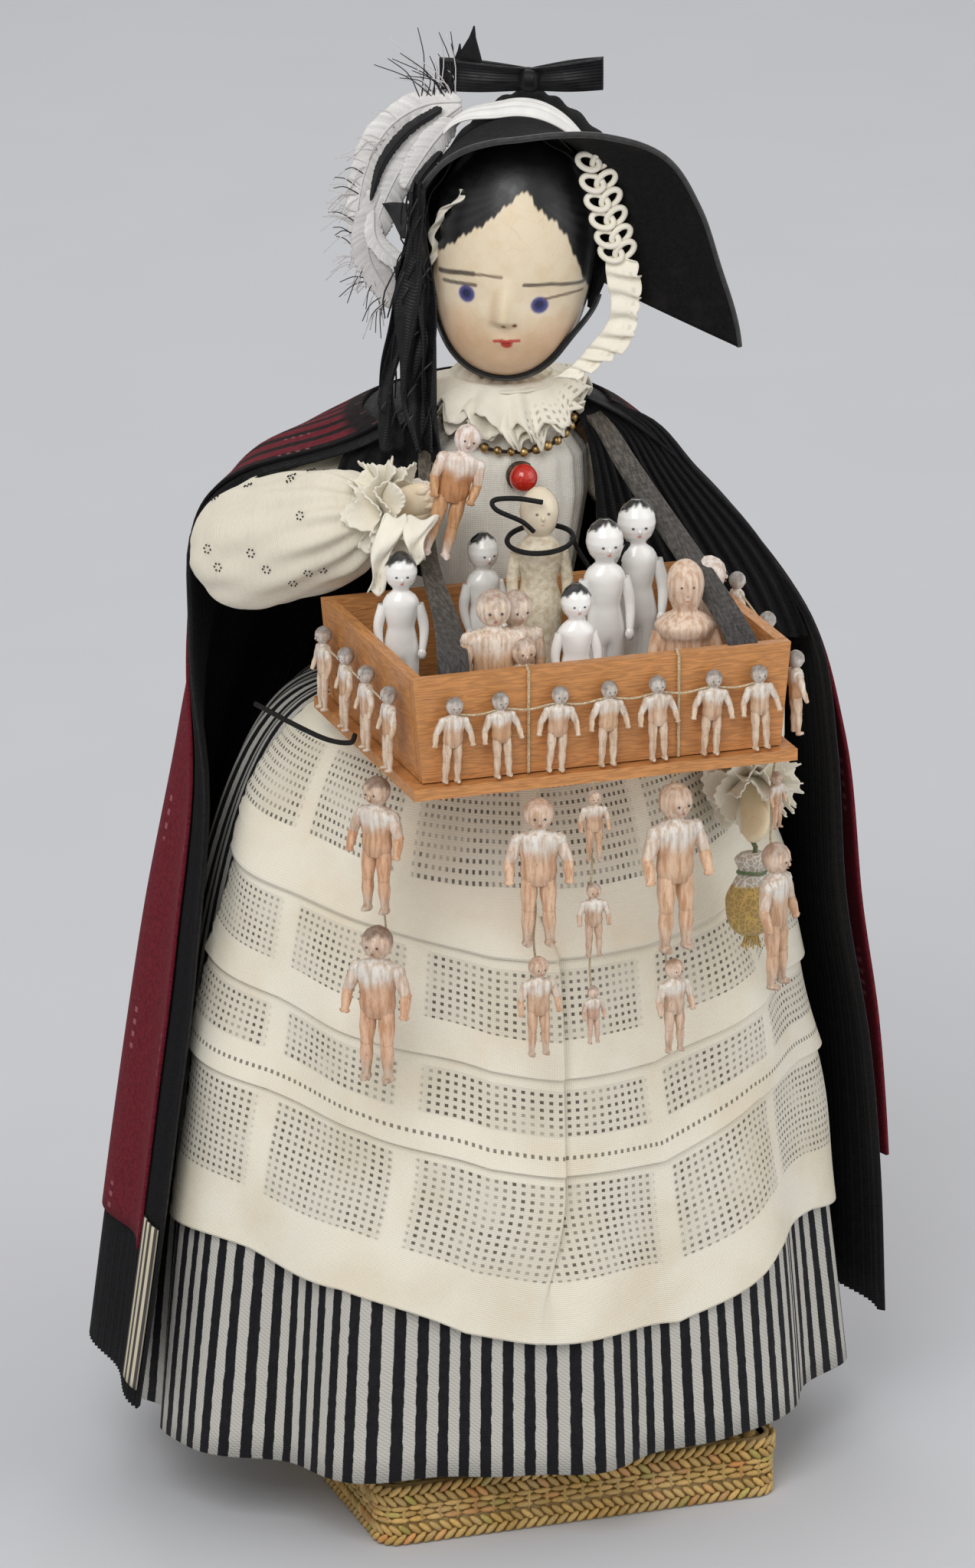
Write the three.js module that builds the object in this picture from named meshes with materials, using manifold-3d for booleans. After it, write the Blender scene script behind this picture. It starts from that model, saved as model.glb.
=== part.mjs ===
// Pedlar doll with a tray of small dolls: a jointed wooden doll on a straw base, in millimetres.
// +Z is up, the front looks to -Y, and the origin is the centre of the base's underside.
import * as THREE from 'three';
import { mergeVertices } from 'three/addons/utils/BufferGeometryUtils.js';
import loadManifold from 'manifold-3d';

const kernel = await loadManifold();
kernel.setup();

// Fits
const GAP = 0.3; // between pieces that touch
const CLOTH = 0.7; // thickness of one layer of cloth

// Base
const BASE_WIDTH = 82;
const BASE_DEPTH = 88;
const BASE_HEIGHT = 12.5;
const BASE_CORNER = 5;
const STRAW_THICKNESS = 2.4;
const MAT_THICKNESS = 1.8;

// Carved doll; its upright axis stands a little to the left of the base's centre
const DOLL_X = -4.6;
const LEG_SPACING = 18;
const LEG_RADIUS = 4.4;
const SPIGOT_RADIUS = 2.2;
const SPIGOT_LENGTH = 8;
const WAIST_HEIGHT = 159.5;
const HIP_DROP = 24.5; // from the waist down to the hip dowel
const SHOULDER_RISE = 42; // from the waist up to the shoulder dowel
const NECK_RISE = 11; // from the shoulder dowel up to the foot of the neck
const SHOULDER_WIDTH = 47; // between the centres of the two shoulder balls
const NECK_RADIUS = 6;
const NECK_X = 2;
const NECK_Y = -4;
const DOWEL_RADIUS = 1.7;
const ARM_RADIUS = 3.3;
const PEG_RADIUS = 1.1;
const HEAD_HALF_WIDTH = 15.2;
const HEAD_HALF_DEPTH = 15.5;
const HEAD_CROWN = 21; // from the widest part of the head up to its top
const HEAD_CHIN = 27; // from the widest part of the head down to the chin
const JAW_SQUARENESS = 2.5; // 2 gives an elliptical jaw
const HEAD_YAW = -25; // degrees, turned to the doll's own right
const HEAD_ROLL = 6; // degrees, leaning to the doll's own left

// Clothes
const HEM_HEIGHT = 16;
const HEM_RADIUS = 69;
const HEM_FLATNESS = 0.8; // depth of the hem against its width
const SKIRT_FOLDS = 10;
const SKIRT_FOLD_DEPTH = 2.6;
const APRON_SPAN = 81; // degrees to each side of the front
const APRON_LENGTH = 116;
const SHAWL_HEM = 25;
const CAPE_FOLD_DEPTH = 2;
const CAPE_FLARE = 5; // of the cape's left front edge beyond the shawl

// Tray
const TRAY_WIDTH = 73;
const TRAY_DEPTH = 54;
const TRAY_HEIGHT = 20;
const TRAY_BOARD = 2.2;
const TRAY_FLARE = 1.8;
const TRAY_LEDGE = 2.4;
const TRAY_LIFT = 1.9; // of the tray's underside above the waist
const TRAY_X = -7.6;
const TRAY_CLEARANCE = 21; // from the doll's axis to the back of the tray
const STRAP_WIDTH = 4;
const STRAP_INSET = 9; // from the tray's end to the strap's middle

// Small dolls
const ROW_DOLL_HEIGHT = 16;
const THREAD_RADIUS = 0.45;

const HIP_HEIGHT = WAIST_HEIGHT - HIP_DROP;
const SHOULDER_HEIGHT = WAIST_HEIGHT + SHOULDER_RISE;
const NECK_HEIGHT = SHOULDER_HEIGHT + NECK_RISE;

const radians = THREE.MathUtils.degToRad;
const vec = (x, y, z) => new THREE.Vector3(x, y, z);
const UP = vec(0, 0, 1);

const COLOURS = {
  straw: 0xc9a04e, wood: 0x9a6a40, paleWood: 0xb98d5f, skin: 0xe8d3b4, cedar: 0x9c5a2c, linen: 0xe4dcc8,
  muslin: 0xd9cdb0, stripe: 0x55555a, black: 0x1b1a1c, red: 0x6e1c22, white: 0xf1efe8, brass: 0xb08d45,
  bead: 0xa01f24, strap: 0x4a4440, china: 0xf0efec, kid: 0xdcc9a2, brown: 0x6b4226, gold: 0xc2a04a,
};
const FINISH = { brass: [0.35, 0.9], bead: [0.25, 0], china: [0.15, 0], skin: [0.45, 0], cedar: [0.55, 0] };

// The geometry of a solid as one welded manifold, ready for joining and cutting.
function solidOf(geometry) {
  const bare = new THREE.BufferGeometry();
  bare.setAttribute('position', geometry.getAttribute('position'));
  if (geometry.index) bare.setIndex(geometry.index);
  const welded = mergeVertices(bare, 1e-4);
  return new kernel.Manifold(new kernel.Mesh({
    numProp: 3,
    vertProperties: new Float32Array(welded.getAttribute('position').array),
    triVerts: new Uint32Array(welded.index.array),
  }));
}

function geometryOf(solid) {
  const mesh = solid.getMesh();
  const geometry = new THREE.BufferGeometry();
  geometry.setAttribute('position', new THREE.BufferAttribute(mesh.vertProperties, 3));
  geometry.setIndex(new THREE.BufferAttribute(mesh.triVerts, 1));
  return geometry;
}

const join = (...pieces) => geometryOf(kernel.Manifold.union(pieces.map(solidOf)));

function cut(piece, ...tools) {
  return geometryOf(tools.reduce((left, tool) => left.subtract(solidOf(tool)), solidOf(piece)));
}

// Turns a closed geometry right side out when its faces look inwards.
function facingOut(positions, index) {
  let volume = 0;
  const corner = (i) => vec(positions[3 * i], positions[3 * i + 1], positions[3 * i + 2]);
  for (let i = 0; i < index.length; i += 3) {
    volume += corner(index[i]).dot(corner(index[i + 1]).cross(corner(index[i + 2])));
  }
  const wound = volume < 0 ? index.slice().reverse() : index;
  const geometry = new THREE.BufferGeometry();
  geometry.setAttribute('position', new THREE.Float32BufferAttribute(positions, 3));
  geometry.setIndex(wound);
  return geometry;
}

// A closed solid through rings of points, each ring with the same number of points.
function loft(rings) {
  const count = rings[0].length;
  const positions = rings.flat().flatMap((p) => p.toArray());
  const index = [];
  for (let r = 0; r + 1 < rings.length; r += 1) {
    for (let i = 0; i < count; i += 1) {
      const a = r * count + i;
      const b = r * count + ((i + 1) % count);
      index.push(a, b, b + count, a, b + count, a + count);
    }
  }
  const top = (rings.length - 1) * count;
  for (let i = 1; i + 1 < count; i += 1) {
    index.push(0, i + 1, i);
    index.push(top, top + i, top + i + 1);
  }
  return facingOut(positions, index);
}

function ellipse(centre, u, v, halfU, halfV, count, ripple = 0, waves = 0) {
  return Array.from({ length: count }, (_, i) => {
    const angle = (2 * Math.PI * i) / count;
    const swell = 1 + ripple * Math.cos(waves * angle);
    return centre.clone()
      .addScaledVector(u, halfU * swell * Math.cos(angle))
      .addScaledVector(v, halfV * swell * Math.sin(angle));
  });
}

// A tapered rod from one point to another; each station is [share of the way, half width, half thickness].
function limb(from, to, stations, count = 8, side = null, ripple = 0, waves = 0) {
  const heading = to.clone().sub(from).normalize();
  const hint = side || (Math.abs(heading.z) < 0.9 ? UP.clone().cross(heading) : vec(1, 0, 0));
  const u = hint.clone().addScaledVector(heading, -hint.dot(heading)).normalize();
  const v = heading.clone().cross(u);
  return loft(stations.map(([share, halfU, halfV = halfU]) => (
    ellipse(from.clone().lerp(to, share), u, v, halfU, halfV, count, ripple * share, waves))));
}

const rod = (from, to, radius, count = 8) => limb(from, to, [[0, radius], [1, radius]], count);

// An upright turned or carved piece; each station is [height, half width, half depth, x, y].
function turned(stations, count = 14) {
  return loft(stations.map(([z, halfWidth, halfDepth = halfWidth, x = 0, y = 0]) => (
    ellipse(vec(x, y, z), vec(1, 0, 0), vec(0, 1, 0), halfWidth, halfDepth, count))));
}

function ball(centre, rx, ry = rx, rz = rx, detail = 1) {
  return new THREE.IcosahedronGeometry(1, detail).scale(rx, ry, rz).translate(centre.x, centre.y, centre.z);
}

// A solid between two faces of cloth, each given as a point at (u, v) from 0 to 1.
function cloth(outer, inner, across, down, wrap = false) {
  const columns = wrap ? across : across + 1;
  const positions = [];
  [outer, inner].forEach((face) => {
    for (let j = 0; j <= down; j += 1) {
      for (let i = 0; i < columns; i += 1) positions.push(...face(i / across, j / down).toArray());
    }
  });
  const back = columns * (down + 1);
  const at = (i, j) => j * columns + (i % columns);
  const index = [];
  const quad = (a, b, c, d) => index.push(a, b, c, a, c, d);
  for (let j = 0; j < down; j += 1) {
    for (let i = 0; i < across; i += 1) {
      const [a, b, c, d] = [at(i, j), at(i + 1, j), at(i + 1, j + 1), at(i, j + 1)];
      quad(a, b, c, d);
      quad(a + back, d + back, c + back, b + back);
    }
  }
  for (let i = 0; i < across; i += 1) {
    quad(at(i + 1, 0), at(i, 0), at(i, 0) + back, at(i + 1, 0) + back);
    quad(at(i, down), at(i + 1, down), at(i + 1, down) + back, at(i, down) + back);
  }
  for (let j = 0; !wrap && j < down; j += 1) {
    quad(at(0, j), at(0, j + 1), at(0, j + 1) + back, at(0, j) + back);
    quad(at(across, j + 1), at(across, j), at(across, j) + back, at(across, j + 1) + back);
  }
  return facingOut(positions, index);
}

// A closed tube whose two ends meet, given as a point at (u, v) from 0 to 1.
function tubeLoop(face, across, sides) {
  const positions = [];
  const index = [];
  const at = (i, j) => (i % across) * sides + (j % sides);
  for (let i = 0; i < across; i += 1) {
    for (let j = 0; j < sides; j += 1) {
      positions.push(...face(i / across, j / sides).toArray());
      index.push(at(i, j), at(i + 1, j), at(i + 1, j + 1), at(i, j), at(i + 1, j + 1), at(i, j + 1));
    }
  }
  return facingOut(positions, index);
}

// Two faces at a set distance to each side of a surface.
function thickened(surface, thickness, offset = 0) {
  const step = 1e-3;
  const face = (distance) => (u, v) => {
    const acrossStep = surface(u + step, v).sub(surface(u - step, v));
    const downStep = surface(u, v + step).sub(surface(u, v - step));
    const normal = acrossStep.cross(downStep).normalize();
    return surface(u, v).addScaledVector(normal, distance);
  };
  return [face(offset + thickness / 2), face(offset - thickness / 2)];
}

// A smooth value at a share of the way through a list of evenly spaced rows.
function along(rows, share) {
  const place = THREE.MathUtils.clamp(share, 0, 1) * (rows.length - 1);
  const i = Math.min(Math.floor(place), rows.length - 2);
  const t = place - i;
  return rows[i].map((value, k) => value + (rows[i + 1][k] - value) * t);
}

const part = new THREE.Group();

function add(group, name, geometry, colour) {
  const [roughness, metalness] = FINISH[colour] || [0.85, 0];
  const material = new THREE.MeshStandardMaterial({ color: COLOURS[colour], roughness, metalness });
  const mesh = new THREE.Mesh(geometry, material);
  mesh.name = name;
  group.add(mesh);
  return mesh;
}

function groupAt(parent, x, y, z) {
  const group = new THREE.Group();
  group.position.set(x, y, z);
  parent.add(group);
  return group;
}

// Base: block, plaited band and top mat.
function roundedRing(width, depth, corner, z) {
  const points = [];
  [[1, 1], [-1, 1], [-1, -1], [1, -1]].forEach(([sx, sy], quarter) => {
    for (let k = 0; k <= 2; k += 1) {
      const angle = (quarter + k / 2) * (Math.PI / 2);
      points.push(vec(
        sx * (width / 2 - corner) + corner * Math.cos(angle),
        sy * (depth / 2 - corner) + corner * Math.sin(angle),
        z,
      ));
    }
  });
  return points;
}

const slab = (width, depth, corner, low, high) => (
  loft([roundedRing(width, depth, corner, low), roundedRing(width, depth, corner, high)]));

const base = groupAt(part, 0, 0, 0);
const blockInset = 2 * (STRAW_THICKNESS + GAP);
const blockCorner = BASE_CORNER - STRAW_THICKNESS - GAP;
const matLow = BASE_HEIGHT - MAT_THICKNESS;
const legPlaces = [-1, 1].map((side) => DOLL_X + (side * LEG_SPACING) / 2);
const footBores = legPlaces.map((x) => (
  rod(vec(x, 0, matLow - SPIGOT_LENGTH), vec(x, 0, BASE_HEIGHT + 1), SPIGOT_RADIUS + GAP, 8)));

const blockBody = slab(BASE_WIDTH - blockInset, BASE_DEPTH - blockInset, blockCorner, 0, matLow - GAP);
add(base, 'base_block', cut(blockBody, ...footBores), 'wood');

const matBody = slab(BASE_WIDTH - blockInset, BASE_DEPTH - blockInset, blockCorner, matLow, BASE_HEIGHT);
add(base, 'straw_top_mat', cut(matBody, ...footBores), 'straw');

// Three plaited rows swell out one above the other.
const bandRows = 6;
const bandSwell = (share) => 0.9 * Math.abs(Math.sin(3 * Math.PI * share));
const bandRings = Array.from({ length: bandRows + 1 }, (_, k) => {
  const share = k / bandRows;
  const shrink = 2 * (0.9 - bandSwell(share));
  return roundedRing(BASE_WIDTH - shrink, BASE_DEPTH - shrink, BASE_CORNER - shrink / 2, share * BASE_HEIGHT);
});
const bandHole = slab(
  BASE_WIDTH - blockInset + 2 * GAP,
  BASE_DEPTH - blockInset + 2 * GAP,
  blockCorner + GAP,
  -1,
  BASE_HEIGHT + 1,
);
add(base, 'straw_band', cut(loft(bandRings), bandHole), 'straw');

// Carved doll
const doll = groupAt(part, DOLL_X, 0, 0);

// Torso stations are [height, half width, half depth, x, y] from the hip block up to the neck.
const TORSO = [
  [HIP_HEIGHT - 8, 5.2, 7, 0, 0],
  [HIP_HEIGHT + 0.45 * HIP_DROP, 5.2, 8.5, 0, 0],
  [HIP_HEIGHT + 0.53 * HIP_DROP, 11, 9.5, 0, 0],
  [WAIST_HEIGHT, 11.5, 9, 0, 0],
  [WAIST_HEIGHT + 0.524 * SHOULDER_RISE, 15, 12.5, 0.4, -1],
  [SHOULDER_HEIGHT - 6, 16.6, 12.5, 0.8, -2],
  [SHOULDER_HEIGHT + 2, 15.4, 11, 1.2, -3],
  [SHOULDER_HEIGHT + 0.64 * NECK_RISE, 11, 9, 1.6, -3.6],
  [NECK_HEIGHT, NECK_RADIUS + 1, NECK_RADIUS + 1, NECK_X, NECK_Y],
];

function torsoAt(z) {
  const i = Math.max(1, TORSO.findIndex((row) => row[0] >= z));
  const [low, high] = [TORSO[i - 1], TORSO[i]];
  const t = (z - low[0]) / (high[0] - low[0]);
  return low.map((value, k) => value + (high[k] - value) * t);
}

const shoulderY = 2;
const shoulderBar = SHOULDER_WIDTH / 2 + 2.5;
const crossBar = (x, y, z, radius) => rod(vec(-x, y, z), vec(x, y, z), radius);
const shoulderBore = crossBar(shoulderBar + 5, shoulderY, SHOULDER_HEIGHT, DOWEL_RADIUS + GAP);
const hipBar = LEG_SPACING / 2 + 4;
const hipBore = crossBar(hipBar + 4, 0, HIP_HEIGHT, DOWEL_RADIUS + GAP);
const neckDowelRadius = NECK_RADIUS / 2;
const neckDowelDepth = 9;
const neckFoot = vec(NECK_X, NECK_Y, NECK_HEIGHT - neckDowelDepth);
const neckBore = rod(
  neckFoot.clone().addScaledVector(UP, -GAP),
  vec(NECK_X, NECK_Y, NECK_HEIGHT + 1),
  neckDowelRadius + GAP,
);
add(doll, 'torso', cut(turned(TORSO), shoulderBore, hipBore, neckBore), 'wood');
add(doll, 'shoulder_dowel', crossBar(shoulderBar, shoulderY, SHOULDER_HEIGHT, DOWEL_RADIUS), 'paleWood');
add(doll, 'hip_dowel', crossBar(hipBar, 0, HIP_HEIGHT, DOWEL_RADIUS), 'paleWood');

// One-piece legs: slipper, pin into the base, and a flat hip end beside the torso.
[['right_leg', -1], ['left_leg', 1]].forEach(([name, side]) => {
  const x = (side * LEG_SPACING) / 2;
  const sole = BASE_HEIGHT + GAP;
  const hipThickness = LEG_SPACING / 2 - 6;
  const shank = turned([
    [sole, LEG_RADIUS - 1.4, LEG_RADIUS - 1.4, x],
    [sole + 12, LEG_RADIUS - 1.6, LEG_RADIUS - 1.6, x],
    [sole + 45, LEG_RADIUS - 0.4, LEG_RADIUS, x],
    [HIP_HEIGHT - 20, LEG_RADIUS, LEG_RADIUS + 0.6, x],
    [HIP_HEIGHT - 10, hipThickness, LEG_RADIUS, x],
    [HIP_HEIGHT + 8, hipThickness, LEG_RADIUS, x],
  ], 8);
  const slipper = limb(vec(x, 4, sole + 2.4), vec(x, -13, sole + 2), [
    [0, 2.4, 1.8], [0.3, 3.4, 2.3], [0.7, 3.2, 1.9], [1, 1.6, 1.2],
  ]);
  const belowSole = slab(40, 60, 1, -30, sole).translate(x, 0, 0);
  const pin = rod(vec(x, 0, matLow - SPIGOT_LENGTH + GAP), vec(x, 0, sole + 1), SPIGOT_RADIUS, 8);
  add(doll, name, cut(join(cut(join(shank, slipper), belowSole), pin), hipBore), 'paleWood');
});

// Arms with half-lapped elbows, each turning on a peg.
const ARMS = {
  right: {
    side: -1,
    elbow: vec(-48, -3, SHOULDER_HEIGHT - 13),
    hand: vec(-22, -37, SHOULDER_HEIGHT + 5),
    sleeve: [7.3, 12, 11.5, 9.5, 3.6],
  },
  left: {
    side: 1,
    elbow: vec(49, -6, SHOULDER_HEIGHT - 36),
    hand: vec(36, -52, SHOULDER_HEIGHT - 64),
    sleeve: [7.3, 8, 7.4, 6.8, 3.6],
  },
};
const WRIST = 0.74; // share of the forearm under the sleeve

Object.entries(ARMS).forEach(([name, arm]) => {
  const { side, elbow, hand } = arm;
  const shoulder = vec((side * SHOULDER_WIDTH) / 2, shoulderY, SHOULDER_HEIGHT);
  const axis = elbow.clone().sub(shoulder).cross(hand.clone().sub(elbow)).normalize();
  const alongAxis = (distance) => elbow.clone().addScaledVector(axis, distance);
  const knuckle = rod(alongAxis(-ARM_RADIUS), alongAxis(ARM_RADIUS), ARM_RADIUS, 8);
  const bend = shoulder.clone().sub(elbow).angleTo(hand.clone().sub(elbow));
  const swept = ARM_RADIUS / Math.sin(bend / 2) + 0.9;
  const upperHalf = rod(alongAxis(-GAP / 2), alongAxis(ARM_RADIUS + 2), swept);
  const lowerHalf = rod(alongAxis(-ARM_RADIUS - 2), alongAxis(GAP / 2), swept);
  const pegBore = rod(alongAxis(-ARM_RADIUS - 2), alongAxis(ARM_RADIUS + 2), PEG_RADIUS + GAP, 6);
  const peg = rod(alongAxis(-ARM_RADIUS), alongAxis(ARM_RADIUS), PEG_RADIUS, 6);

  const shaft = limb(shoulder, elbow, [[0, 4.6], [0.3, ARM_RADIUS + 0.4], [1, ARM_RADIUS]]);
  const shoulderBall = ball(shoulder, 5.4);
  const upper = join(shaft, shoulderBall, knuckle);
  add(doll, `${name}_upper_arm`, cut(upper, upperHalf, pegBore, shoulderBore), 'paleWood');

  const paddle = limb(elbow, hand, [
    [0, ARM_RADIUS], [0.68, 2.5], [0.78, 2.3], [0.84, 3.2, 1.9], [0.93, 3.4, 1.6], [1, 1.6, 1.1],
  ], 8, axis);
  add(doll, `${name}_forearm`, cut(join(paddle, knuckle), lowerHalf, pegBore), 'paleWood');
  add(doll, `${name}_elbow_peg`, peg, 'wood');
  Object.assign(arm, { shoulder, axis });
});

// Head with its neck and dowel; the egg leans and turns on the upright neck.
const headPose = new THREE.Group();
headPose.position.set(NECK_X + 1, NECK_Y - 5, NECK_HEIGHT + HEAD_CHIN + 7);
headPose.rotation.set(0, radians(HEAD_ROLL), radians(HEAD_YAW), 'ZYX');
headPose.updateMatrix();
doll.add(headPose);

// Girth of the egg at a height, as a share of its widest part.
const headGirth = (z) => (z > 0
  ? Math.sqrt(1 - (z / HEAD_CROWN) ** 2)
  : (1 - (-z / HEAD_CHIN) ** JAW_SQUARENESS) ** (1 / JAW_SQUARENESS));
const headRows = 10;
const egg = loft(Array.from({ length: headRows + 1 }, (_, k) => {
  const angle = Math.PI * THREE.MathUtils.lerp(0.06, 0.94, k / headRows);
  const z = -Math.cos(angle) * (angle < Math.PI / 2 ? HEAD_CHIN : HEAD_CROWN);
  const girth = headGirth(z);
  const [halfWidth, halfDepth] = [HEAD_HALF_WIDTH * girth, HEAD_HALF_DEPTH * girth];
  return ellipse(vec(0, 0, z), vec(1, 0, 0), vec(0, 1, 0), halfWidth, halfDepth, 16);
}));
const noseTop = vec(0, -0.96 * HEAD_HALF_DEPTH, -0.17 * HEAD_CHIN);
const noseTip = vec(0.5, -0.93 * HEAD_HALF_DEPTH, -0.5 * HEAD_CHIN);
const nose = limb(noseTop, noseTip, [[0, 0.7, 0.6], [0.85, 1.8, 2], [1, 1.3, 1.2]], 6);
const carvedHead = join(egg, nose).applyMatrix4(headPose.matrix);
const neckTop = vec(NECK_X, NECK_Y, NECK_HEIGHT + 16);
const neck = rod(vec(NECK_X, NECK_Y, NECK_HEIGHT + GAP), neckTop, NECK_RADIUS, 12);
const neckDowel = rod(neckFoot, vec(NECK_X, NECK_Y, NECK_HEIGHT + 2), neckDowelRadius);
add(doll, 'head', join(carvedHead, neck, neckDowel), 'skin');

// Skirt, petticoat and apron hang as bells round the doll's axis; zero degrees is the front.
const around = (degrees, radius, z) => vec(
  -radius * Math.sin(radians(degrees)),
  -radius * Math.cos(radians(degrees)),
  z,
);
const waistRadius = 15;
const bellFullness = 0.25;
const dropAt = (v) => v ** 2.2;
const bellHeight = (drop) => WAIST_HEIGHT - drop * (WAIST_HEIGHT - HEM_HEIGHT);

function bellRadius(degrees, drop) {
  const fold = Math.cos(radians(SKIRT_FOLDS * degrees)) * SKIRT_FOLD_DEPTH * (0.15 + 0.85 * drop);
  return waistRadius + (HEM_RADIUS - waistRadius) * drop ** bellFullness + fold;
}

function onBell(degrees, drop, offset, lift = 0) {
  const place = around(degrees, bellRadius(degrees, drop) + offset, bellHeight(drop) + lift);
  place.y *= THREE.MathUtils.lerp(1, HEM_FLATNESS, drop ** bellFullness);
  return place;
}

const bellFace = (offset, lift = 0) => (u, v) => onBell(360 * u, dropAt(v), offset, lift * dropAt(v));
const skirtColumns = 40;
add(doll, 'skirt', cloth(bellFace(0), bellFace(-CLOTH), skirtColumns, 7, true), 'stripe');

const petticoatInset = 2.4;
add(doll, 'petticoat', cloth(
  bellFace(-petticoatInset, 3),
  bellFace(-petticoatInset - CLOTH, 3),
  skirtColumns / 2,
  4,
  true,
), 'linen');

// The apron's rows are [share of its length, step out]; each tuck steps out over the next.
const apronDrop = APRON_LENGTH / (WAIST_HEIGHT - HEM_HEIGHT);
const apronTucks = [0.365, 0.557, 0.719];
const apronRows = [[0.0005, 0], [0.012, 0], [0.06, 0], [0.17, 0]];
apronTucks.forEach((share) => apronRows.push([share - 0.005, 0.9], [share + 0.01, 0]));
apronRows.push([1, 0.6]);
const apronFace = (offset) => (u, v) => {
  const degrees = THREE.MathUtils.lerp(APRON_SPAN, -APRON_SPAN, u);
  const [share, step] = along(apronRows, v);
  const rise = (degrees > 0 ? 0.14 : 0.06) * (degrees / APRON_SPAN) ** 2;
  const drop = share * apronDrop * (1 - rise);
  return onBell(degrees, drop, 1.2 + step + offset, 0.6);
};
add(doll, 'apron', cloth(apronFace(CLOTH), apronFace(0), 18, apronRows.length - 1), 'muslin');

// Bodice: a shell over the torso with an armhole at each side.
const bodiceTop = NECK_HEIGHT - 1.5;
const bodiceFoot = WAIST_HEIGHT + 0.9;
const bodiceRows = [
  [bodiceFoot],
  ...TORSO.filter(([z]) => z > bodiceFoot && z < bodiceTop).map(([z]) => [z]),
  [bodiceTop],
].reverse();
const bodiceFace = (offset) => (u, v) => {
  const [z] = along(bodiceRows, v);
  const [, halfWidth, halfDepth, x, y] = torsoAt(z);
  const angle = 2 * Math.PI * u;
  return vec(x + (halfWidth + offset) * Math.cos(angle), y + (halfDepth + offset) * Math.sin(angle), z);
};
const bodiceLoose = 1.9;
const armholes = crossBar(60, shoulderY, SHOULDER_HEIGHT, 6.2);
const keepMiddle = crossBar(13, shoulderY, SHOULDER_HEIGHT, 9);
const bodiceSteps = bodiceRows.length - 1;
const bodiceInner = bodiceFace(bodiceLoose - CLOTH);
const bodiceShell = cloth(bodiceFace(bodiceLoose), bodiceInner, 14, bodiceSteps, true);
add(doll, 'bodice', cut(bodiceShell, cut(armholes, keepMiddle)), 'linen');

// Sleeves: puffed shells over the bent arms, trimmed clear of the bodice.
const clearOfBodice = loft(bodiceRows.map((_, k) => (
  Array.from({ length: 14 }, (__, i) => bodiceFace(bodiceLoose + GAP)(i / 14, k / bodiceSteps)))));

function sleeveSolid(arm, shrink, overrun) {
  const [top, bend, lower, gathered, cuff] = arm.sleeve.map((radius) => radius - shrink);
  const { shoulder, elbow, hand } = arm;
  const wrist = elbow.clone().lerp(hand, WRIST);
  const upperTube = limb(shoulder, elbow, [[-overrun, top], [1, 0.9 * bend]], 6);
  const lowerTube = limb(elbow, wrist, [
    [-0.3, 0.45 * bend], [-0.16, 0.85 * bend], [0.08, bend], [0.4, lower], [0.75, gathered], [1, cuff],
    [1 + overrun, cuff],
  ], 8, null, 0.05, 4);
  return join(upperTube, lowerTube);
}

Object.entries(ARMS).forEach(([name, arm]) => {
  const sleeve = cut(sleeveSolid(arm, 0, 0.01), sleeveSolid(arm, CLOTH, 0.1), clearOfBodice);
  add(doll, `${name}_sleeve`, sleeve, 'linen');
});

// Lace cuffs flare over the wrists.
Object.entries(ARMS).forEach(([name, arm]) => {
  const { elbow, hand, axis } = arm;
  const forward = hand.clone().sub(elbow).normalize();
  const sideways = axis.clone();
  const across = forward.clone().cross(sideways);
  const reach = elbow.distanceTo(hand);
  const surface = (u, v) => {
    const angle = 2 * Math.PI * u;
    const radius = THREE.MathUtils.lerp(3.3, 7.4, v);
    const lift = (WRIST + 0.015) * reach + 0.6 + 4.5 * v + 1.1 * v * Math.sin(5 * angle);
    return elbow.clone()
      .addScaledVector(forward, lift)
      .addScaledVector(sideways, radius * Math.cos(angle))
      .addScaledVector(across, radius * Math.sin(angle));
  };
  const [front, back] = thickened(surface, CLOTH);
  add(doll, `${name}_cuff`, cloth(front, back, 20, 1, true), 'white');
});

// Collar, necklace and brooch, all placed round the neck.
const neckPoint = (degrees, radius, z) => around(degrees, radius, z).add(vec(NECK_X, NECK_Y, 0));
const collarFall = (degrees) => 5.6 * Math.exp(-((degrees / 45) ** 2));
const collarSurface = (u, v) => {
  const degrees = THREE.MathUtils.lerp(118, -118, u);
  const radius = NECK_RADIUS + 3.4 + (6.4 - 1.2 * Math.exp(-((degrees / 50) ** 2))) * v;
  const ripple = 0.8 * v * Math.sin(radians(degrees * 12));
  const fall = (2.4 + collarFall(degrees)) * v;
  return neckPoint(degrees, radius, NECK_HEIGHT + 6.4 - fall + ripple);
};
const [collarTop, collarUnder] = thickened(collarSurface, CLOTH);
add(doll, 'collar_frill', cloth(collarTop, collarUnder, 32, 1), 'white');

const beadCount = 30;
const beadRadius = 0.85;
const stringRadius = 0.4;
// Rows from the front of the neck round to its back: [distance from the neck's axis, height].
const NECKLACE = [
  [12.6, NECK_HEIGHT - 6],
  [13, NECK_HEIGHT - 5.1],
  [13.6, NECK_HEIGHT - 2.5],
  [11.7, NECK_HEIGHT + 0.9],
  [9.4, NECK_HEIGHT + 3.3],
  [8.4, NECK_HEIGHT + 4.3],
  [8, NECK_HEIGHT + 4.6],
];
function stringPlace(share) {
  const [radius, z] = along(NECKLACE, 2 * Math.min(share, 1 - share));
  return neckPoint(360 * share, radius, z);
}
// The string swells into a bead at every other ring of the loop.
const necklaceFace = (u, v) => {
  const centre = stringPlace(u % 1);
  const radius = Math.round(u * beadCount * 2) % 2 ? beadRadius : stringRadius;
  const outwards = vec(centre.x - NECK_X, centre.y - NECK_Y, 0).normalize();
  return centre.addScaledVector(outwards, radius * Math.cos(2 * Math.PI * v))
    .addScaledVector(UP, radius * Math.sin(2 * Math.PI * v));
};
add(doll, 'bead_necklace', tubeLoop(necklaceFace, 2 * beadCount, 4), 'brass');

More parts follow.
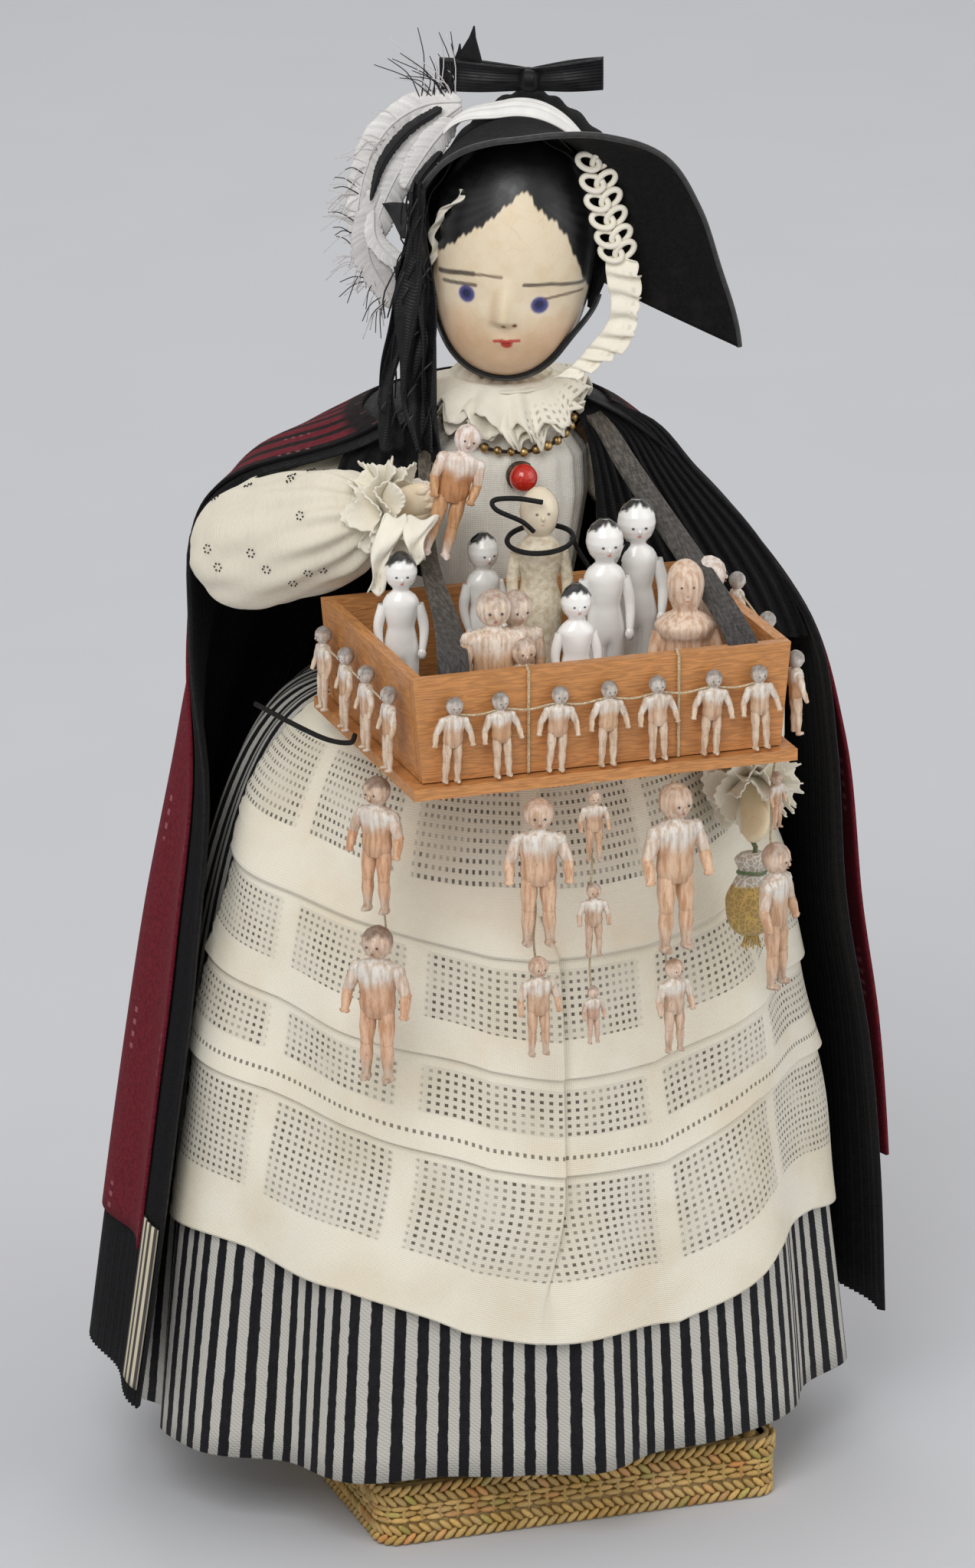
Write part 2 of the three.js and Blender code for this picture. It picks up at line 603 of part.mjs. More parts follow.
const broochHeight = NECK_HEIGHT - 10.3;
const broochBody = torsoAt(broochHeight);
const broochY = broochBody[4] - broochBody[2] - bodiceLoose - 0.8;
const broochPlace = vec(broochBody[3], broochY, broochHeight);
const broochBack = broochPlace.clone().add(vec(0, 0.6, 0));
const broochMount = rod(broochBack, broochPlace.clone().add(vec(0, -0.4, 0)), 2.4, 12);
const broochBead = ball(broochPlace.clone().add(vec(0, -2.3, 0)), 2.7);
add(doll, 'brooch', join(broochMount, broochBead), 'bead');

// Shawl and cape: rows from the neck to the hem, each
// [share of the drop, left edge angle, right edge angle, left radius, back radius, right radius].
const MANTLE = [
  [0, 56, -56, 17.5, 14, 17.5],
  [0.029, 66, -62, 29, 23.5, 27],
  [0.077, 92, -69, 45.5, 34, 36.5],
  [0.148, 106, -71, 54.2, 42, 48.5],
  [0.248, 100, -68, 55, 48, 61.5],
  [0.374, 83, -69, 57, 54, 65.5],
  [0.54, 76, -72, 63.5, 59.5, 67.5],
  [0.7, 75, -75, 68.5, 63.5, 72.5],
  [0.85, 75, -76, 72.8, 66.5, 75],
  [1, 76, -76, 76.6, 69, 76],
];
const mantleTop = NECK_HEIGHT + 2.7;

function mantleSurface(u, v) {
  const [drop, leftEdge, rightEdge, leftRadius, backRadius, rightRadius] = along(MANTLE, v);
  const back = Math.sin(Math.PI * THREE.MathUtils.clamp(u, 0, 1)) ** 1.4;
  const side = u < 0.5 ? leftRadius : rightRadius;
  const degrees = THREE.MathUtils.lerp(leftEdge, 360 + rightEdge, u);
  const fold = CAPE_FOLD_DEPTH * v * Math.cos(2 * Math.PI * 7 * u);
  const height = THREE.MathUtils.lerp(mantleTop, SHAWL_HEM, drop);
  return around(degrees, THREE.MathUtils.lerp(side, backRadius, back) + fold, height);
}
const mantleColumns = 28;
const mantleRows = MANTLE.length - 1;
const [shawlOuter, shawlInner] = thickened(mantleSurface, CLOTH);
add(doll, 'shawl', cloth(shawlInner, shawlOuter, mantleColumns, mantleRows), 'black');

// The cape lies over the shawl one column in from each front edge and one row short of the hem.
const capeColumns = mantleColumns - 2;
const capeRows = mantleRows - 1;
const capeNeck = 0.55;
const capeSurface = (u, v) => {
  const row = v * capeRows;
  const column = 1 + u * capeColumns;
  const drop = Math.max(row, capeNeck + (1 - capeNeck) * row) / mantleRows;
  const place = mantleSurface(column / mantleColumns, drop);
  const { smoothstep } = THREE.MathUtils;
  const flare = CAPE_FLARE * smoothstep(u, 0.84, 1) * smoothstep(v, 0.45, 0.75);
  const outwards = 1 + flare / Math.hypot(place.x, place.y);
  return vec(place.x * outwards, place.y * outwards, place.z);
};
const capeOffset = CLOTH + 0.9;
const [capeOuter, capeInner] = thickened(capeSurface, CLOTH, capeOffset);
add(doll, 'cape', cloth(capeOuter, capeInner, capeColumns, capeRows), 'red');

// Bonnet, built round the egg of the head and posed with it; phi runs over the face from cheek to cheek.
const rim = (degrees, wide, high, y) => vec(
  wide * Math.sin(radians(degrees)),
  y,
  high * Math.cos(radians(degrees)),
);
const rimWide = HEAD_HALF_WIDTH + 2.7;
const rimHigh = HEAD_CROWN + 1.6;
// Rows over the brim from the doll's right cheek to its left: [outwards, forwards].
const BRIM = [
  [1.5, 2], [1.5, 4], [1, 7.5], [0.6, 11.5], [0.2, 14.5], [0, 16], [0.8, 16.5], [3.8, 16], [9, 14.5],
  [15.4, 13], [18, 10.5], [21.2, 8.5], [28, 6],
];
const brimSurface = (u, v) => {
  const degrees = THREE.MathUtils.lerp(-100, 105.5, u);
  const [out, forward] = along(BRIM, u);
  const curl = v * Math.sqrt(Math.abs(v));
  return rim(degrees, rimWide, rimHigh, -2)
    .add(rim(degrees, out * curl, out * curl, -forward * v));
};
const [brimOver, brimUnder] = thickened(brimSurface, 1);
add(headPose, 'bonnet_brim', cloth(brimOver, brimUnder, 24, 3), 'black');

const crownSurface = (u, v) => {
  const degrees = THREE.MathUtils.lerp(-122, 122, u);
  const closing = Math.cos((v * 0.97 * Math.PI) / 2);
  const y = -0.6 + (HEAD_HALF_DEPTH + 5) * Math.sin((v * 0.97 * Math.PI) / 2);
  const puff = 10 * Math.sin(Math.PI * Math.min(1, 0.25 + v)) * Math.max(0, Math.cos(radians(degrees)));
  return rim(degrees, rimWide * closing, rimHigh * closing + puff * Math.sqrt(Math.abs(v)), y);
};
const [crownOver, crownUnder] = thickened(crownSurface, 1);
add(headPose, 'bonnet_crown', cloth(crownOver, crownUnder, 16, 5), 'black');

const bandSurface = (u, v) => {
  const degrees = THREE.MathUtils.lerp(-62, 50, u);
  const rise = 2.2 * v * Math.cos(radians(degrees));
  return rim(degrees, rimWide + 1.6, rimHigh + 2.2 + rise, -0.8 + 4.6 * v);
};
const [bandOver, bandUnder] = thickened(bandSurface, CLOTH);
add(headPose, 'bonnet_band', cloth(bandOver, bandUnder, 12, 1), 'white');

const bowPlace = vec(-0.9, 6, rimHigh + 6.4);
const bowStations = [[0, 1.6, 0.9], [0.4, 2.3, 1.5], [0.8, 2.8, 1.6], [1, 2.9, 0.9]];
const bowLoop = (tip) => limb(bowPlace, tip, bowStations, 8, UP);
const bowTips = [vec(-17.7, 5, bowPlace.z - 1.5), vec(12.5, 5, bowPlace.z + 2.5)];
add(headPose, 'bonnet_bow', join(...bowTips.map(bowLoop), ball(bowPlace, 3, 3, 2)), 'black');

// Feathers sweep from the band down over the doll's right side.
const featherPaths = [
  [vec(-13, 3, 23.4), vec(-22, 3.5, 20.5), vec(-29, 2.5, 11), vec(-29.5, 1, 1), vec(-26.5, 0, -9)],
  [vec(-13, 3, 23.4), vec(-19.4, 3, 17.5), vec(-23.2, 2.5, 8), vec(-23.2, 2.5, -2), vec(-21.5, 2, -10)],
];
function feather(points) {
  const curve = new THREE.CatmullRomCurve3(points);
  const steps = 7;
  return loft(Array.from({ length: steps + 1 }, (_, k) => {
    const share = k / steps;
    const tangent = curve.getTangent(share);
    const flat = vec(0, 1, 0).cross(tangent).normalize();
    const wide = tangent.clone().cross(flat);
    const width = 0.8 + 3.6 * Math.sin(Math.PI * Math.min(1, 0.12 + share * 0.86));
    return ellipse(curve.getPoint(share), flat, wide, width, 0.7, 6);
  }));
}
add(headPose, 'bonnet_feathers', join(...featherPaths.map(feather)), 'white');

const frillSurface = (u, v) => {
  const degrees = THREE.MathUtils.lerp(-112, 124, u);
  const ripple = 0.35 * Math.sin(radians(degrees * 12));
  return rim(degrees, HEAD_HALF_WIDTH + 1.4 + ripple, HEAD_CROWN + ripple, -4.4 - 3.2 * v);
};
const [frillOver, frillUnder] = thickened(frillSurface, CLOTH);
add(headPose, 'bonnet_frill', cloth(frillOver, frillUnder, 31, 1), 'white');

// Distance from the middle of the head out to its surface, in the upright plane at y.
function jawReach(degrees, y) {
  let [inside, outside] = [0, HEAD_CHIN];
  for (let step = 0; step < 24; step += 1) {
    const reach = (inside + outside) / 2;
    const { x, z } = rim(degrees, reach, reach, y);
    if (Math.hypot(x / HEAD_HALF_WIDTH, y / HEAD_HALF_DEPTH) < headGirth(z)) inside = reach;
    else outside = reach;
  }
  return inside;
}
const ribbonSurface = (u, v) => {
  const degrees = THREE.MathUtils.lerp(114, 246, u);
  const y = -10 + 2 * v;
  const reach = jawReach(degrees, y) + 0.9;
  return rim(degrees, reach, reach, y);
};
const [ribbonOver, ribbonUnder] = thickened(ribbonSurface, 0.6);
add(headPose, 'chin_ribbon', cloth(ribbonOver, ribbonUnder, 16, 1), 'black');

// Tray: five boards, the sides flaring outwards from a wider bottom board.
const trayY = -(TRAY_CLEARANCE + TRAY_DEPTH / 2);
const trayZ = WAIST_HEIGHT + TRAY_LIFT;
const tray = groupAt(part, TRAY_X, trayY, trayZ);
const trayFloor = TRAY_BOARD;
const halfWide = TRAY_WIDTH / 2;
const halfDeep = TRAY_DEPTH / 2;
const box = (width, depth, height, x, y, z) => new THREE.BoxGeometry(width, depth, height).translate(x, y, z);
add(tray, 'tray_bottom', box(
  TRAY_WIDTH - 2 * TRAY_FLARE + 2 * TRAY_LEDGE,
  TRAY_DEPTH + 2 * TRAY_LEDGE,
  TRAY_BOARD,
  0,
  0,
  TRAY_BOARD / 2,
), 'cedar');

// An end board leans out by the flare; the long boards are cut to the same slope.
const wallLow = trayFloor + GAP;
const wallHigh = TRAY_BOARD + TRAY_HEIGHT;
function sloped(lowFrom, lowTo, highFrom, highTo, yFrom, yTo) {
  const ringAt = (from, to, z) => (
    [vec(from, yFrom, z), vec(to, yFrom, z), vec(to, yTo, z), vec(from, yTo, z)]);
  return loft([ringAt(lowFrom, lowTo, wallLow), ringAt(highFrom, highTo, wallHigh)]);
}
const lowWide = halfWide - TRAY_FLARE;
const longBoard = (yFrom) => sloped(-lowWide, lowWide, -halfWide, halfWide, yFrom, yFrom + TRAY_BOARD);
add(tray, 'tray_front', longBoard(-halfDeep), 'cedar');
add(tray, 'tray_back', longBoard(halfDeep - TRAY_BOARD), 'cedar');
const endFrom = -halfDeep + TRAY_BOARD + GAP;
const leftEnd = sloped(-lowWide, -lowWide + TRAY_BOARD, -halfWide, -halfWide + TRAY_BOARD, endFrom, -endFrom);
const rightEnd = sloped(lowWide - TRAY_BOARD, lowWide, halfWide - TRAY_BOARD, halfWide, endFrom, -endFrom);
add(tray, 'tray_left_end', leftEnd, 'cedar');
add(tray, 'tray_right_end', rightEnd, 'cedar');

// Neck strap: one band from the inside of the front board, over the shoulders and round the neck.
const strapFoot = (side) => vec(
  TRAY_X - DOLL_X + side * (halfWide - STRAP_INSET),
  trayY - halfDeep + TRAY_BOARD + GAP + 0.8,
  trayZ + wallHigh - 7,
);
const strapRise = (side) => strapFoot(side).add(vec(0, 0.6, 8.5));
const strapPath = new THREE.CatmullRomCurve3([
  strapFoot(-1),
  strapRise(-1),
  vec(-26, -54, NECK_HEIGHT - 25),
  vec(-22.5, -34, NECK_HEIGHT - 20),
  vec(-18.5, -20, NECK_HEIGHT - 10.5),
  vec(-15.5, -11, NECK_HEIGHT - 2.5),
  vec(-8.5, 1.5, NECK_HEIGHT + 2.6),
  vec(2, 5.8, NECK_HEIGHT + 4),
  vec(12.5, 1.5, NECK_HEIGHT + 2.6),
  vec(18.5, -11, NECK_HEIGHT - 2.5),
  vec(20.5, -26, NECK_HEIGHT - 9.5),
  strapRise(1),
  strapFoot(1),
], false, 'centripetal');
const strapSteps = 30;
const strap = loft(Array.from({ length: strapSteps + 1 }, (_, k) => {
  const share = k / strapSteps;
  const tangent = strapPath.getTangent(share);
  const roundNeck = Math.exp(-(((share - 0.5) / 0.16) ** 2));
  const level = vec(1, 0, 0).addScaledVector(tangent, -tangent.x).normalize();
  const breadth = level.lerp(UP, roundNeck);
  breadth.addScaledVector(tangent, -breadth.dot(tangent)).normalize();
  const thin = tangent.clone().cross(breadth).normalize();
  return ellipse(strapPath.getPoint(share), breadth, thin, STRAP_WIDTH / 2 - 0.8 * roundNeck, 0.45, 4);
}));
add(doll, 'tray_strap', strap, 'strap');

// Small peg-jointed wooden doll standing at the origin and looking to -Y.
function pegDoll(h, arms = 0.1, fine = false) {
  const body = turned([
    [0.42 * h, 0.09 * h, 0.07 * h], [0.73 * h, 0.13 * h, 0.08 * h], [0.79 * h, 0.045 * h],
    [0.85 * h, 0.09 * h], [0.93 * h, 0.1 * h], [h, 0.045 * h],
  ], fine ? 8 : 5);
  const limbs = [-1, 1].flatMap((s) => [
    limb(
      vec(s * 0.09 * h, 0, 0.72 * h),
      vec(s * (0.13 + arms) * h, -0.06 * h, 0.43 * h),
      [[0, 0.042 * h], [1, 0.03 * h]],
      3,
    ),
    limb(
      vec(s * 0.05 * h, 0, 0.45 * h),
      vec(s * 0.068 * h, -0.01 * h, 0),
      [[0, 0.048 * h], [1, 0.036 * h]],
      4,
    ),
  ]);
  return join(body, ...limbs);
}

const placed = (geometry, x, y, z, turn = 0, lean = 0) => (
  geometry.clone().rotateY(radians(lean)).rotateZ(radians(turn)).translate(x, y, z));

// Rows of peg dolls tied to the tray, strung on one thread.
const rowDoll = pegDoll(ROW_DOLL_HEIGHT);
const rowFoot = trayFloor + 0.8;
const rowThread = rowFoot + 0.8 * ROW_DOLL_HEIGHT;
const rowStandOff = 0.07 * ROW_DOLL_HEIGHT + 0.85;

const frontY = -halfDeep - rowStandOff;
const frontCount = 7;
const frontPitch = (TRAY_WIDTH - 13) / (frontCount - 1);
const frontPlaces = Array.from({ length: frontCount }, (_, k) => (k - (frontCount - 1) / 2) * frontPitch);
const threadEnd = (side) => vec(side * frontPlaces[frontCount - 1], frontY, rowThread);
const frontThread = rod(threadEnd(-1), threadEnd(1), THREAD_RADIUS, 4);
add(tray, 'front_row_dolls', join(
  frontThread,
  ...frontPlaces.map((x, k) => placed(rowDoll, x, frontY, rowFoot, 0, [3, -2, 4, 2, -1, 3, -2][k])),
), 'paleWood');

// A row at an end of the tray; its dolls are tied higher towards the back when it has a slope.
function endRow(side, count, from, to, slope) {
  const x = side * (halfWide + rowStandOff);
  const places = Array.from({ length: count }, (_, k) => from + ((to - from) * k) / (count - 1));
  const lift = (y) => slope * (y + halfDeep);
  const threadPlace = (y) => vec(x, y, rowThread + lift(y));
  const thread = rod(threadPlace(from), threadPlace(to), THREAD_RADIUS, 4);
  return join(thread, ...places.map((y) => placed(rowDoll, x, y, rowFoot + lift(y), side * 90)));
}
add(tray, 'left_row_dolls', endRow(-1, 4, -19, 19, 0), 'paleWood');
add(tray, 'right_row_dolls', endRow(1, 3, -24.4, 6, 0.2), 'paleWood');

// Goods standing in the tray.
const standing = trayFloor + GAP;
function chinaDoll(h, bust) {
  const body = turned([
    [0, 0.1 * h, 0.09 * h], [0.46 * h, 0.1 * h, 0.08 * h], [0.58 * h, 0.075 * h, 0.065 * h],
    [0.72 * h, bust * h, 0.075 * h], [0.79 * h, 0.045 * h], [0.83 * h, 0.075 * h], [0.89 * h, 0.09 * h],
    [0.95 * h, 0.075 * h], [h, 0.03 * h],
  ], 8);
  const arms = [-1, 1].map((s) => limb(
    vec(s * 0.09 * h, 0, 0.71 * h),
    vec(s * 0.105 * h, -0.05 * h, 0.42 * h),
    [[0, 0.034 * h], [1, 0.024 * h]],
    3,
  ));
  return join(body, ...arms);
}
// Places in the tray are shares of the room that a piece of that radius has inside the boards.
const inTray = (acrossShare, deepShare, radius) => vec(
  acrossShare * (lowWide - TRAY_BOARD - GAP - radius),
  deepShare * (halfDeep - TRAY_BOARD - GAP - radius),
  standing,
);
const settle = (geometry, place, turn) => placed(geometry, place.x, place.y, place.z, turn);
const CHINA = [
  ['china_doll_left', -1, 0.24, 34, 0.1, -14],
  ['china_doll_back', -0.31, 0.72, 33, 0.1, 6],
  ['china_bust', -0.07, -0.86, 32, 0.11, -6],
  ['china_doll_middle', 0.32, -0.15, 39, 0.1, -4],
  ['china_doll_right', 0.64, 0.2, 40, 0.1, -10],
];
CHINA.forEach(([name, acrossShare, deepShare, height, bust, turn]) => {
  const place = inTray(acrossShare, deepShare, 0.12 * height);
  add(tray, name, settle(chinaDoll(height, bust), place, turn), 'china');
});

const kidHeight = 44;
const kidDoll = turned([
  [0, 3.6], [14, 3.9], [22, 4.3, 3.6], [26, 3.4, 3], [32, 4.6, 3.4], [35, 2], [36.5, 3.2], [39.6, 3.9],
  [42.5, 2.9], [kidHeight, 1.2],
], 10);
add(tray, 'kid_doll', settle(kidDoll, inTray(-0.05, 0.22, 4.6), -8), 'kid');

const babyDoll = turned([
  [0, 3.6], [8, 4.2, 3.8], [16, 5.2, 4], [21, 4.4, 3.6], [24, 2.6], [26.5, 4], [29.5, 4.6], [33, 3.4],
  [34.5, 1.6],
], 10);
add(tray, 'baby_doll', settle(babyDoll, inTray(0.74, -0.81, 5.2), -12), 'brown');

const BUNDLE = [
  { height: 33, turn: -10, place: inTray(-0.66, -0.96, 4) },
  { height: 31, turn: 8, place: inTray(-0.46, -0.76, 4) },
  { height: 24, turn: 0, place: inTray(-0.48, -1.05, 4) },
];
const smallest = BUNDLE[BUNDLE.length - 1];
const bundleTie = ({ place }) => place.clone().addScaledVector(UP, 15);
const bundleThreads = BUNDLE.slice(0, -1).map((one) => (
  rod(bundleTie(one), bundleTie(smallest), THREAD_RADIUS, 4)));
add(tray, 'tray_wooden_dolls', join(
  ...bundleThreads,
  ...BUNDLE.map(({ height, turn, place }) => settle(pegDoll(height, -0.02), place, turn)),
), 'paleWood');

const leaningPlace = inTray(1, -0.75, 3.2);
add(tray, 'leaning_doll', placed(
  pegDoll(31, -0.02, true),
  leaningPlace.x,
  leaningPlace.y,
  leaningPlace.z + 1.7,
  90,
  25,
), 'paleWood');

// Strings of hung dolls: each doll is [drop of its head below the knot, height].
function hungString(dolls) {
  const last = dolls[dolls.length - 1];
  const thread = rod(vec(0, 0, 0), vec(0, 0, -last[0] - 2), THREAD_RADIUS, 4);
  return join(thread, ...dolls.map(([drop, height]) => (
    placed(pegDoll(height, 0.06, height > 25), 0, 0, -drop - height))));
}
const hangFront = -halfDeep - TRAY_LEDGE - THREAD_RADIUS - GAP;
const hangSide = lowWide + TRAY_LEDGE + THREAD_RADIUS + GAP;
const hangTop = 0.3;
const HANGING = [
  ['hang_left', -hangSide, -10, [[1.5, 26], [30.5, 30]], -50],
  ['hang_centre', -13.5, hangFront, [[2, 28], [32.5, 19]], -6],
  ['hang_small', -2.8, hangFront, [[1.5, 13.5], [19.5, 14], [39.5, 11]], 0],
  ['hang_right_centre', 13, hangFront, [[2, 32], [36, 18]], 8],
  ['hang_right', hangSide, -17, [[6.5, 11], [20.5, 28]], 35],
];
HANGING.forEach(([name, x, y, dolls, turn]) => {
  const string = add(tray, name, hungString(dolls), 'paleWood');
  string.position.set(x, y, hangTop);
  string.rotation.z = radians(turn);
});

// Held things: a small wooden doll at the right hand and a purse under the left.
const rightGrip = ARMS.right.elbow.clone().lerp(ARMS.right.hand, 0.95);
const heldHeight = 26;
const heldDoll = placed(pegDoll(heldHeight, -0.02, true), 0, 0, -0.6 * heldHeight, -10)
  .rotateY(radians(16.5))
  .translate(rightGrip.x + 4.1, rightGrip.y - 4.4, rightGrip.z + 4.2);
add(doll, 'held_doll', heldDoll, 'paleWood');

const leftGrip = ARMS.left.elbow.clone().lerp(ARMS.left.hand, 0.96);
const purseTop = leftGrip.z - 4;
const purseBody = turned([
  [purseTop - 16, 2.4, 1.6], [purseTop - 13, 4.6, 2.8], [purseTop - 8, 4.8, 2.8], [purseTop - 4, 2.6, 2],
  [purseTop - 1.5, 3, 2.2], [purseTop, 2, 1.5],
], 12);
const purseCord = rod(vec(0, 0, purseTop - 1), vec(0, 0, purseTop + 1.2), 0.7, 6);
const purse = join(purseBody, purseCord).translate(leftGrip.x - 1, leftGrip.y - 0.5, 0);
add(doll, 'purse', purse, 'gold');

export default part;
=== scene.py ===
import math

import bmesh
import bpy
import numpy as np
from bpy.props import FloatProperty, FloatVectorProperty, IntProperty, PointerProperty
from mathutils import Matrix, Vector


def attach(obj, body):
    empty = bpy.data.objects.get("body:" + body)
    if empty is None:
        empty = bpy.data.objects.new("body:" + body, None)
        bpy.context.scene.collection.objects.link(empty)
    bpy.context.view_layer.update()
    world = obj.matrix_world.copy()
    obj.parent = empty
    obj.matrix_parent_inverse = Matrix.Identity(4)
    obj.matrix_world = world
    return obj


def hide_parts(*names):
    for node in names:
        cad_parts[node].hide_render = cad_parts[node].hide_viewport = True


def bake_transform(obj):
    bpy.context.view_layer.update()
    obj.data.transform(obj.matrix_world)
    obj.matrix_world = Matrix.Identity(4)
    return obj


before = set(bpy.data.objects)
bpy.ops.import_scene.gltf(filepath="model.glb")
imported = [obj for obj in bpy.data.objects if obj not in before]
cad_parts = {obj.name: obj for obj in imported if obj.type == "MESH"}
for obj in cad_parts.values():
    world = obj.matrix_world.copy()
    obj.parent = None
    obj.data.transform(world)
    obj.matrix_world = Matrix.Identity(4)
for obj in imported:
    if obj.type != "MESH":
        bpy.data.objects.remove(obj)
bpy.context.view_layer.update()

bl_info = {
    "name": "Pedlar Doll Dressing",
    "version": (1, 0, 0),
    "blender": (4, 5, 0),
    "location": "3D View > Sidebar > Pedlar Doll",
    "description": "Dresses the packed pedlar doll with its clothes, bonnet, tray and small dolls",
    "category": "Object",
}

MM = 0.001

# Sizes in millimetres that the solids were built from
DOLL_X = -4.6
BASE_WIDTH, BASE_DEPTH, BASE_HEIGHT, BASE_CORNER = 82.0, 88.0, 12.5, 5.0
WAIST, HEM_HEIGHT, HEM_RADIUS, WAIST_RADIUS = 159.5, 16.0, 69.0, 15.0
SKIRT_FOLDS, SKIRT_FOLD_DEPTH, HEM_FLATNESS = 10, 2.6, 0.8
APRON_LENGTH, APRON_SPAN = 116, 82
MANTLE_TOP, SHAWL_HEM = 215.2, 25
NECK_X, NECK_Y, NECK_HEIGHT = 2.0, -4.0, 212.5
HEAD_WIDE, HEAD_DEEP, HEAD_CROWN, HEAD_CHIN, JAW_SQUARENESS = 15.2, 15.5, 21.0, 27.0, 2.5
RIM_WIDE, RIM_HIGH = 17.9, 22.6
WRIST = 0.74
TRAY_PLACE = (-7.6, -48.0, 161.4)
TRAY_HALF_DEEP, TRAY_LOW_WIDE, TRAY_BOARD = 27.0, 34.7, 2.2

# Torso stations: height, half width, half depth, x, y
TORSO = [
    (159.5, 11.5, 9, 0, 0), (181.5, 15, 12.5, 0.4, -1), (195.5, 16.6, 12.5, 0.8, -2),
    (203.5, 15.4, 11, 1.2, -3), (208.5, 11, 9, 1.6, -3.6), (212.5, 7, 7, 2, -4),
]
# Shoulder, elbow, hand and sleeve radii of each arm
ARMS = {
    "right": ((-23.5, 2, 201.5), (-48, -3, 188.5), (-22, -37, 206.5), (7.3, 12, 11.5, 9.5, 3.6)),
    "left": ((23.5, 2, 201.5), (49, -6, 165.5), (36, -52, 137.5), (7.3, 8, 7.4, 6.8, 3.6)),
}
# Shawl rows: share of the drop, left and right edge angle, left, back and right radius
MANTLE = [
    (0, 56, -56, 17.5, 14, 17.5), (0.029, 66, -62, 29, 23.5, 27), (0.077, 92, -69, 45.5, 34, 36.5),
    (0.148, 106, -71, 54.2, 42, 48.5), (0.248, 100, -68, 55, 48, 61.5), (0.374, 83, -69, 57, 54, 65.5),
    (0.54, 76, -72, 63.5, 59.5, 67.5), (0.7, 75, -75, 68.5, 63.5, 72.5), (0.85, 75, -76, 72.8, 66.5, 75),
    (1, 76, -76, 76.6, 69, 76),
]
# Brim rows from the doll's right cheek to its left: outwards, forwards
BRIM = [
    (1.5, 2), (1.5, 4), (1, 7.5), (0.6, 11.5), (0.2, 14.5), (0, 16), (0.8, 16.5), (3.8, 16), (9, 14.5),
    (15.4, 13),
    (18, 10.5), (21.2, 8.5), (28, 6),
]
CAPE_FLARE = 5.0
# Necklace rows from the front of the neck round to its back: distance from the neck's axis, height
NECKLACE = [(12.6, 206.5), (13, 207.4), (13.6, 210), (11.9, 212.8), (10, 214.2), (9.2, 214.8), (9, 215)]
# Black drape between the bodice and the strap: height, inner x and y, outer x and y
DRAPE = [
    (214, 12.5, -7, 17, -8), (208.5, 15.8, -11.5, 30, -10.5), (199, 17.2, -13.8, 38, -13.5),
    (188, 17.4, -15.5, 47, -17),
    (178, 19, -17, 53, -19), (166, 24, -18.6, 58, -20.5),
]
# The shawl's right front edge beside the bodice, in the same order
FRONT_EDGE = [
    (214.5, -12, -8.5, -18, -7), (208, -15.4, -12, -30, -8.5), (200, -17, -14, -33, -10),
    (191, -17.4, -15.2, -30, -12.5),
    (184, -17.6, -15.6, -25, -14),
]
WHITE = (1.0, 1.0, 1.0)

# Camera at the photograph's angle, in degrees and metres
CAMERA_TURN, CAMERA_RISE, CAMERA_LENS = -19.0, 18.5, 203.73
CAMERA_DISTANCE, CAMERA_TARGET = 1.687, (-0.007, -0.0086, 0.139)
# Lamps: place and size in metres, power
LAMPS = {
    "key": ((-0.75, -1.05, 1.25), 0.9, 13.0), "fill": ((1.1, -0.9, 0.7), 1.2, 4.6),
    "back": ((0.3, 1.1, 1.2), 0.9, 4.0),
}
LAMP_TARGET = (0, 0, 0.13)
WORLD_LIGHT = 0.55


def lerp(low, high, share):
    return low + (high - low) * share


def ease(low, high, value):
    share = np.clip((value - low) / (high - low), 0, 1)
    return share * share * (3 - 2 * share)


def hump(value, width):
    return np.exp(-(value / width) ** 2)


def points_at(points, share):
    """Smooth values at a share of the way through a list of evenly spaced rows."""
    rows = np.asarray(points, float)
    rows = np.vstack([2 * rows[0] - rows[1], rows, 2 * rows[-1] - rows[-2]])
    place = np.clip(np.asarray(share, float), 0, 1) * (len(rows) - 3)
    first = np.minimum(place.astype(int), len(rows) - 4)
    t = (place - first)[..., None]
    a, b, c, d = (rows[first + k] for k in range(4))
    return 0.5 * (2 * b + (c - a) * t + (2 * a - 5 * b + 4 * c - d) * t**2 + (3 * b - a - 3 * c + d) * t**3)


def running(line):
    """Running length along a line of points."""
    return np.concatenate([[0], np.cumsum(np.linalg.norm(np.diff(line, axis=0), axis=1))])


def smoothed(values):
    return np.convolve(np.pad(values, 2, mode="edge"), np.ones(5) / 5, "valid")


def xyz(x, y, z):
    return np.stack(np.broadcast_arrays(x, y, z), -1)


def turned(axis, degrees):
    return Matrix.Rotation(math.radians(degrees), 4, axis)


def unit(direction):
    direction = np.asarray(direction, float)
    return direction / np.linalg.norm(direction)


def around(degrees, radius, height):
    """A point round the doll's upright axis; zero degrees is the front."""
    angle = np.radians(degrees)
    return xyz(-radius * np.sin(angle), -radius * np.cos(angle), height)


def across_of(direction, side=None):
    """Two directions square to a heading."""
    heading = unit(direction)
    if side is None:
        side = np.cross((0, 0, 1), heading) if abs(heading[2]) < 0.9 else np.array((1.0, 0, 0))
    first = unit(side - heading * np.dot(side, heading))
    return first, np.cross(heading, first)


def ellipse(centre, first, second, half_first, half_second, sides, ripple=0.0, waves=0, phase=0.0):
    angle = 2 * np.pi * np.arange(sides) / sides
    swell = 1 + ripple * np.cos(waves * angle + phase)
    return (np.asarray(centre, float) + np.outer(half_first * swell * np.cos(angle), first)
            + np.outer(half_second * swell * np.sin(angle), second))


def limb_rings(start, end, stations, sides=14, side=None):
    """Rings of a tapered rod; each station is share of the way, half width, half thickness."""
    start, end = np.asarray(start, float), np.asarray(end, float)
    first, second = across_of(end - start, side)
    return [ellipse(lerp(start, end, row[0]), first, second, row[1], row[-1], sides) for row in stations]


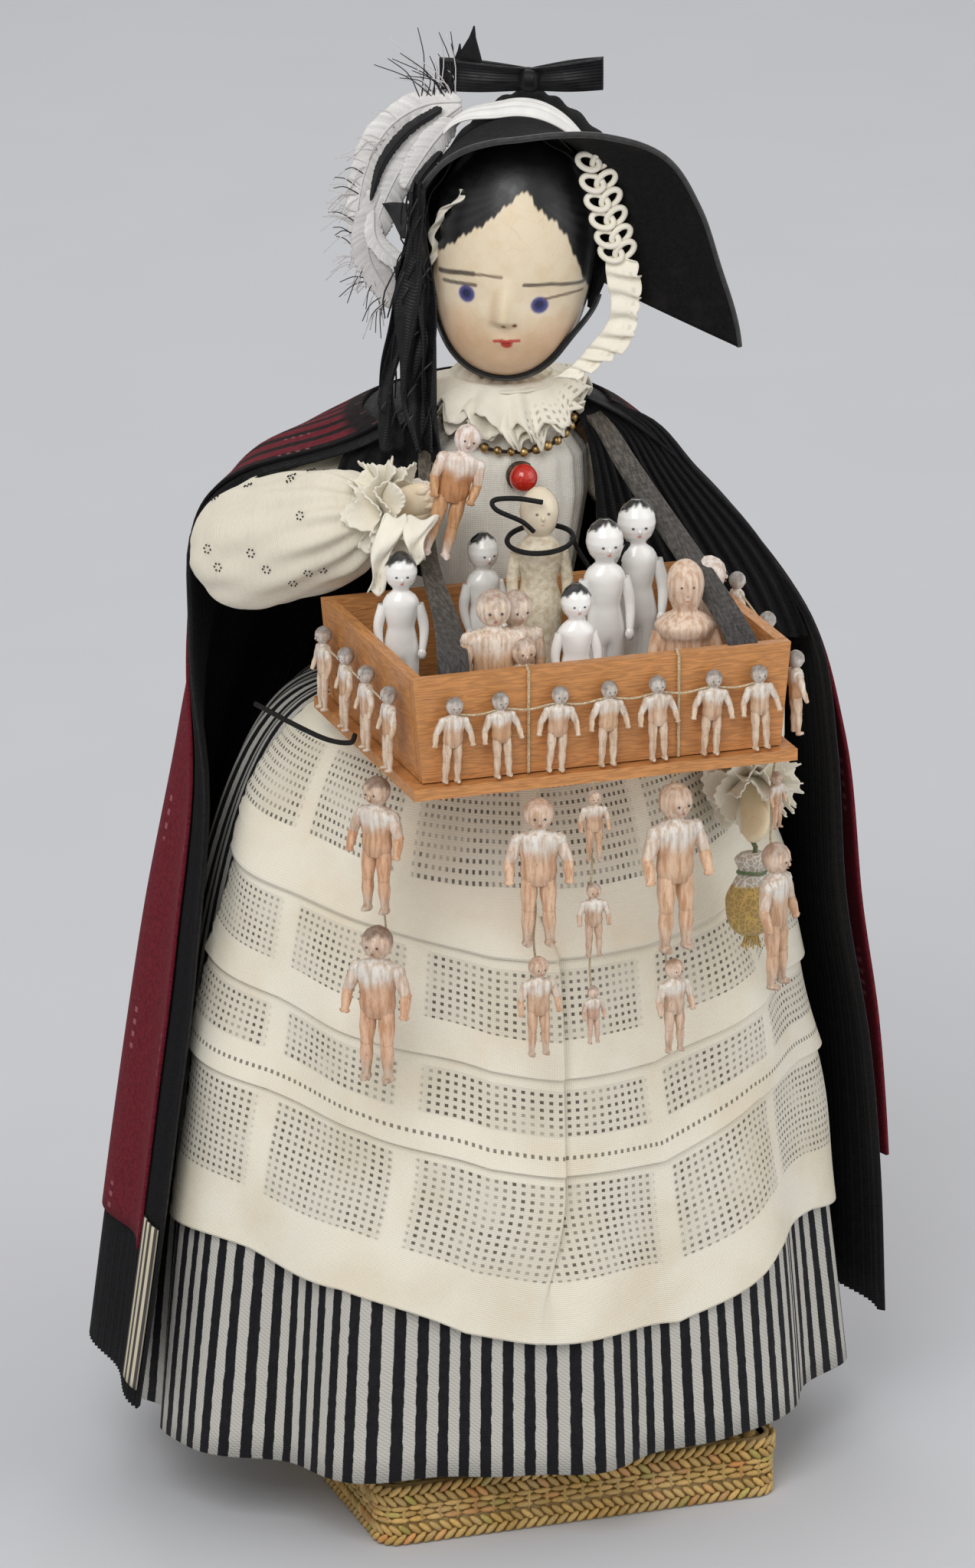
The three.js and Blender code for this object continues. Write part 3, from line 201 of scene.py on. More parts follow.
def turned_rings(stations, sides=16):
    """Rings of an upright turned piece; each station is height, half width, half depth."""
    return [ellipse((0, 0, z), (1, 0, 0), (0, 1, 0), half_width, half_depth, sides)
            for z, half_width, half_depth in stations]


def smooth_rings(stations, count, sides):
    """Rings of an upright piece on a smooth outline through a few stations."""
    return turned_rings([points_at(stations, np.array(share)) for share in np.linspace(0, 1, count)], sides)


def tube_rings(points, radii, sides=8):
    """Rings along a path, each kept from twisting against the last."""
    points = np.asarray(points, float)
    radii = np.broadcast_to(np.asarray(radii, float), len(points))
    headings = np.gradient(points, axis=0)
    first, second = across_of(headings[0])
    rings = []
    for point, heading, radius in zip(points, headings, radii):
        heading = unit(heading)
        first = unit(first - heading * np.dot(first, heading))
        second = np.cross(heading, first)
        rings.append(ellipse(point, first, second, radius, radius, sides))
    return rings


def ball_rings(centre, radii, sides=14, rows=9):
    rx, ry, rz = np.broadcast_to(np.asarray(radii, float), 3)
    angles = np.pi * np.linspace(0.03, 0.97, rows)
    return [ellipse(np.asarray(centre, float) - (0, 0, rz * np.cos(a)), (1, 0, 0), (0, 1, 0),
                    rx * np.sin(a), ry * np.sin(a), sides) for a in angles]


def pose(place, turn=0.0, lean=0.0):
    """A placing of small things: lean sideways, turn round, then move."""
    return np.array(Matrix.Translation(Vector(place)) @ (turned("Z", turn) @ turned("Y", lean)))


class Shape:
    """Faces of one piece, gathered in millimetres before they become a mesh."""

    def __init__(self, placing=None):
        self.points, self.tints, self.faces, self.uvs, self.kinds = [], [], [], [], []
        self.count = 0
        self.placing = np.eye(4) if placing is None else placing

    def add(self, points, faces, uvs, tint=WHITE, kind=0):
        points = np.asarray(points, float).reshape(-1, 3)
        self.points.append(points @ self.placing[:3, :3].T + self.placing[:3, 3])
        self.tints.append(np.broadcast_to(np.asarray(tint, float), points.shape))
        self.faces.extend([[corner + self.count for corner in face] for face in faces])
        self.uvs.append(np.asarray(uvs, float).reshape(-1, 2))
        self.kinds.extend([kind] * len(faces))
        self.count += len(points)

    def quads(self, points, where, tint, kind, wrap, caps=False):
        rows, columns = points.shape[0], points.shape[1]
        order = np.arange(columns + 1) % columns if wrap else np.arange(columns)
        index = np.arange(rows)[:, None] * columns + order[None, :]

        def corners(grid):
            return np.stack([grid[:-1, :-1], grid[:-1, 1:], grid[1:, 1:], grid[1:, :-1]], 2)

        faces = corners(index).reshape(-1, 4).tolist()
        uvs = corners(where).reshape(-1, 2)
        if caps:
            faces += [list(range(columns))[::-1], [(rows - 1) * columns + i for i in range(columns)]]
            uvs = np.vstack([uvs, where[0, :columns][::-1], where[-1, :columns]])
        self.add(points, faces, uvs, tint, kind)

    def grid(self, surface, across, down, wrap=False, tint=WHITE, kind=0, size=(1, 1), uv=None, rows=None):
        """A sheet given as points at (u, v) from 0 to 1."""
        down_shares = np.linspace(0, 1, down + 1) if rows is None else np.asarray(rows, float)
        u, v = np.meshgrid(np.linspace(0, 1, across + 1), down_shares)
        points = surface(u, v)
        where = np.stack(np.broadcast_arrays(*(uv(u, v) if uv else (u * size[0], v * size[1]))), -1)
        tints = np.stack(np.broadcast_arrays(*tint(u, v)), -1) if callable(tint) else np.asarray(tint, float)
        if wrap:
            points = points[:, :-1]
            tints = tints[:, :-1] if tints.ndim == 3 else tints
        self.quads(points, where, tints.reshape(-1, 3) if tints.ndim == 3 else tints, kind, wrap)

    def loft(self, rings, tint=WHITE, kind=0, caps=True, length=1.0):
        """A tube through rings with the same number of points."""
        rings = np.asarray(rings, float)
        count, sides = rings.shape[0], rings.shape[1]
        u, v = np.meshgrid(np.linspace(0, 1, sides + 1), np.linspace(0, length, count))
        tint = np.asarray(tint, float)
        if tint.ndim == 2:
            tint = np.repeat(tint[:, None], sides, 1)
        self.quads(rings, np.stack([u, v], -1), tint.reshape(-1, 3) if tint.ndim == 3 else tint, kind, True,
                   caps)

    def ball(self, centre, radii, tint=WHITE, kind=0, sides=12, rows=7):
        self.loft(ball_rings(centre, radii, sides, rows), tint, kind)

    def tube(self, points, radii, tint=WHITE, kind=0, sides=6):
        self.loft(tube_rings(points, radii, sides), tint, kind)

    def path(self, points, count, radii, tint=WHITE, kind=0, sides=6):
        """A tube on a smooth curve through a few points."""
        self.tube(points_at(points, np.linspace(0, 1, count)), radii, tint, kind, sides)

    def build(self, name, finishes, thickness=0.0, crease=50.0):
        points = np.vstack(self.points) * MM
        mesh = bpy.data.meshes.new(name)
        mesh.from_pydata(points.tolist(), [], self.faces)
        mesh.uv_layers.new(name="cloth").data.foreach_set("uv", np.vstack(self.uvs).ravel())
        colours = np.hstack([np.vstack(self.tints), np.ones((len(points), 1))])
        mesh.color_attributes.new("tint", "FLOAT_COLOR", "POINT").data.foreach_set("color", colours.ravel())
        mesh.polygons.foreach_set("material_index", self.kinds)
        for one in finishes:
            mesh.materials.append(finish(one))
        work = bmesh.new()
        work.from_mesh(mesh)
        bmesh.ops.recalc_face_normals(work, faces=work.faces)
        work.to_mesh(mesh)
        work.free()
        mesh.shade_smooth()
        mesh.set_sharp_from_angle(angle=math.radians(crease))
        piece = bpy.data.objects.new(name, mesh)
        bpy.context.scene.collection.objects.link(piece)
        if thickness:
            solidify = piece.modifiers.new("Cloth thickness", "SOLIDIFY")
            solidify.thickness = thickness * MM
            solidify.offset = 0
        return piece


def settled(piece):
    """Bakes the modifiers of a piece into its mesh."""
    view = bpy.context.evaluated_depsgraph_get()
    mesh = bpy.data.meshes.new_from_object(piece.evaluated_get(view))
    piece.modifiers.clear()
    piece.data = mesh
    return piece


def dress(piece, body, slot, *nodes):
    """Makes a piece ride on a body in place of CAD nodes."""
    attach(piece, body)
    if nodes:
        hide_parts(*nodes)
    return piece


class Finish:
    """One procedural finish under construction."""

    def __init__(self, name):
        self.material = bpy.data.materials.new(name)
        self.material.use_nodes = True
        self.nodes = self.material.node_tree.nodes
        self.links = self.material.node_tree.links
        self.shader = self.nodes["Principled BSDF"]

    def put(self, socket, value):
        if isinstance(value, bpy.types.NodeSocket):
            self.links.new(value, socket)
        elif socket.type == "RGBA" and len(value) == 3:
            socket.default_value = (*value, 1)
        else:
            socket.default_value = value

    def set(self, **sockets):
        for name, value in sockets.items():
            self.put(self.shader.inputs[name.replace("_", " ")], value)

    def node(self, kind, *inputs, **settings):
        node = self.nodes.new("ShaderNode" + kind)
        for key, value in settings.items():
            setattr(node, key, value)
        for socket, value in zip(node.inputs, inputs):
            if value is not None:
                self.put(socket, value)
        return node

    def math(self, operation, *inputs):
        return self.node("Math", *inputs, operation=operation).outputs[0]

    def times(self, first, second):
        return self.math("MULTIPLY", first, second)

    def plus(self, first, second):
        return self.math("ADD", first, second)

    def mix(self, share, first, second):
        node = self.node("Mix", data_type="RGBA")
        self.put(node.inputs[0], share)
        self.put(node.inputs[6], first)
        self.put(node.inputs[7], second)
        return node.outputs[2]

    def tint(self):
        return self.node("Attribute", attribute_name="tint").outputs["Color"]

    def tinted(self, colour, share=1.0):
        """A colour multiplied by the tint of the piece."""
        node = self.node("Mix", data_type="RGBA", blend_type="MULTIPLY")
        self.put(node.inputs[0], share)
        self.put(node.inputs[6], colour)
        self.put(node.inputs[7], self.tint())
        return node.outputs[2]

    def place(self, stretch=(1, 1, 1)):
        """Object coordinates in millimetres, each axis scaled."""
        spot = self.node("TexCoord").outputs["Object"]
        scale = tuple(1000 * value for value in stretch)
        return self.node("VectorMath", spot, scale, operation="MULTIPLY").outputs[0]

    def noise(self, scale, detail=3.0, stretch=(1, 1, 1), vector=None):
        node = self.node("TexNoise", vector or self.place(stretch))
        self.put(node.inputs["Scale"], scale)
        self.put(node.inputs["Detail"], detail)
        return node.outputs["Fac"]

    def cloth(self):
        """The sheet's own coordinates across and down, in millimetres."""
        split = self.node("SeparateXYZ", self.node("TexCoord").outputs["UV"])
        return split.outputs[0], split.outputs[1]

    def ramp(self, value, low, high, to_low=0.0, to_high=1.0):
        node = self.node("MapRange", value, low, high, to_low, to_high, interpolation_type="SMOOTHSTEP")
        return node.outputs[0]

    def cycle(self, value, period):
        return self.math("FRACT", self.math("DIVIDE", value, period))

    def thread(self, value, period):
        """A smooth 0 to 1 wave of one thread."""
        turn = self.math("MULTIPLY", value, 2 * math.pi / period)
        return self.math("MULTIPLY_ADD", self.math("SINE", turn), 0.5, 0.5)

    def relief(self, height, strength, distance):
        node = self.node("Bump")
        self.put(node.inputs["Strength"], strength)
        self.put(node.inputs["Distance"], distance * MM)
        self.put(node.inputs["Height"], height)
        self.put(self.shader.inputs["Normal"], node.outputs[0])

    def rough(self, low, high, scale=0.6):
        self.set(Roughness=self.ramp(self.noise(scale), 0.3, 0.7, low, high))

    def mottled(self, noise, ramp, first, second, rough, relief, **sockets):
        """Two colours in a noise that also raises the surface."""
        grain = self.noise(*noise)
        self.set(Base_Color=self.mix(self.ramp(grain, *ramp), first, second), **sockets)
        self.rough(*rough)
        self.relief(grain, *relief)

    def weave(self, pitch):
        across, down = self.cloth()
        return self.math("ADD", self.thread(across, pitch), self.thread(down, pitch))


def colours():
    return bpy.context.scene.pedlar_colours


def sizes():
    return bpy.context.scene.pedlar_sizes


def shade(colour, factor):
    return tuple(min(1.0, value * factor) for value in colour)


def finish(maker):
    """The material made by one of the functions below, made once."""
    name = maker.__name__
    known = bpy.data.materials.get(name)
    if known is None:
        made = Finish(name)
        maker(made)
        known = made.material
    return known


def plaited_straw(f):
    streak = f.noise(2.2, 4)
    blotch = f.ramp(f.noise(0.12), 0.35, 0.7)
    colour = f.mix(f.ramp(streak, 0.3, 0.75, 0.0, 0.4), f.tint(), shade(colours().straw, 0.5))
    f.set(Base_Color=f.mix(f.times(blotch, 0.35), colour, (0.72, 0.55, 0.27)), Coat_Weight=0.12)
    f.rough(0.38, 0.62, 1.5)
    f.relief(streak, 0.35, 0.25)


def striped_cotton(f):
    across, down = f.cloth()
    wander = f.times(f.noise(0.5), 0.5)
    phase = f.cycle(f.plus(across, wander), sizes().stripe_width / MM * 2)
    dark = f.math("SUBTRACT", f.ramp(phase, 0.02, 0.07), f.ramp(phase, 0.52, 0.57))
    twill = f.thread(f.plus(across, f.times(down, 1.3)), 1.05)
    fleck = f.ramp(f.noise(3.0, 4), 0.45, 0.7)
    pale = f.mix(f.times(twill, 0.4), colours().stripe_pale, shade(colours().stripe_pale, 0.5))
    black = f.mix(f.times(fleck, 0.5), colours().stripe_dark, shade(colours().stripe_dark, 2.4))
    f.set(Base_Color=f.mix(dark, pale, black), Sheen_Weight=0.03, Specular_IOR_Level=0.25)
    f.rough(0.72, 0.9)
    f.relief(f.plus(twill, f.weave(0.5)), 0.35, 0.12)


def plain_linen(f):
    stain = f.ramp(f.noise(0.07, 4), 0.4, 0.75)
    slub = f.noise(1.4, 3, (1, 1, 0.25))
    colour = f.mix(f.times(stain, 0.4), colours().linen, shade(colours().linen, 0.82))
    colour = f.mix(f.ramp(slub, 0.4, 0.8, 0.0, 0.2), colour, shade(colours().linen, 0.65))
    f.set(Base_Color=f.tinted(colour), Sheen_Weight=0.1)
    f.rough(0.75, 0.92)
    f.relief(f.plus(f.weave(0.42), slub), 0.4, 0.12)


def drawn_muslin(f):
    across, down = f.cloth()
    pitch = sizes().drawn_pitch / MM
    holes = f.times(f.ramp(f.thread(across, pitch), 0.52, 0.74), f.ramp(f.thread(down, pitch), 0.52, 0.74))
    split = f.node("SeparateColor", f.tint())
    strip = f.ramp(f.thread(across, 29.0), 0.02, 0.10)
    window = f.times(split.outputs[0], strip)
    worn = f.ramp(f.noise(0.16, 3), 0.3, 0.62, 0.35, 1.0)
    dots = f.times(f.times(holes, window), worn)
    stain = f.ramp(f.noise(0.06, 4), 0.38, 0.72)
    cloth = f.mix(f.times(stain, 0.5), colours().muslin, (0.74, 0.62, 0.43))
    sheer = f.mix(f.times(window, 0.35), cloth, shade(colours().muslin, 0.62))
    stitch = f.times(f.times(f.ramp(f.thread(across, 1.25), 0.5, 0.7), split.outputs[1]), 0.8)
    # The openwork holes are painted dark brown as the shade and dark skirt seen through them; the stitched
    # rows are dark thread.
    hole_shade_and_stitches = f.math("MAXIMUM", f.times(dots, 0.95), stitch)
    f.set(Base_Color=f.mix(hole_shade_and_stitches, sheer, (0.085, 0.07, 0.05)), Sheen_Weight=0.08)
    f.rough(0.78, 0.93)
    f.relief(f.math("SUBTRACT", f.weave(0.4), f.times(hole_shade_and_stitches, 3.0)), 0.45, 0.12)


def cream_lace(f):
    across, down = f.cloth()
    eye = f.times(f.ramp(f.thread(across, 1.5), 0.55, 0.8), f.ramp(f.thread(down, 1.5), 0.55, 0.8))
    split = f.node("SeparateColor", f.tint())
    eye = f.times(eye, split.outputs[0])
    stain = f.ramp(f.noise(0.2, 3), 0.35, 0.7)
    colour = f.mix(f.times(stain, 0.3), colours().lace, shade(colours().lace, 0.74))
    # The lace's eyes are painted dark brown as the shade seen through them.
    f.set(Base_Color=f.mix(f.times(eye, 0.55), colour, (0.22, 0.18, 0.12)))
    f.rough(0.75, 0.92)
    f.relief(f.math("SUBTRACT", f.noise(2.6, 3), eye), 0.5, 0.25)


def red_wool_painted_shade(f):
    across, down = f.cloth()
    from_edge = f.math("MINIMUM", across, f.math("SUBTRACT", 330.0, across))
    twill = f.thread(f.plus(across, down), 0.7)
    fibre = f.noise(1.6, 5)
    red = f.mix(f.ramp(fibre, 0.3, 0.75), colours().red_wool, shade(colours().red_wool, 0.5))
    wander = f.times(f.noise(0.12, 2), 9.0)
    # Dark bands over the shoulders and the dark top by the neck are painted shade in the cape's gathers.
    band = f.ramp(f.thread(f.plus(from_edge, f.times(wander, 0.3)), 14.0), 0.58, 0.7)
    shoulder = f.ramp(f.plus(down, wander), 80.0, 104.0, 1.0, 0.0)
    neck = f.ramp(f.plus(down, wander), 18.0, 28.0, 1.0, 0.0)
    dark = f.math("MAXIMUM", f.times(band, shoulder), neck)
    colour = f.mix(dark, red, colours().black_silk)
    line = f.math("ABSOLUTE", f.math("SUBTRACT", f.cycle(from_edge, 23.0), 0.17))
    dash = f.times(f.ramp(line, 0.03, 0.045, 1.0, 0.0), f.ramp(f.thread(down, 1.9), 0.55, 0.7))
    dash = f.times(dash, f.ramp(f.thread(f.plus(down, wander), 31.0), 0.82, 0.9))
    f.set(Base_Color=f.mix(f.times(dash, 0.45), colour, (0.5, 0.2, 0.22)), Sheen_Weight=0.03)
    f.set(Sheen_Tint=(0.7, 0.25, 0.25), Specular_IOR_Level=0.2)
    f.rough(0.82, 0.96)
    f.relief(f.plus(f.times(twill, 0.5), fibre), 0.5, 0.2)


def pleated_black(f):
    fibre = f.noise(2.0, 4)
    f.set(Base_Color=f.mix(f.ramp(fibre, 0.35, 0.75), colours().black_silk, shade(colours().black_silk, 1.8)))
    f.set(Sheen_Weight=0.03, Specular_IOR_Level=0.18)
    f.rough(0.5, 0.75, 1.0)
    f.relief(f.plus(f.weave(0.5), fibre), 0.3, 0.12)


def trimming_strip(f):
    across, _ = f.cloth()
    stripe = f.ramp(f.thread(across, 3.2), 0.4, 0.6)
    f.set(Base_Color=f.mix(stripe, (0.66, 0.58, 0.42), (0.05, 0.045, 0.045)))
    f.rough(0.75, 0.9)
    f.relief(f.noise(2.0, 3), 0.4, 0.2)


def black_felt(f):
    fibre = f.noise(1.8, 6)
    wear = f.ramp(f.noise(0.18, 3), 0.5, 0.75)
    colour = f.mix(f.ramp(fibre, 0.35, 0.75), colours().felt, shade(colours().felt, 1.9))
    f.set(Base_Color=f.mix(f.times(wear, 0.35), colour, (0.022, 0.019, 0.018)))
    f.set(Sheen_Weight=0.04, Sheen_Tint=(0.35, 0.35, 0.38), Specular_IOR_Level=0.15)
    f.rough(0.8, 0.95, 1.0)
    f.relief(fibre, 0.6, 0.3)


def white_satin(f):
    _, down = f.cloth()
    rib = f.thread(down, 0.35)
    crease = f.noise(0.5, 3, (1, 1, 0.4))
    stain = f.ramp(crease, 0.35, 0.7)
    f.set(Base_Color=f.mix(f.times(stain, 0.3), colours().white_satin, shade(colours().white_satin, 0.75)))
    f.set(Sheen_Weight=0.25)
    f.rough(0.32, 0.5)
    f.relief(f.plus(f.times(rib, 0.3), crease), 0.35, 0.2)


def black_ribbon(f):
    _, down = f.cloth()
    rib = f.thread(down, 0.6)
    cloud = f.noise(0.9, 3)
    f.set(Base_Color=f.mix(f.ramp(cloud, 0.35, 0.7), colours().black_silk, shade(colours().black_silk, 1.8)))
    f.set(Sheen_Weight=0.03, Specular_IOR_Level=0.25)
    f.rough(0.36, 0.56)
    f.relief(f.plus(rib, cloud), 0.3, 0.12)


def worn_binding(f):
    rub = f.noise(0.7, 4)
    f.set(Base_Color=f.tinted(f.mix(f.ramp(rub, 0.35, 0.7), (0.5, 0.5, 0.5), WHITE)), Sheen_Weight=0.2)
    f.rough(0.5, 0.7)
    f.relief(rub, 0.3, 0.15)


def soft_feather(f):
    f.mottled((3.0, 3), (0.4, 0.8, 0.0, 0.12), f.tint(), (0.02, 0.02, 0.02), (0.6, 0.8), (0.25, 0.12),
              Sheen_Weight=0.02)


def cedar_grain(f, stretch):
    rings = f.noise(0.42, 5, stretch)
    figure = f.thread(rings, 0.085)
    pores = f.noise(3.2, 2, stretch)
    colour = f.mix(f.times(figure, 0.6), colours().cedar, shade(colours().cedar, 0.55))
    colour = f.mix(f.ramp(pores, 0.55, 0.8, 0.0, 0.55), colour, shade(colours().cedar, 0.28))
    grime = f.ramp(f.noise(0.1, 4), 0.5, 0.8)
    f.set(Base_Color=f.mix(f.times(grime, 0.35), colour, shade(colours().cedar, 0.4)), Coat_Weight=0.08)
    f.rough(0.42, 0.66)
    f.relief(f.plus(figure, pores), 0.25, 0.15)


def cedar_long(f):
    cedar_grain(f, (0.1, 1, 1))


def cedar_end(f):
    cedar_grain(f, (1, 0.1, 1))


def tray_lining(f):
    f.mottled((2.0, 4), (0.3, 0.75), (0.012, 0.032, 0.018), (0.03, 0.06, 0.035), (0.8, 0.95), (0.5, 0.2))


def worn_strap(f):
    fibre = f.noise(2.4, 4, (1, 0.22, 0.3))
    streak = f.mix(f.ramp(fibre, 0.35, 0.7), (0.55, 0.55, 0.55), (1.5, 1.5, 1.5))
    f.set(Base_Color=f.tinted(streak), Sheen_Weight=0.08, Specular_IOR_Level=0.3)
    f.rough(0.55, 0.78)
    f.relief(f.plus(f.weave(0.6), fibre), 0.35, 0.15)


def waxed_thread(f):
    ply = f.noise(4.0, 3)
    f.set(Base_Color=f.tinted(f.mix(f.ramp(ply, 0.3, 0.7), WHITE, (0.5, 0.45, 0.4))), Specular_IOR_Level=0.25)
    f.rough(0.6, 0.8)
    f.relief(ply, 0.5, 0.12)


def aged_brass(f):
    tarnish = f.ramp(f.noise(0.9, 4), 0.35, 0.7)
    f.set(Base_Color=f.mix(tarnish, (0.62, 0.42, 0.16), (0.17, 0.10, 0.045)), Metallic=0.85)
    f.rough(0.26, 0.5, 1.2)
    f.relief(f.noise(2.5, 3), 0.2, 0.1)


def red_glass(f):
    f.mottled((0.8, 3), (0.3, 0.7), (0.50, 0.012, 0.010), (0.66, 0.04, 0.02), (0.1, 0.2, 1.0), (0.08, 0.1),
              Coat_Weight=0.7)


def dark_mount(f):
    f.mottled((1.5, 4), (0.35, 0.7), (0.05, 0.035, 0.025), (0.14, 0.09, 0.05), (0.4, 0.6, 1.2), (0.2, 0.1),
              Metallic=0.6)


def painted_face(f):
    mottle = f.noise(0.35, 4)
    shadow = f.mix(f.ramp(mottle, 0.35, 0.75, 0.0, 0.35), WHITE, (0.86, 0.72, 0.52))
    grime = f.ramp(f.noise(0.13, 5), 0.52, 0.8, 0.0, 0.22)
    shadow = f.mix(grime, shadow, (0.6, 0.5, 0.38))
    crackle = f.node("TexVoronoi", f.place(), feature="DISTANCE_TO_EDGE")
    f.put(crackle.inputs["Scale"], 0.22)
    line = f.ramp(crackle.outputs["Distance"], 0.0, 0.012, 0.14, 0.0)
    f.set(Base_Color=f.tinted(f.mix(line, shadow, (0.4, 0.3, 0.2))), Coat_Weight=0.15, Coat_Roughness=0.35)
    f.rough(0.34, 0.5, 0.4)
    f.relief(f.plus(mottle, f.noise(1.6, 3)), 0.12, 0.25)


def glazed_china(f):
    f.mottled((0.4, 3), (0.4, 0.8, 0.0, 0.1), f.tint(), (0.5, 0.46, 0.4), (0.14, 0.26, 0.8), (0.06, 0.2),
              Coat_Weight=0.5)


def toy_wood(f):
    grain = f.noise(1.3, 4, (1, 1, 0.16))
    pore = f.noise(4.5, 2, (1, 1, 0.3))
    shadow = f.mix(f.ramp(grain, 0.35, 0.7, 0.0, 0.8), WHITE, (0.62, 0.45, 0.32))
    shadow = f.mix(f.ramp(pore, 0.58, 0.8, 0.0, 0.7), shadow, (0.34, 0.22, 0.14))
    f.set(Base_Color=f.tinted(shadow), Coat_Weight=0.08)
    f.rough(0.4, 0.62, 1.2)
    f.relief(f.plus(grain, pore), 0.25, 0.15)


def carved_wood(f):
    f.mottled((0.6, 5, (1, 1, 0.12)), (0.3, 0.75), (0.45, 0.25, 0.11), (0.25, 0.12, 0.05), (0.5, 0.7),
              (0.3, 0.2))


def kid_leather(f):
    f.mottled((0.9, 5), (0.35, 0.75, 0.0, 0.6), f.tint(), (0.44, 0.31, 0.17), (0.55, 0.75), (0.5, 0.4),
              Sheen_Weight=0.1)


def purse_silk(f):
    net = f.node("TexVoronoi", f.place(), feature="DISTANCE_TO_EDGE")
    f.put(net.inputs["Scale"], 0.9)
    mesh = f.ramp(net.outputs["Distance"], 0.04, 0.14)
    f.set(Base_Color=f.mix(f.times(mesh, 0.55), f.tint(), (0.2, 0.13, 0.05)), Sheen_Weight=0.2)
    f.rough(0.4, 0.6)
    f.relief(mesh, 0.5, 0.2)


def studio_floor(f):
    speck = f.noise(0.02, 2)
    f.set(Base_Color=f.mix(f.ramp(speck, 0.3, 0.7), colours().floor, shade(colours().floor, 0.985)))
    f.set(Roughness=0.9, Specular_IOR_Level=0.1)


# Straw base
def base_outline():
    """Points, outward directions and running lengths round the base's rounded outline."""
    points, outward = [], []
    for quarter, (sx, sy) in enumerate([(1, 1), (-1, 1), (-1, -1), (1, -1)]):
        for k in range(25):
            angle = (quarter + k / 24) * math.pi / 2
            points.append((sx * (BASE_WIDTH / 2 - BASE_CORNER) + BASE_CORNER * math.cos(angle),
                           sy * (BASE_DEPTH / 2 - BASE_CORNER) + BASE_CORNER * math.sin(angle)))
            outward.append((math.cos(angle), math.sin(angle)))
    points.append(points[0])
    outward.append(outward[0])
    points, outward = np.array(points), np.array(outward)
    return points, outward, running(points)


def straw_strand(shape, centre, heading, normal, length, width, depth, tint):
    """One lens-shaped length of straw lying on a surface."""
    side = np.cross(normal, heading)
    rings = []
    for share, full in ((-1, 0.3), (-0.6, 0.85), (0, 1), (0.6, 0.85), (1, 0.3)):
        middle = centre + heading * (share * length / 2)
        rings.append(ellipse(middle, side, normal, full * width / 2, full * depth / 2, 6))
    shape.loft(rings, tint)


def straw_tints(count, seed):
    picks = np.random.default_rng(seed)
    base = np.array(colours().straw)
    tints = base * picks.uniform(0.72, 1.25, (count, 1))
    stray = picks.random(count)
    tints[stray > 0.93] *= (1.0, 0.72, 0.75)
    tints[stray < 0.05] *= (0.72, 0.95, 0.7)
    return np.clip(tints, 0, 1)


def make_straw_base():
    points, outward, run = base_outline()
    total = run[-1]

    def edge(length, out, z):
        length = length % total
        spot = np.array([np.interp(length, run, points[:, k]) for k in (0, 1)])
        normal = unit([np.interp(length, run, outward[:, k]) for k in (0, 1)])
        return np.array((*(spot + normal * out), z)), np.array((*normal, 0.0))

    band = Shape()
    ring = points[:-1]
    inner = [np.column_stack([ring - outward[:-1] * inset, np.full(len(ring), z)])
             for z, inset in ((0.0, 1.3), (BASE_HEIGHT - 0.2, 1.3), (BASE_HEIGHT - 0.2, 2.2))]
    band.loft(inner, shade(colours().straw, 0.5), caps=False)
    up = np.array((0, 0, 1.0))
    rows = [("plait", 2.25, 0.0), ("basket", 6.4, 0.0), ("plait", 10.35, 0.35)]
    for number, (style, middle, out) in enumerate(rows):
        if style == "plait":
            count = int(total / 2.05)
            tints = straw_tints(2 * count, 10 + number)
            for k in range(2 * count):
                above = k % 2
                spot, normal = edge((k // 2 + 0.5 * above) * total / count, -0.75 + out,
                                    middle + (0.98 if above else -0.98))
                level = np.cross(up, normal)
                slope = math.radians(40 if above else -40)
                heading = level * math.cos(slope) + up * math.sin(slope) * (1 if number else -1)
                straw_strand(band, spot, heading, normal, 3.1, 1.35, 1.15, tints[k])
        else:
            count = int(total / 3.6)
            for line in range(3):
                tints = straw_tints(count, 30 + line)
                for k in range(count):
                    spot, normal = edge((k + 0.5 * (line % 2)) * total / count, -0.85,
                                        middle + (line - 1) * 1.2)
                    straw_strand(band, spot, np.cross(up, normal), normal, 3.5, 1.3, 1.0, tints[k])
            tints = straw_tints(count, 40)
            for k in range(count):
                spot, normal = edge((k + 0.25) * total / count, -0.75, middle)
                straw_strand(band, spot, up, normal, 4.2, 0.8, 0.8, tints[k] * 0.85)
    dress(band.build("straw_plaits", [plaited_straw], crease=180), "figure", "straw", "straw_band")

    mat = Shape()
    half_x, half_y, rows_across = BASE_WIDTH / 2 - 2.9, BASE_DEPTH / 2 - 2.9, 18
    pitch = 2 * half_x / rows_across
    mat.grid(lambda u, v: xyz(lerp(-half_x, half_x, u), lerp(-half_y, half_y, v), 0 * u + BASE_HEIGHT - 1.1),
             4, 4, tint=shade(colours().straw, 0.55))
    for row in range(rows_across):
        strands = int(2 * half_y / 4.2)
        tints = straw_tints(strands, 60 + row)
        for k in range(strands):
            spot = np.array((-half_x + (row + 0.5) * pitch, -half_y + (k + 0.5) * 2 * half_y / strands,
                             BASE_HEIGHT - 0.75))
            slope = math.radians(35 if row % 2 else -35)
            straw_strand(mat, spot, np.array((math.sin(slope), math.cos(slope), 0)), up, 4.9, 2.6, 1.2,
                         tints[k])
    dress(mat.build("straw_mat", [plaited_straw], crease=180), "figure", "straw", "straw_top_mat")


# Skirt, petticoat and apron
def on_bell(degrees, drop, offset=0.0, lift=0.0):
    """A point on the skirt's bell."""
    fold = np.cos(np.radians(SKIRT_FOLDS * degrees)) * SKIRT_FOLD_DEPTH * (0.15 + 0.85 * drop)
    fullness = drop**0.25
    radius = WAIST_RADIUS + (HEM_RADIUS - WAIST_RADIUS) * fullness + fold + offset
    point = around(degrees, radius, WAIST - drop * (WAIST - HEM_HEIGHT) + lift)
    point[..., 1] *= lerp(1, HEM_FLATNESS, fullness)
    return point + (DOLL_X, 0, 0)


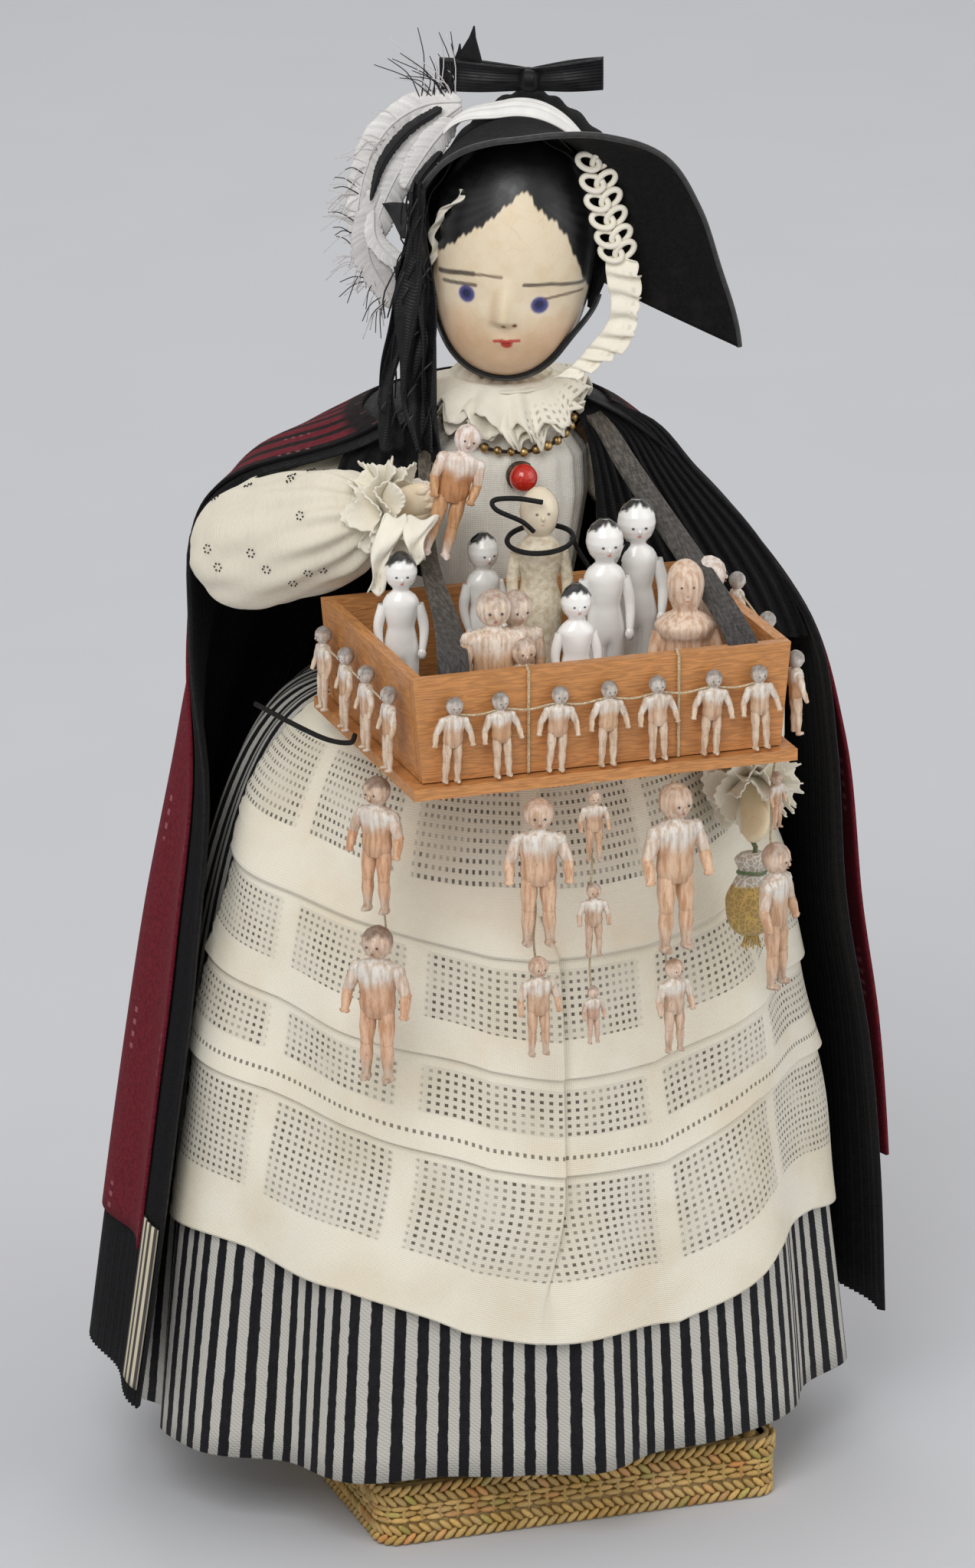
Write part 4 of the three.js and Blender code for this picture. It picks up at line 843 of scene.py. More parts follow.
def gathers(degrees, drop):
    """Small soft folds that run down from the waistband."""
    angle = np.radians(degrees)
    return (0.55 * np.cos(31 * angle + 0.6 * np.sin(5 * angle)) * (1.05 - drop)
            + 1.0 * np.cos(17 * angle + 1.3 + 0.8 * np.sin(4 * angle)) * drop + 0.45
            * np.sin(9 * angle + 4 * drop) * drop)


def down_lengths(surface, rows, u=0.5):
    """Running length down a sheet at each row."""
    return running(surface(np.full(len(rows), u), np.asarray(rows)))


def make_skirt():
    shares = np.linspace(0, 1, 57)

    def face(u, v):
        drop = np.maximum(v, 0.004) ** 2.2
        return on_bell(360 * u, drop, gathers(360 * u, drop))

    lengths = down_lengths(face, shares)
    stripe_pair = sizes().stripe_width / MM * 2
    skirt = Shape()
    skirt.grid(face, 400, 56, wrap=True,
               uv=lambda u, v: (u * sizes().stripe_count * stripe_pair, np.interp(v, shares, lengths)))
    piece = dress(skirt.build("striped_skirt", [striped_cotton], 0.45), "figure", "stripe", "skirt")

    petticoat = Shape()
    petticoat.grid(lambda u, v: on_bell(360 * u, np.maximum(v, 0.004) ** 2.2, -2.7, 3 * v**2.2), 160, 24,
                   wrap=True,
                   size=(400, 190))
    piece = dress(petticoat.build("petticoat_cloth", [plain_linen], 0.4), "figure", "linen", "petticoat")


def apron_hem(degrees):
    return np.interp(degrees, [-82, -60, -40, -20, 0, 20, 40, 60, 82],
                     [0.775, 0.755, 0.765, 0.825, 0.815, 0.8, 0.738, 0.71, 0.7])


def make_apron():
    tucks = [0.365, 0.557, 0.719, 1.0]
    overlap = sizes().tuck_overlap / MM / APRON_LENGTH
    apron = Shape()

    def tier(number):
        low = tucks[number - 1] - overlap if number else 0.0004
        high = tucks[number]

        def face(u, v):
            share = lerp(low, high, v if number else v**1.6)
            flat = lerp(APRON_SPAN, -APRON_SPAN, u)
            ragged = (0.5 * np.sin(140 * share) + 0.35
                      * np.sin(333 * share)) * (hump(u, 0.02) - hump(1 - u, 0.02))
            folded = np.interp(flat, [-82, 3, 7.5, 8.2, 9, 82], [-82, 8, 3.2, 2.7, 3.0, 82])
            raised = np.interp(flat, [-82, -5, 3, 7.5, 8.2, 9, 25, 82], [0, 0, 0, 0.7, 1.7, 2.7, 0.4, 0])
            strength = ease(0.24, 0.38, share) * (1 - 0.75 * ease(0.74, 1.0, share))
            degrees = lerp(flat, folded, strength) + ragged
            bent = share ** (1 + np.where(flat > 0, 0.25, 0.05) * (flat / APRON_SPAN) ** 2)
            hem = apron_hem(flat)
            wavy = 0.006 * np.sin(np.radians(9 * flat)) * share**3
            soft = 0.35 * np.sin(np.radians(13 * flat) + 9 * share) * ease(0.1, 0.5, share)
            soft = soft + 0.8 * np.sin(np.radians(8 * flat) + 14
                                       * share) * ease(0.06, 0.3, share) * (1 - 0.7 * ease(0.7, 1, share))
            step = 1.8 + lerp(0.1, 1.25, v**2) * (number < 3) + 0.5 * (number == 3) * v
            return on_bell(degrees, np.maximum(bent * hem + wavy, 0.0004), step + raised * strength + soft,
                           0.6)

        return face, low, high

    windows = [(0.42, 0.8), (0.2, 0.72), (0.24, 0.66), (0.14, 0.66)]
    for number in range(4):
        face, low, high = tier(number)
        first, last = windows[number]
        edges = [0, first - 0.006, first + 0.006, last - 0.006, last + 0.006, 0.82, 0.825, 0.855, 0.86, 1]
        rows = np.unique(np.concatenate([np.linspace(0, 1, 26), edges, 1 - np.linspace(0, 0.04, 4)]))
        stitch_row = number == 2

        def mask(u, v):
            return (((v > first) & (v < last)).astype(float),
                    ((v > 0.823) & (v < 0.857)).astype(float) * stitch_row, 0 * v)

        apron.grid(face, 260, 0, rows=rows, tint=mask,
                   uv=lambda u, v: (lerp(-89, 89, u), APRON_LENGTH * lerp(low, high, v)))
    piece = dress(apron.build("muslin_apron", [drawn_muslin], 0.35), "figure", "muslin", "apron")

    band = Shape()
    band.grid(lambda u, v: on_bell(lerp(100, -100, u), np.full_like(u, 0.0004), 1.5 + 0.25 * np.sin(40 * u),
                                   lerp(-1.5, 1.4, v)),
              80, 4, size=(60, 3))
    dress(band.build("apron_waistband", [plain_linen], 0.4), "figure", "muslin")


# Shawl and cape
def on_mantle(u, v, out=0.0):
    drop, left, right, left_r, back_r, right_r = np.moveaxis(points_at(MANTLE, v), -1, 0)
    back = np.sin(np.pi * np.clip(u, 0, 1)) ** 1.4
    side = lerp(left_r, right_r, ease(0.35, 0.65, u))
    degrees = lerp(left, 360 + right, u)
    fold = 2 * v * np.cos(14 * np.pi * u)
    return around(degrees, lerp(side, back_r, back) + fold + out,
                  lerp(MANTLE_TOP, SHAWL_HEM, drop)) + (DOLL_X, 0, 0)


def make_mantle():
    pleats = sizes().pleat_count
    shawl = Shape()

    def pleated(u, v):
        sharp = np.abs(2 * ((u * pleats) % 1) - 1) - 0.5
        return on_mantle(u, v, sharp * 1.3 * ease(0.02, 0.4, v))

    shawl.grid(pleated, pleats * 4, 44, size=(380, 200))

    for panel, waves in ((DRAPE, 26), (FRONT_EDGE, 9)):
        def drape(u, v):
            z, inner_x, inner_y, outer_x, outer_y = np.moveaxis(points_at(panel, v), -1, 0)
            fold = 0.55 * np.sin(waves * np.pi * u + 2 * np.sin(5 * v)) * ease(0.05, 0.5, v)
            return xyz(lerp(inner_x, outer_x, u) + DOLL_X, lerp(inner_y, outer_y, u) + fold, z)

        shawl.grid(drape, 4 * waves, 30, size=(38, 48))
    piece = dress(shawl.build("black_shawl", [pleated_black], 0.4, crease=180), "figure", "black_silk",
                  "shawl")

    strip = Shape()
    strip.grid(lambda u, v: on_mantle(lerp(0.0, 0.03, u), lerp(0.86, 0.985, v), 1.2), 10, 24,
               size=(11, 22))
    dress(strip.build("shawl_trimming", [trimming_strip], 0.3), "figure", "black_silk")

    cape = Shape()

    def cape_face(u, v):
        column = (1 + 26 * u) / 28
        row = v * 8
        share = np.maximum(row, 0.55 + 0.45 * row) / 9
        soft = 0.5 * np.sin(19 * np.pi * u + 3 * v) * v
        flare = CAPE_FLARE * ease(0.84, 1, u) * ease(0.45, 0.75, v)
        return on_mantle(column, share, 1.3 + soft + flare)

    cape.grid(cape_face, 240, 70, size=(330, 190))
    piece = dress(cape.build("red_cape", [red_wool_painted_shade], 0.7), "figure", "red_wool", "cape")


# Bodice, collar, necklace and brooch
def torso_face(u, z, out):
    columns = [[row[k] for row in TORSO] for k in range(5)]
    half_width, half_depth, x, y = (np.interp(z, columns[0], columns[k]) for k in range(1, 5))
    angle = 2 * np.pi * u
    return xyz(x + DOLL_X + (half_width + out) * np.cos(angle), y + (half_depth + out) * np.sin(angle), z)


def neck_point(degrees, radius, z):
    return around(degrees, radius, z) + (NECK_X + DOLL_X, NECK_Y, 0)


def make_bodice():
    bodice = Shape()
    bodice.grid(lambda u, v: torso_face(u, lerp(211, 160.4, v),
                                        1.6 + 0.35 * np.cos(44 * np.pi * u) * hump(v - 0.1, 0.3)
                                        + 0.3 * np.cos(60 * np.pi * u) * v),
                160, 40, wrap=True, size=(95, 52))
    piece = dress(bodice.build("bodice_cloth", [plain_linen], 0.5), "figure", "linen", "bodice")

    collar = Shape()
    layers = [(0.0, 1.0, 13, 0.0), (-1.5, 0.97, 17, 1.3), (-3.2, 0.86, 15, 2.9)]
    for lift, reach, waves, shift in layers:
        def face(u, v):
            degrees = lerp(118, -118, u)
            turn = np.radians(degrees)
            wave = np.sin(waves * turn + shift + 0.9
                          * np.sin(5 * turn)) + 0.5 * np.sin(0.37 * waves * turn + 2 * shift)
            curl = np.cos(waves * turn + shift + 0.6 * np.sin(7 * turn))
            radius = 9.3 + (7.4 - 2.2 * hump(degrees, 50)) * v * reach + 1.0 * v * curl
            fall = (2.4 + 5.6 * hump(degrees, 45)) * v * reach
            scallop = 0.5 * ease(0.8, 1, v) * np.abs(np.sin(24 * turn + shift))
            return neck_point(degrees, radius, 218.9 + lift - fall + 1.5 * v * wave - scallop)

        collar.grid(face, 300, 12, tint=lambda u, v: (ease(0.5, 0.65, v) * (u > 0.5), 0 * v, 0 * v),
                    size=(60, 9))
    def standing(u, v):
        degrees = lerp(180, -180, u)
        turn = np.radians(degrees)
        lift = 0.2 + 2.0 * ease(45, 95, np.abs(degrees)) + 0.35 * np.sin(19 * turn)
        radius = lerp(6.7, 10.8, v) + 0.5 * (1 - v) * np.sin(19 * turn + 1) * ease(30, 70, np.abs(degrees))
        return neck_point(degrees, radius, 219.0 + lift * (1 - v) - 1.4 * v)

    collar.grid(standing, 240, 8, wrap=True, tint=(0, 0, 0), size=(54, 5))
    piece = dress(collar.build("lace_collar", [cream_lace], 0.3), "figure", "lace", "collar_frill")

    turn = np.linspace(0, 1, 361)
    radius, z = np.moveaxis(points_at(NECKLACE, 2 * np.minimum(turn, 1 - turn)), -1, 0)
    string = neck_point(360 * turn, radius, z)
    run = running(string)
    beads = Shape()
    count = sizes().bead_count
    for k in range(count):
        spot = [np.interp(run[-1] * k / count, run, string[:, axis]) for axis in range(3)]
        beads.ball(spot, 0.92 + 0.08 * math.sin(5 * k), sides=12, rows=8)
    beads.tube(string[::4], 0.35, (0.02, 0.018, 0.016), 1)
    dress(beads.build("brass_beads", [aged_brass, waxed_thread]), "figure", "brass", "bead_necklace")

    centre = np.array((DOLL_X + 1.17, -16.6, 202.2))
    brooch = Shape()
    brooch.loft([ellipse(centre + (0, y, 0), (1, 0, 0), (0, 0, 1), r, r, 24)
                 for y, r in ((0.6, 2.2), (0.3, 2.6), (-0.4, 2.8), (-0.9, 2.75), (-1.1, 2.3))], kind=1)
    for k in range(14):
        angle = 2 * math.pi * k / 14
        brooch.ball(centre + (2.55 * math.cos(angle), -0.7, 2.55 * math.sin(angle)), 0.34, kind=1, sides=8,
                    rows=5)
    brooch.ball(centre + (0, -2.3, 0), (2.7, 2.5, 2.7), kind=0, sides=24, rows=14)
    dress(brooch.build("red_brooch", [red_glass, dark_mount]), "figure", "bead", "brooch")


# Arms
def make_arm(side):
    shoulder, elbow, hand, radii = (np.array(value, float) for value in ARMS[side])
    offset = np.array((DOLL_X, 0, 0))
    shoulder, elbow, hand = shoulder + offset, elbow + offset, hand + offset
    top, bend, lower, gathered, cuff = radii
    upper_body, fore_body = f"{side}_upper_arm", f"{side}_forearm"
    axis = unit(np.cross(elbow - shoulder, hand - elbow))
    wrist = lerp(elbow, hand, WRIST)

    arm = Shape()
    skin = (0.86, 0.74, 0.56) if side == "right" else (0.84, 0.72, 0.50)
    stations = [(0.0, 3.2, 3.2), (0.3, 3.0, 2.9), (0.68, 2.4, 2.4), (0.76, 2.2, 2.1), (0.82, 2.9, 1.9),
                (0.9, 3.3, 1.7),
                (0.95, 3.0, 1.4), (0.985, 2.1, 1.1), (1.0, 1.0, 0.6)]
    arm.loft(limb_rings(elbow, hand, stations, 20, axis), skin)
    forward = unit(hand - elbow)
    across = np.cross(forward, axis)
    for finger in range(3):
        start = lerp(elbow, hand, 0.9) + axis * (finger - 1) * 1.55 + across * 0.4
        arm.tube([start, start + forward * 3.0 + across * 0.5, start + forward * 4.6 - across * 0.6],
                 [0.75, 0.7, 0.35],
                 shade(skin, 0.93), sides=8)
    thumb = lerp(elbow, hand, 0.83) - axis * 2.4
    arm.tube([thumb, thumb + forward * 2.4 - axis * 1.0, thumb + forward * 4.4 - axis * 0.4],
             [1.0, 0.9, 0.45], skin, sides=8)
    dress(arm.build(f"{side}_hand_and_forearm", [painted_face], crease=180), fore_body, "wood",
          f"{side}_forearm")

    sleeve_tint = (0.94, 0.9, 0.82)
    sleeve_top = Shape()
    rows = np.linspace(0, 1, 15)
    first, second = across_of(elbow - shoulder)
    sleeve_top.loft([ellipse(lerp(shoulder, elbow, lerp(-0.06, 1.0, share)), first, second,
                             lerp(top, 0.9 * bend, share) * (0.93 + 0.07 * ease(0, 0.2, share)),
                             lerp(top, 0.9 * bend, share), 60, 0.05, 9, 2 * share) for share in rows],
                    sleeve_tint, caps=False, length=25)
    piece = sleeve_top.build(f"{side}_sleeve_top", [plain_linen], 0.4, crease=180)
    dress(piece, upper_body, "linen")

    first, second = across_of(wrist - elbow)
    stations = [(-0.3, 0.3 * bend), (-0.26, 0.55 * bend), (-0.16, 0.84 * bend), (0.08, bend), (0.4, lower),
                (0.75, gathered),
                (0.9, 0.62 * gathered), (1.0, cuff)]
    shares = np.linspace(-0.3, 1.0, 44)
    radius = np.interp(shares, [row[0] for row in stations], [row[1] for row in stations])
    radius = smoothed(radius)

    def puff_ring(share, r, sides=96):
        ripple = 0.012 + 0.075 * ease(0.25, 1.0, share)
        ring = ellipse(lerp(elbow, wrist, share), first, second, r, r, sides, ripple, 13,
                       1.4 * math.sin(3 * share))
        angle = 2 * np.pi * np.arange(sides) / sides
        wrinkle = 0.03 * r * np.sin(5 * angle + 6 * share) + 0.02 * r * np.sin(8 * angle - 9 * share)
        outward = ring - lerp(elbow, wrist, share)
        return ring + outward / np.linalg.norm(outward, axis=1)[:, None] * wrinkle[:, None]

    rings = [puff_ring(share, r) for share, r in zip(shares, radius)]
    sleeve = Shape()
    sleeve.loft(rings, sleeve_tint, caps=False, length=45)
    if side == "right":
        picks = np.random.default_rng(7)
        for k in range(26):
            row = 8 + int(picks.integers(0, 24))
            column = int(picks.integers(0, 96))
            spot = rings[row][column]
            outward = unit(spot - lerp(elbow, wrist, shares[row]))
            level, upright = across_of(outward)
            for dot in range(6):
                angle = 2 * math.pi * dot / 6
                sleeve.ball(spot + outward * 0.22 + 0.75
                            * (level * math.cos(angle) + upright * math.sin(angle)), 0.2,
                            (0.02, 0.02, 0.02), 1, 6, 4)
    piece = sleeve.build(f"{side}_sleeve_puff", [plain_linen, waxed_thread], crease=180)
    solidify = piece.modifiers.new("Cloth thickness", "SOLIDIFY")
    solidify.thickness = 0.35 * MM
    solidify.offset = -1
    settled(piece)
    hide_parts(f"{side}_sleeve")
    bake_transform(piece)
    reach = float(np.linalg.norm(wrist - elbow)) * 1.3 * MM

    reach = np.linalg.norm(hand - elbow)
    frill = Shape()
    layers = [(8.6, 1.2, 7, 0.0), (7.2, 3.6, 6, 0.9), (9.0, -2.0, 8, 2.0), (5.6, 5.2, 5, 3.1),
              (7.8, -3.6, 7, 4.0)]
    for wide, length, waves, shift in layers:
        def face(u, v):
            angle = 2 * np.pi * u
            wave = np.sin(waves * angle + shift + 0.8
                          * np.sin(3 * angle)) + 0.45 * np.sin(2.0 * angle + 2 * shift)
            radius = lerp(2.7, wide, v**0.8) + 0.9 * v * np.cos(waves * angle + shift + 0.5
                                                                * np.sin(2 * angle))
            lift = WRIST * reach + 1.0 + length * v + 1.7 * v * wave
            scallop = 0.3 * ease(0.85, 1, v) * np.sin(40 * angle)
            return (elbow + np.multiply.outer(lift, forward)
                    + ((radius + scallop) * np.cos(angle))[..., None] * axis
                    + ((radius + scallop) * np.sin(angle))[..., None] * across)

        frill.grid(face, 200, 12, wrap=True, tint=(0, 0, 0), size=(54, 7.5))
    if side == "right":
        tails = [([(-36, -40, 204), (-37.6, -42, 200), (-39.6, -42.5, 195.5), (-40.2, -41.5, 190)], 5.0),
                 ([(-31, -41, 203.5), (-32.4, -43, 200.5), (-33.2, -43.5, 197.4), (-33, -43, 195.6)], 5.6)]
        for k, (path, width) in enumerate(tails):
            def tail(u, v):
                bulge = 0.8 + 0.3 * np.sin(5.5 * v + k)
                shift = [(u - 0.5) * width * bulge + 0.4 * np.sin(9 * v + k),
                         0.8 * np.sin(7 * v + 5 * u + k), 0.5 * np.sin(8 * u + k)]
                return points_at(path, v) + np.stack(shift, -1)

            frill.grid(tail, 20, 30, tint=lambda u, v: (0.4 * ease(0.6, 0.8, v), 0 * v, 0 * v), size=(5, 10))
    piece = dress(frill.build(f"{side}_lace_cuff", [cream_lace], 0.28), fore_body, "lace", f"{side}_cuff")


# Head and bonnet
HEAD_POSE = np.array(Matrix.Translation((-1.6, -9, 246.5)) @ turned("Z", -25) @ turned("Y", 6))


def stroke(x, z, line, width):
    """How strongly a brush stroke along a line covers a point of the face."""
    line = np.asarray(line, float)
    best = np.full(x.shape, 99.0)
    for (x0, z0), (x1, z1) in zip(line[:-1], line[1:]):
        span = (x1 - x0) ** 2 + (z1 - z0) ** 2
        t = np.clip(((x - x0) * (x1 - x0) + (z - z0) * (z1 - z0)) / span, 0, 1)
        best = np.minimum(best, np.hypot(x - x0 - t * (x1 - x0), z - z0 - t * (z1 - z0)))
    return 1 - ease(width * 0.6, width * 1.3, best)


def face_paint(x, y, z):
    """Painted features over the egg of the head."""
    c = colours()
    paint = np.broadcast_to(np.array(c.skin), (*x.shape, 3)).copy()

    def lay(share, colour):
        share = np.clip(share, 0, 1)[..., None]
        paint[...] = paint * (1 - share) + np.array(colour) * share

    front = (y < 0).astype(float)
    dark, brown = (0.045, 0.03, 0.025), (0.16, 0.08, 0.05)
    lay(0.62 * (1 - ease(-19, -11, z)) * front, c.blush)
    for cheek in (-8.4, 10.4):
        lay(0.5 * hump(np.hypot(x - cheek, (z + 15.5) * 0.9), 4.4) * front, c.blush)
    # The bottom of the chin is darkened brown: painted shade under the chin.
    lay(0.5 * (1 - ease(-27, -22.5, z)) * front, (0.5, 0.26, 0.14))
    # The side of the face beside the plumes is darkened brown below the brim: painted shade.
    lay(0.4 * ease(-11.0, -14.5, x) * (z < -3) * front, (0.55, 0.34, 0.2))
    # A soft brown band along the side of the nose is painted shade.
    lay(0.34 * hump(x + 1.5, 0.9) * ease(-6, -9, z) * ease(-14, -12.5, z) * front, (0.55, 0.28, 0.13))
    for eye_x, eye_z in ((-6.9, -8.8), (6.8, -9.2)):
        lay(0.5 * (1 - ease(2.0, 3.6, np.hypot((x - eye_x) * 0.62, (z - eye_z) * 1.25))) * front,
            (0.84, 0.74, 0.58))
        iris = np.hypot(x - eye_x, (z - eye_z) * 0.95)
        lay((1 - ease(1.35, 1.65, iris)) * front, c.iris)
        lay(0.35 * (1 - ease(0.25, 0.5, np.abs(iris - 1.35))) * front, (0.16, 0.15, 0.4))
        lay((1 - ease(0.5, 0.95, np.hypot(x - eye_x + 0.1, z - eye_z - 0.1))) * front, (0.012, 0.014, 0.07))
    lay(0.9 * stroke(x, z, [(-12.6, -6.2), (-8.4, -5.0), (-6.0, -4.6)], 0.5) * front, dark)
    lay(0.8 * stroke(x, z, [(-6.0, -4.6), (-3.5, -4.3), (-0.6, -4.2)], 0.3) * front, brown)
    lay(0.85 * stroke(x, z, [(3.7, -5.3), (8.5, -5.0), (13.9, -5.5)], 0.38) * front, dark)
    lay(0.8 * stroke(x, z, [(-11.6, -7.7), (-8.2, -7.1), (-5.4, -6.7)], 0.4) * front, dark)
    lay(0.8 * stroke(x, z, [(7.6, -8.0), (10.9, -7.3), (13.8, -7.1)], 0.3) * front, brown)
    for spot_x, spot_z in ((0.7, -13.7), (2.7, -13.4)):
        lay(0.95 * (1 - ease(0.32, 0.6, np.hypot(x - spot_x, (z - spot_z) * 1.2))) * front,
            (0.22, 0.06, 0.035))
    lay(0.9 * stroke(x, z, [(-0.8, -17.1), (0.6, -16.7), (1.4, -16.9), (2.2, -16.6), (3.7, -16.5)], 0.34)
        * front, c.lips)
    lay(0.95 * (1 - ease(0.6, 1.0, np.hypot((x - 1.5) * 0.75, z + 17.4))) * front, c.lips)
    lay(0.7 * stroke(x, z, [(0.2, -17.1), (1.4, -17.2), (2.6, -17.0)], 0.13) * front, (0.2, 0.012, 0.01))
    hairline = np.interp(x, [-15.2, -12, -8.6, -4.8, -1.8, 1.9, 4.5, 8.4, 10.6, 12.2, 13.8, 15.2],
                         [-4.5, -1.4, 2.2, 5.2, 8.5, 12.3, 9.1, 6.4, 3.4, -0.3, -4.4, -8.5])
    hairline = hairline + 0.3 * np.sin(2.6 * x) + 0.2 * np.sin(6.3 * x)
    hair = np.maximum(ease(-0.35, 0.35, z - hairline) * front,
                      ease(-4.0, -2.6, y - 0.12 * (z + 12)) * (z > -19))
    # Strokes in the painted hair are lightened in a band round z = 6.5 as a painted highlight.
    strand = 0.5 + 0.5 * np.sin(9 * np.arctan2(z - 14, np.abs(x - 1.9) + 1.5) * 6)
    shine = np.array(c.hair)[None, None, :] * (1 + 1.6 * (strand * hump(z - 6.5, 4.5))[..., None])
    share = np.clip(hair, 0, 1)[..., None]
    return paint * (1 - share) + shine * share


def head_girth(z):
    """Girth of the egg at a height, as a share of its widest part."""
    crown = np.sqrt(np.maximum(0, 1 - (np.maximum(z, 0) / HEAD_CROWN) ** 2))
    jaw = np.maximum(0, 1 - (np.maximum(-z, 0) / HEAD_CHIN) ** JAW_SQUARENESS) ** (1 / JAW_SQUARENESS)
    return np.where(z > 0, crown, jaw)


def make_head():
    across, down = 400, 320
    turn = np.linspace(0, 1, across + 1)
    angle = 2 * np.pi * turn - 0.55 * np.sin(2 * np.pi * turn)
    fall = np.linspace(0.004, 0.996, down + 1) * np.pi
    a, t = np.meshgrid(angle, fall)
    z = np.cos(t) * np.where(t < np.pi / 2, HEAD_CROWN, HEAD_CHIN)
    girth = head_girth(z)
    x, y = -HEAD_WIDE * girth * np.sin(a), -HEAD_DEEP * girth * np.cos(a)
    front = (y < 0).astype(float)
    ridge = hump(x - 0.5, 1.2 + 0.7 * ease(-5, -12.5, z)) * ease(-3.4, -12.2, z) * ease(-14.4, -12.6, z)
    socket = sum(hump(np.hypot((x - eye) * 0.75, z + 8.6), 3.4) for eye in (-6.9, 6.8))
    lips = hump(np.hypot((x - 1.4) * 0.6, z + 17.0), 1.3)
    chin = hump(np.hypot(x - 1.2, (z + 22.5) * 1.2), 3.6)
    tints = face_paint(x, y, z)[:, :-1]
    y = y - front * (1.9 * ridge - 0.5 * socket + 0.4 * lips + 0.5 * chin)
    head = Shape(HEAD_POSE)
    u, v = np.meshgrid(np.linspace(0, 1, across + 1), np.linspace(0, 1, down + 1))
    head.quads(xyz(x, y, z)[:, :-1], np.stack([u, v], -1), tints.reshape(-1, 3), 0, True, caps=True)
    head.placing = np.eye(4)
    head.loft(turned_rings([(NECK_HEIGHT + 0.3, 6, 6), (216, 5.8, 5.8), (222, 5.7, 5.7), (228.5, 5.9, 5.9)],
                           28)
              + np.array((NECK_X + DOLL_X, NECK_Y, 0)), np.array(colours().skin) * 0.85)
    dress(head.build("painted_head", [painted_face], crease=180), "head", "painted_wood", "head")


def rim(degrees, wide, high, y):
    angle = np.radians(degrees)
    return xyz(wide * np.sin(angle), y, high * np.cos(angle))


def jaw_reach(degrees, y):
    """Distance from the middle of the head out to its surface, in the upright plane at y."""
    inside, outside = np.zeros_like(degrees), np.full_like(degrees, HEAD_CHIN)
    for _ in range(24):
        reach = (inside + outside) / 2
        x, z = reach * np.sin(np.radians(degrees)), reach * np.cos(np.radians(degrees))
        within = np.hypot(x / HEAD_WIDE, y / HEAD_DEEP) < head_girth(z)
        inside, outside = np.where(within, reach, inside), np.where(within, outside, reach)
    return inside


def make_bonnet():
    brim = Shape(HEAD_POSE)

    def brim_face(u, v):
        degrees = lerp(-100, 105.5, u)
        out, forward = np.moveaxis(points_at(BRIM, u), -1, 0)
        curl = v * np.sqrt(np.abs(v))
        return rim(degrees, RIM_WIDE, RIM_HIGH, -2.0) + rim(degrees, out * curl, out * curl, -forward * v)

    brim.grid(brim_face, 160, 26, size=(110, 18))
    piece = dress(brim.build("felt_brim", [black_felt], 1.1, crease=180), "head", "felt", "bonnet_brim")
    edge = Shape(HEAD_POSE)
    shares = np.linspace(0, 1, 120)
    edge.tube(brim_face(shares, np.ones_like(shares)), 0.6, (0.028, 0.027, 0.027), sides=8)
    dress(edge.build("brim_binding", [worn_binding]), "head", "felt")

    crown = Shape(HEAD_POSE)

    def crown_face(u, v):
        degrees = lerp(-122, 122, u)
        quarter = v * 0.97 * np.pi / 2
        puff = 17 * np.sin(np.pi * np.minimum(1, 0.25 + v)) * np.maximum(0, np.cos(np.radians(degrees)))
        closing = np.cos(quarter)
        gather = 0.35 * np.sin(40 * np.pi * u) * np.sin(np.pi * v)
        high = RIM_HIGH * closing + puff * v + gather
        sideways = 16 * v * np.sin(np.pi * np.minimum(1, 0.25
                                                      + v)) * ease(8, 45, degrees) * ease(100, 60, degrees)
        return rim(degrees, RIM_WIDE * closing + gather + sideways, high,
                   -0.6 + (HEAD_DEEP + 5) * np.sin(quarter))

    crown.grid(crown_face, 140, 40, size=(90, 36))
    piece = dress(crown.build("felt_crown", [black_felt], 0.9, crease=180), "head", "felt", "bonnet_crown")

    band = Shape(HEAD_POSE)

    def band_face(u, v):
        degrees = lerp(-54, 42, u)
        taper = np.sin(np.pi * lerp(0.07, 0.93, u)) ** 0.8
        puff = taper * (0.8 * np.sin(np.pi * v) + 0.2 * np.sin(22 * v + 3 * u))
        point = rim(degrees, RIM_WIDE + 0.9 + puff, RIM_HIGH + 0.3 + 2.3 * v * taper + puff,
                    -1.2 + 5.2 * v * taper)
        point[..., 2] += 4.2 * ease(-14, -54, degrees)
        return point

    band.grid(band_face, 110, 24, size=(46, 6))
    dress(band.build("satin_band", [white_satin], 0.3), "head", "silk", "bonnet_band")

    make_bow()
    make_feathers()
    make_bonnet_ribbons()


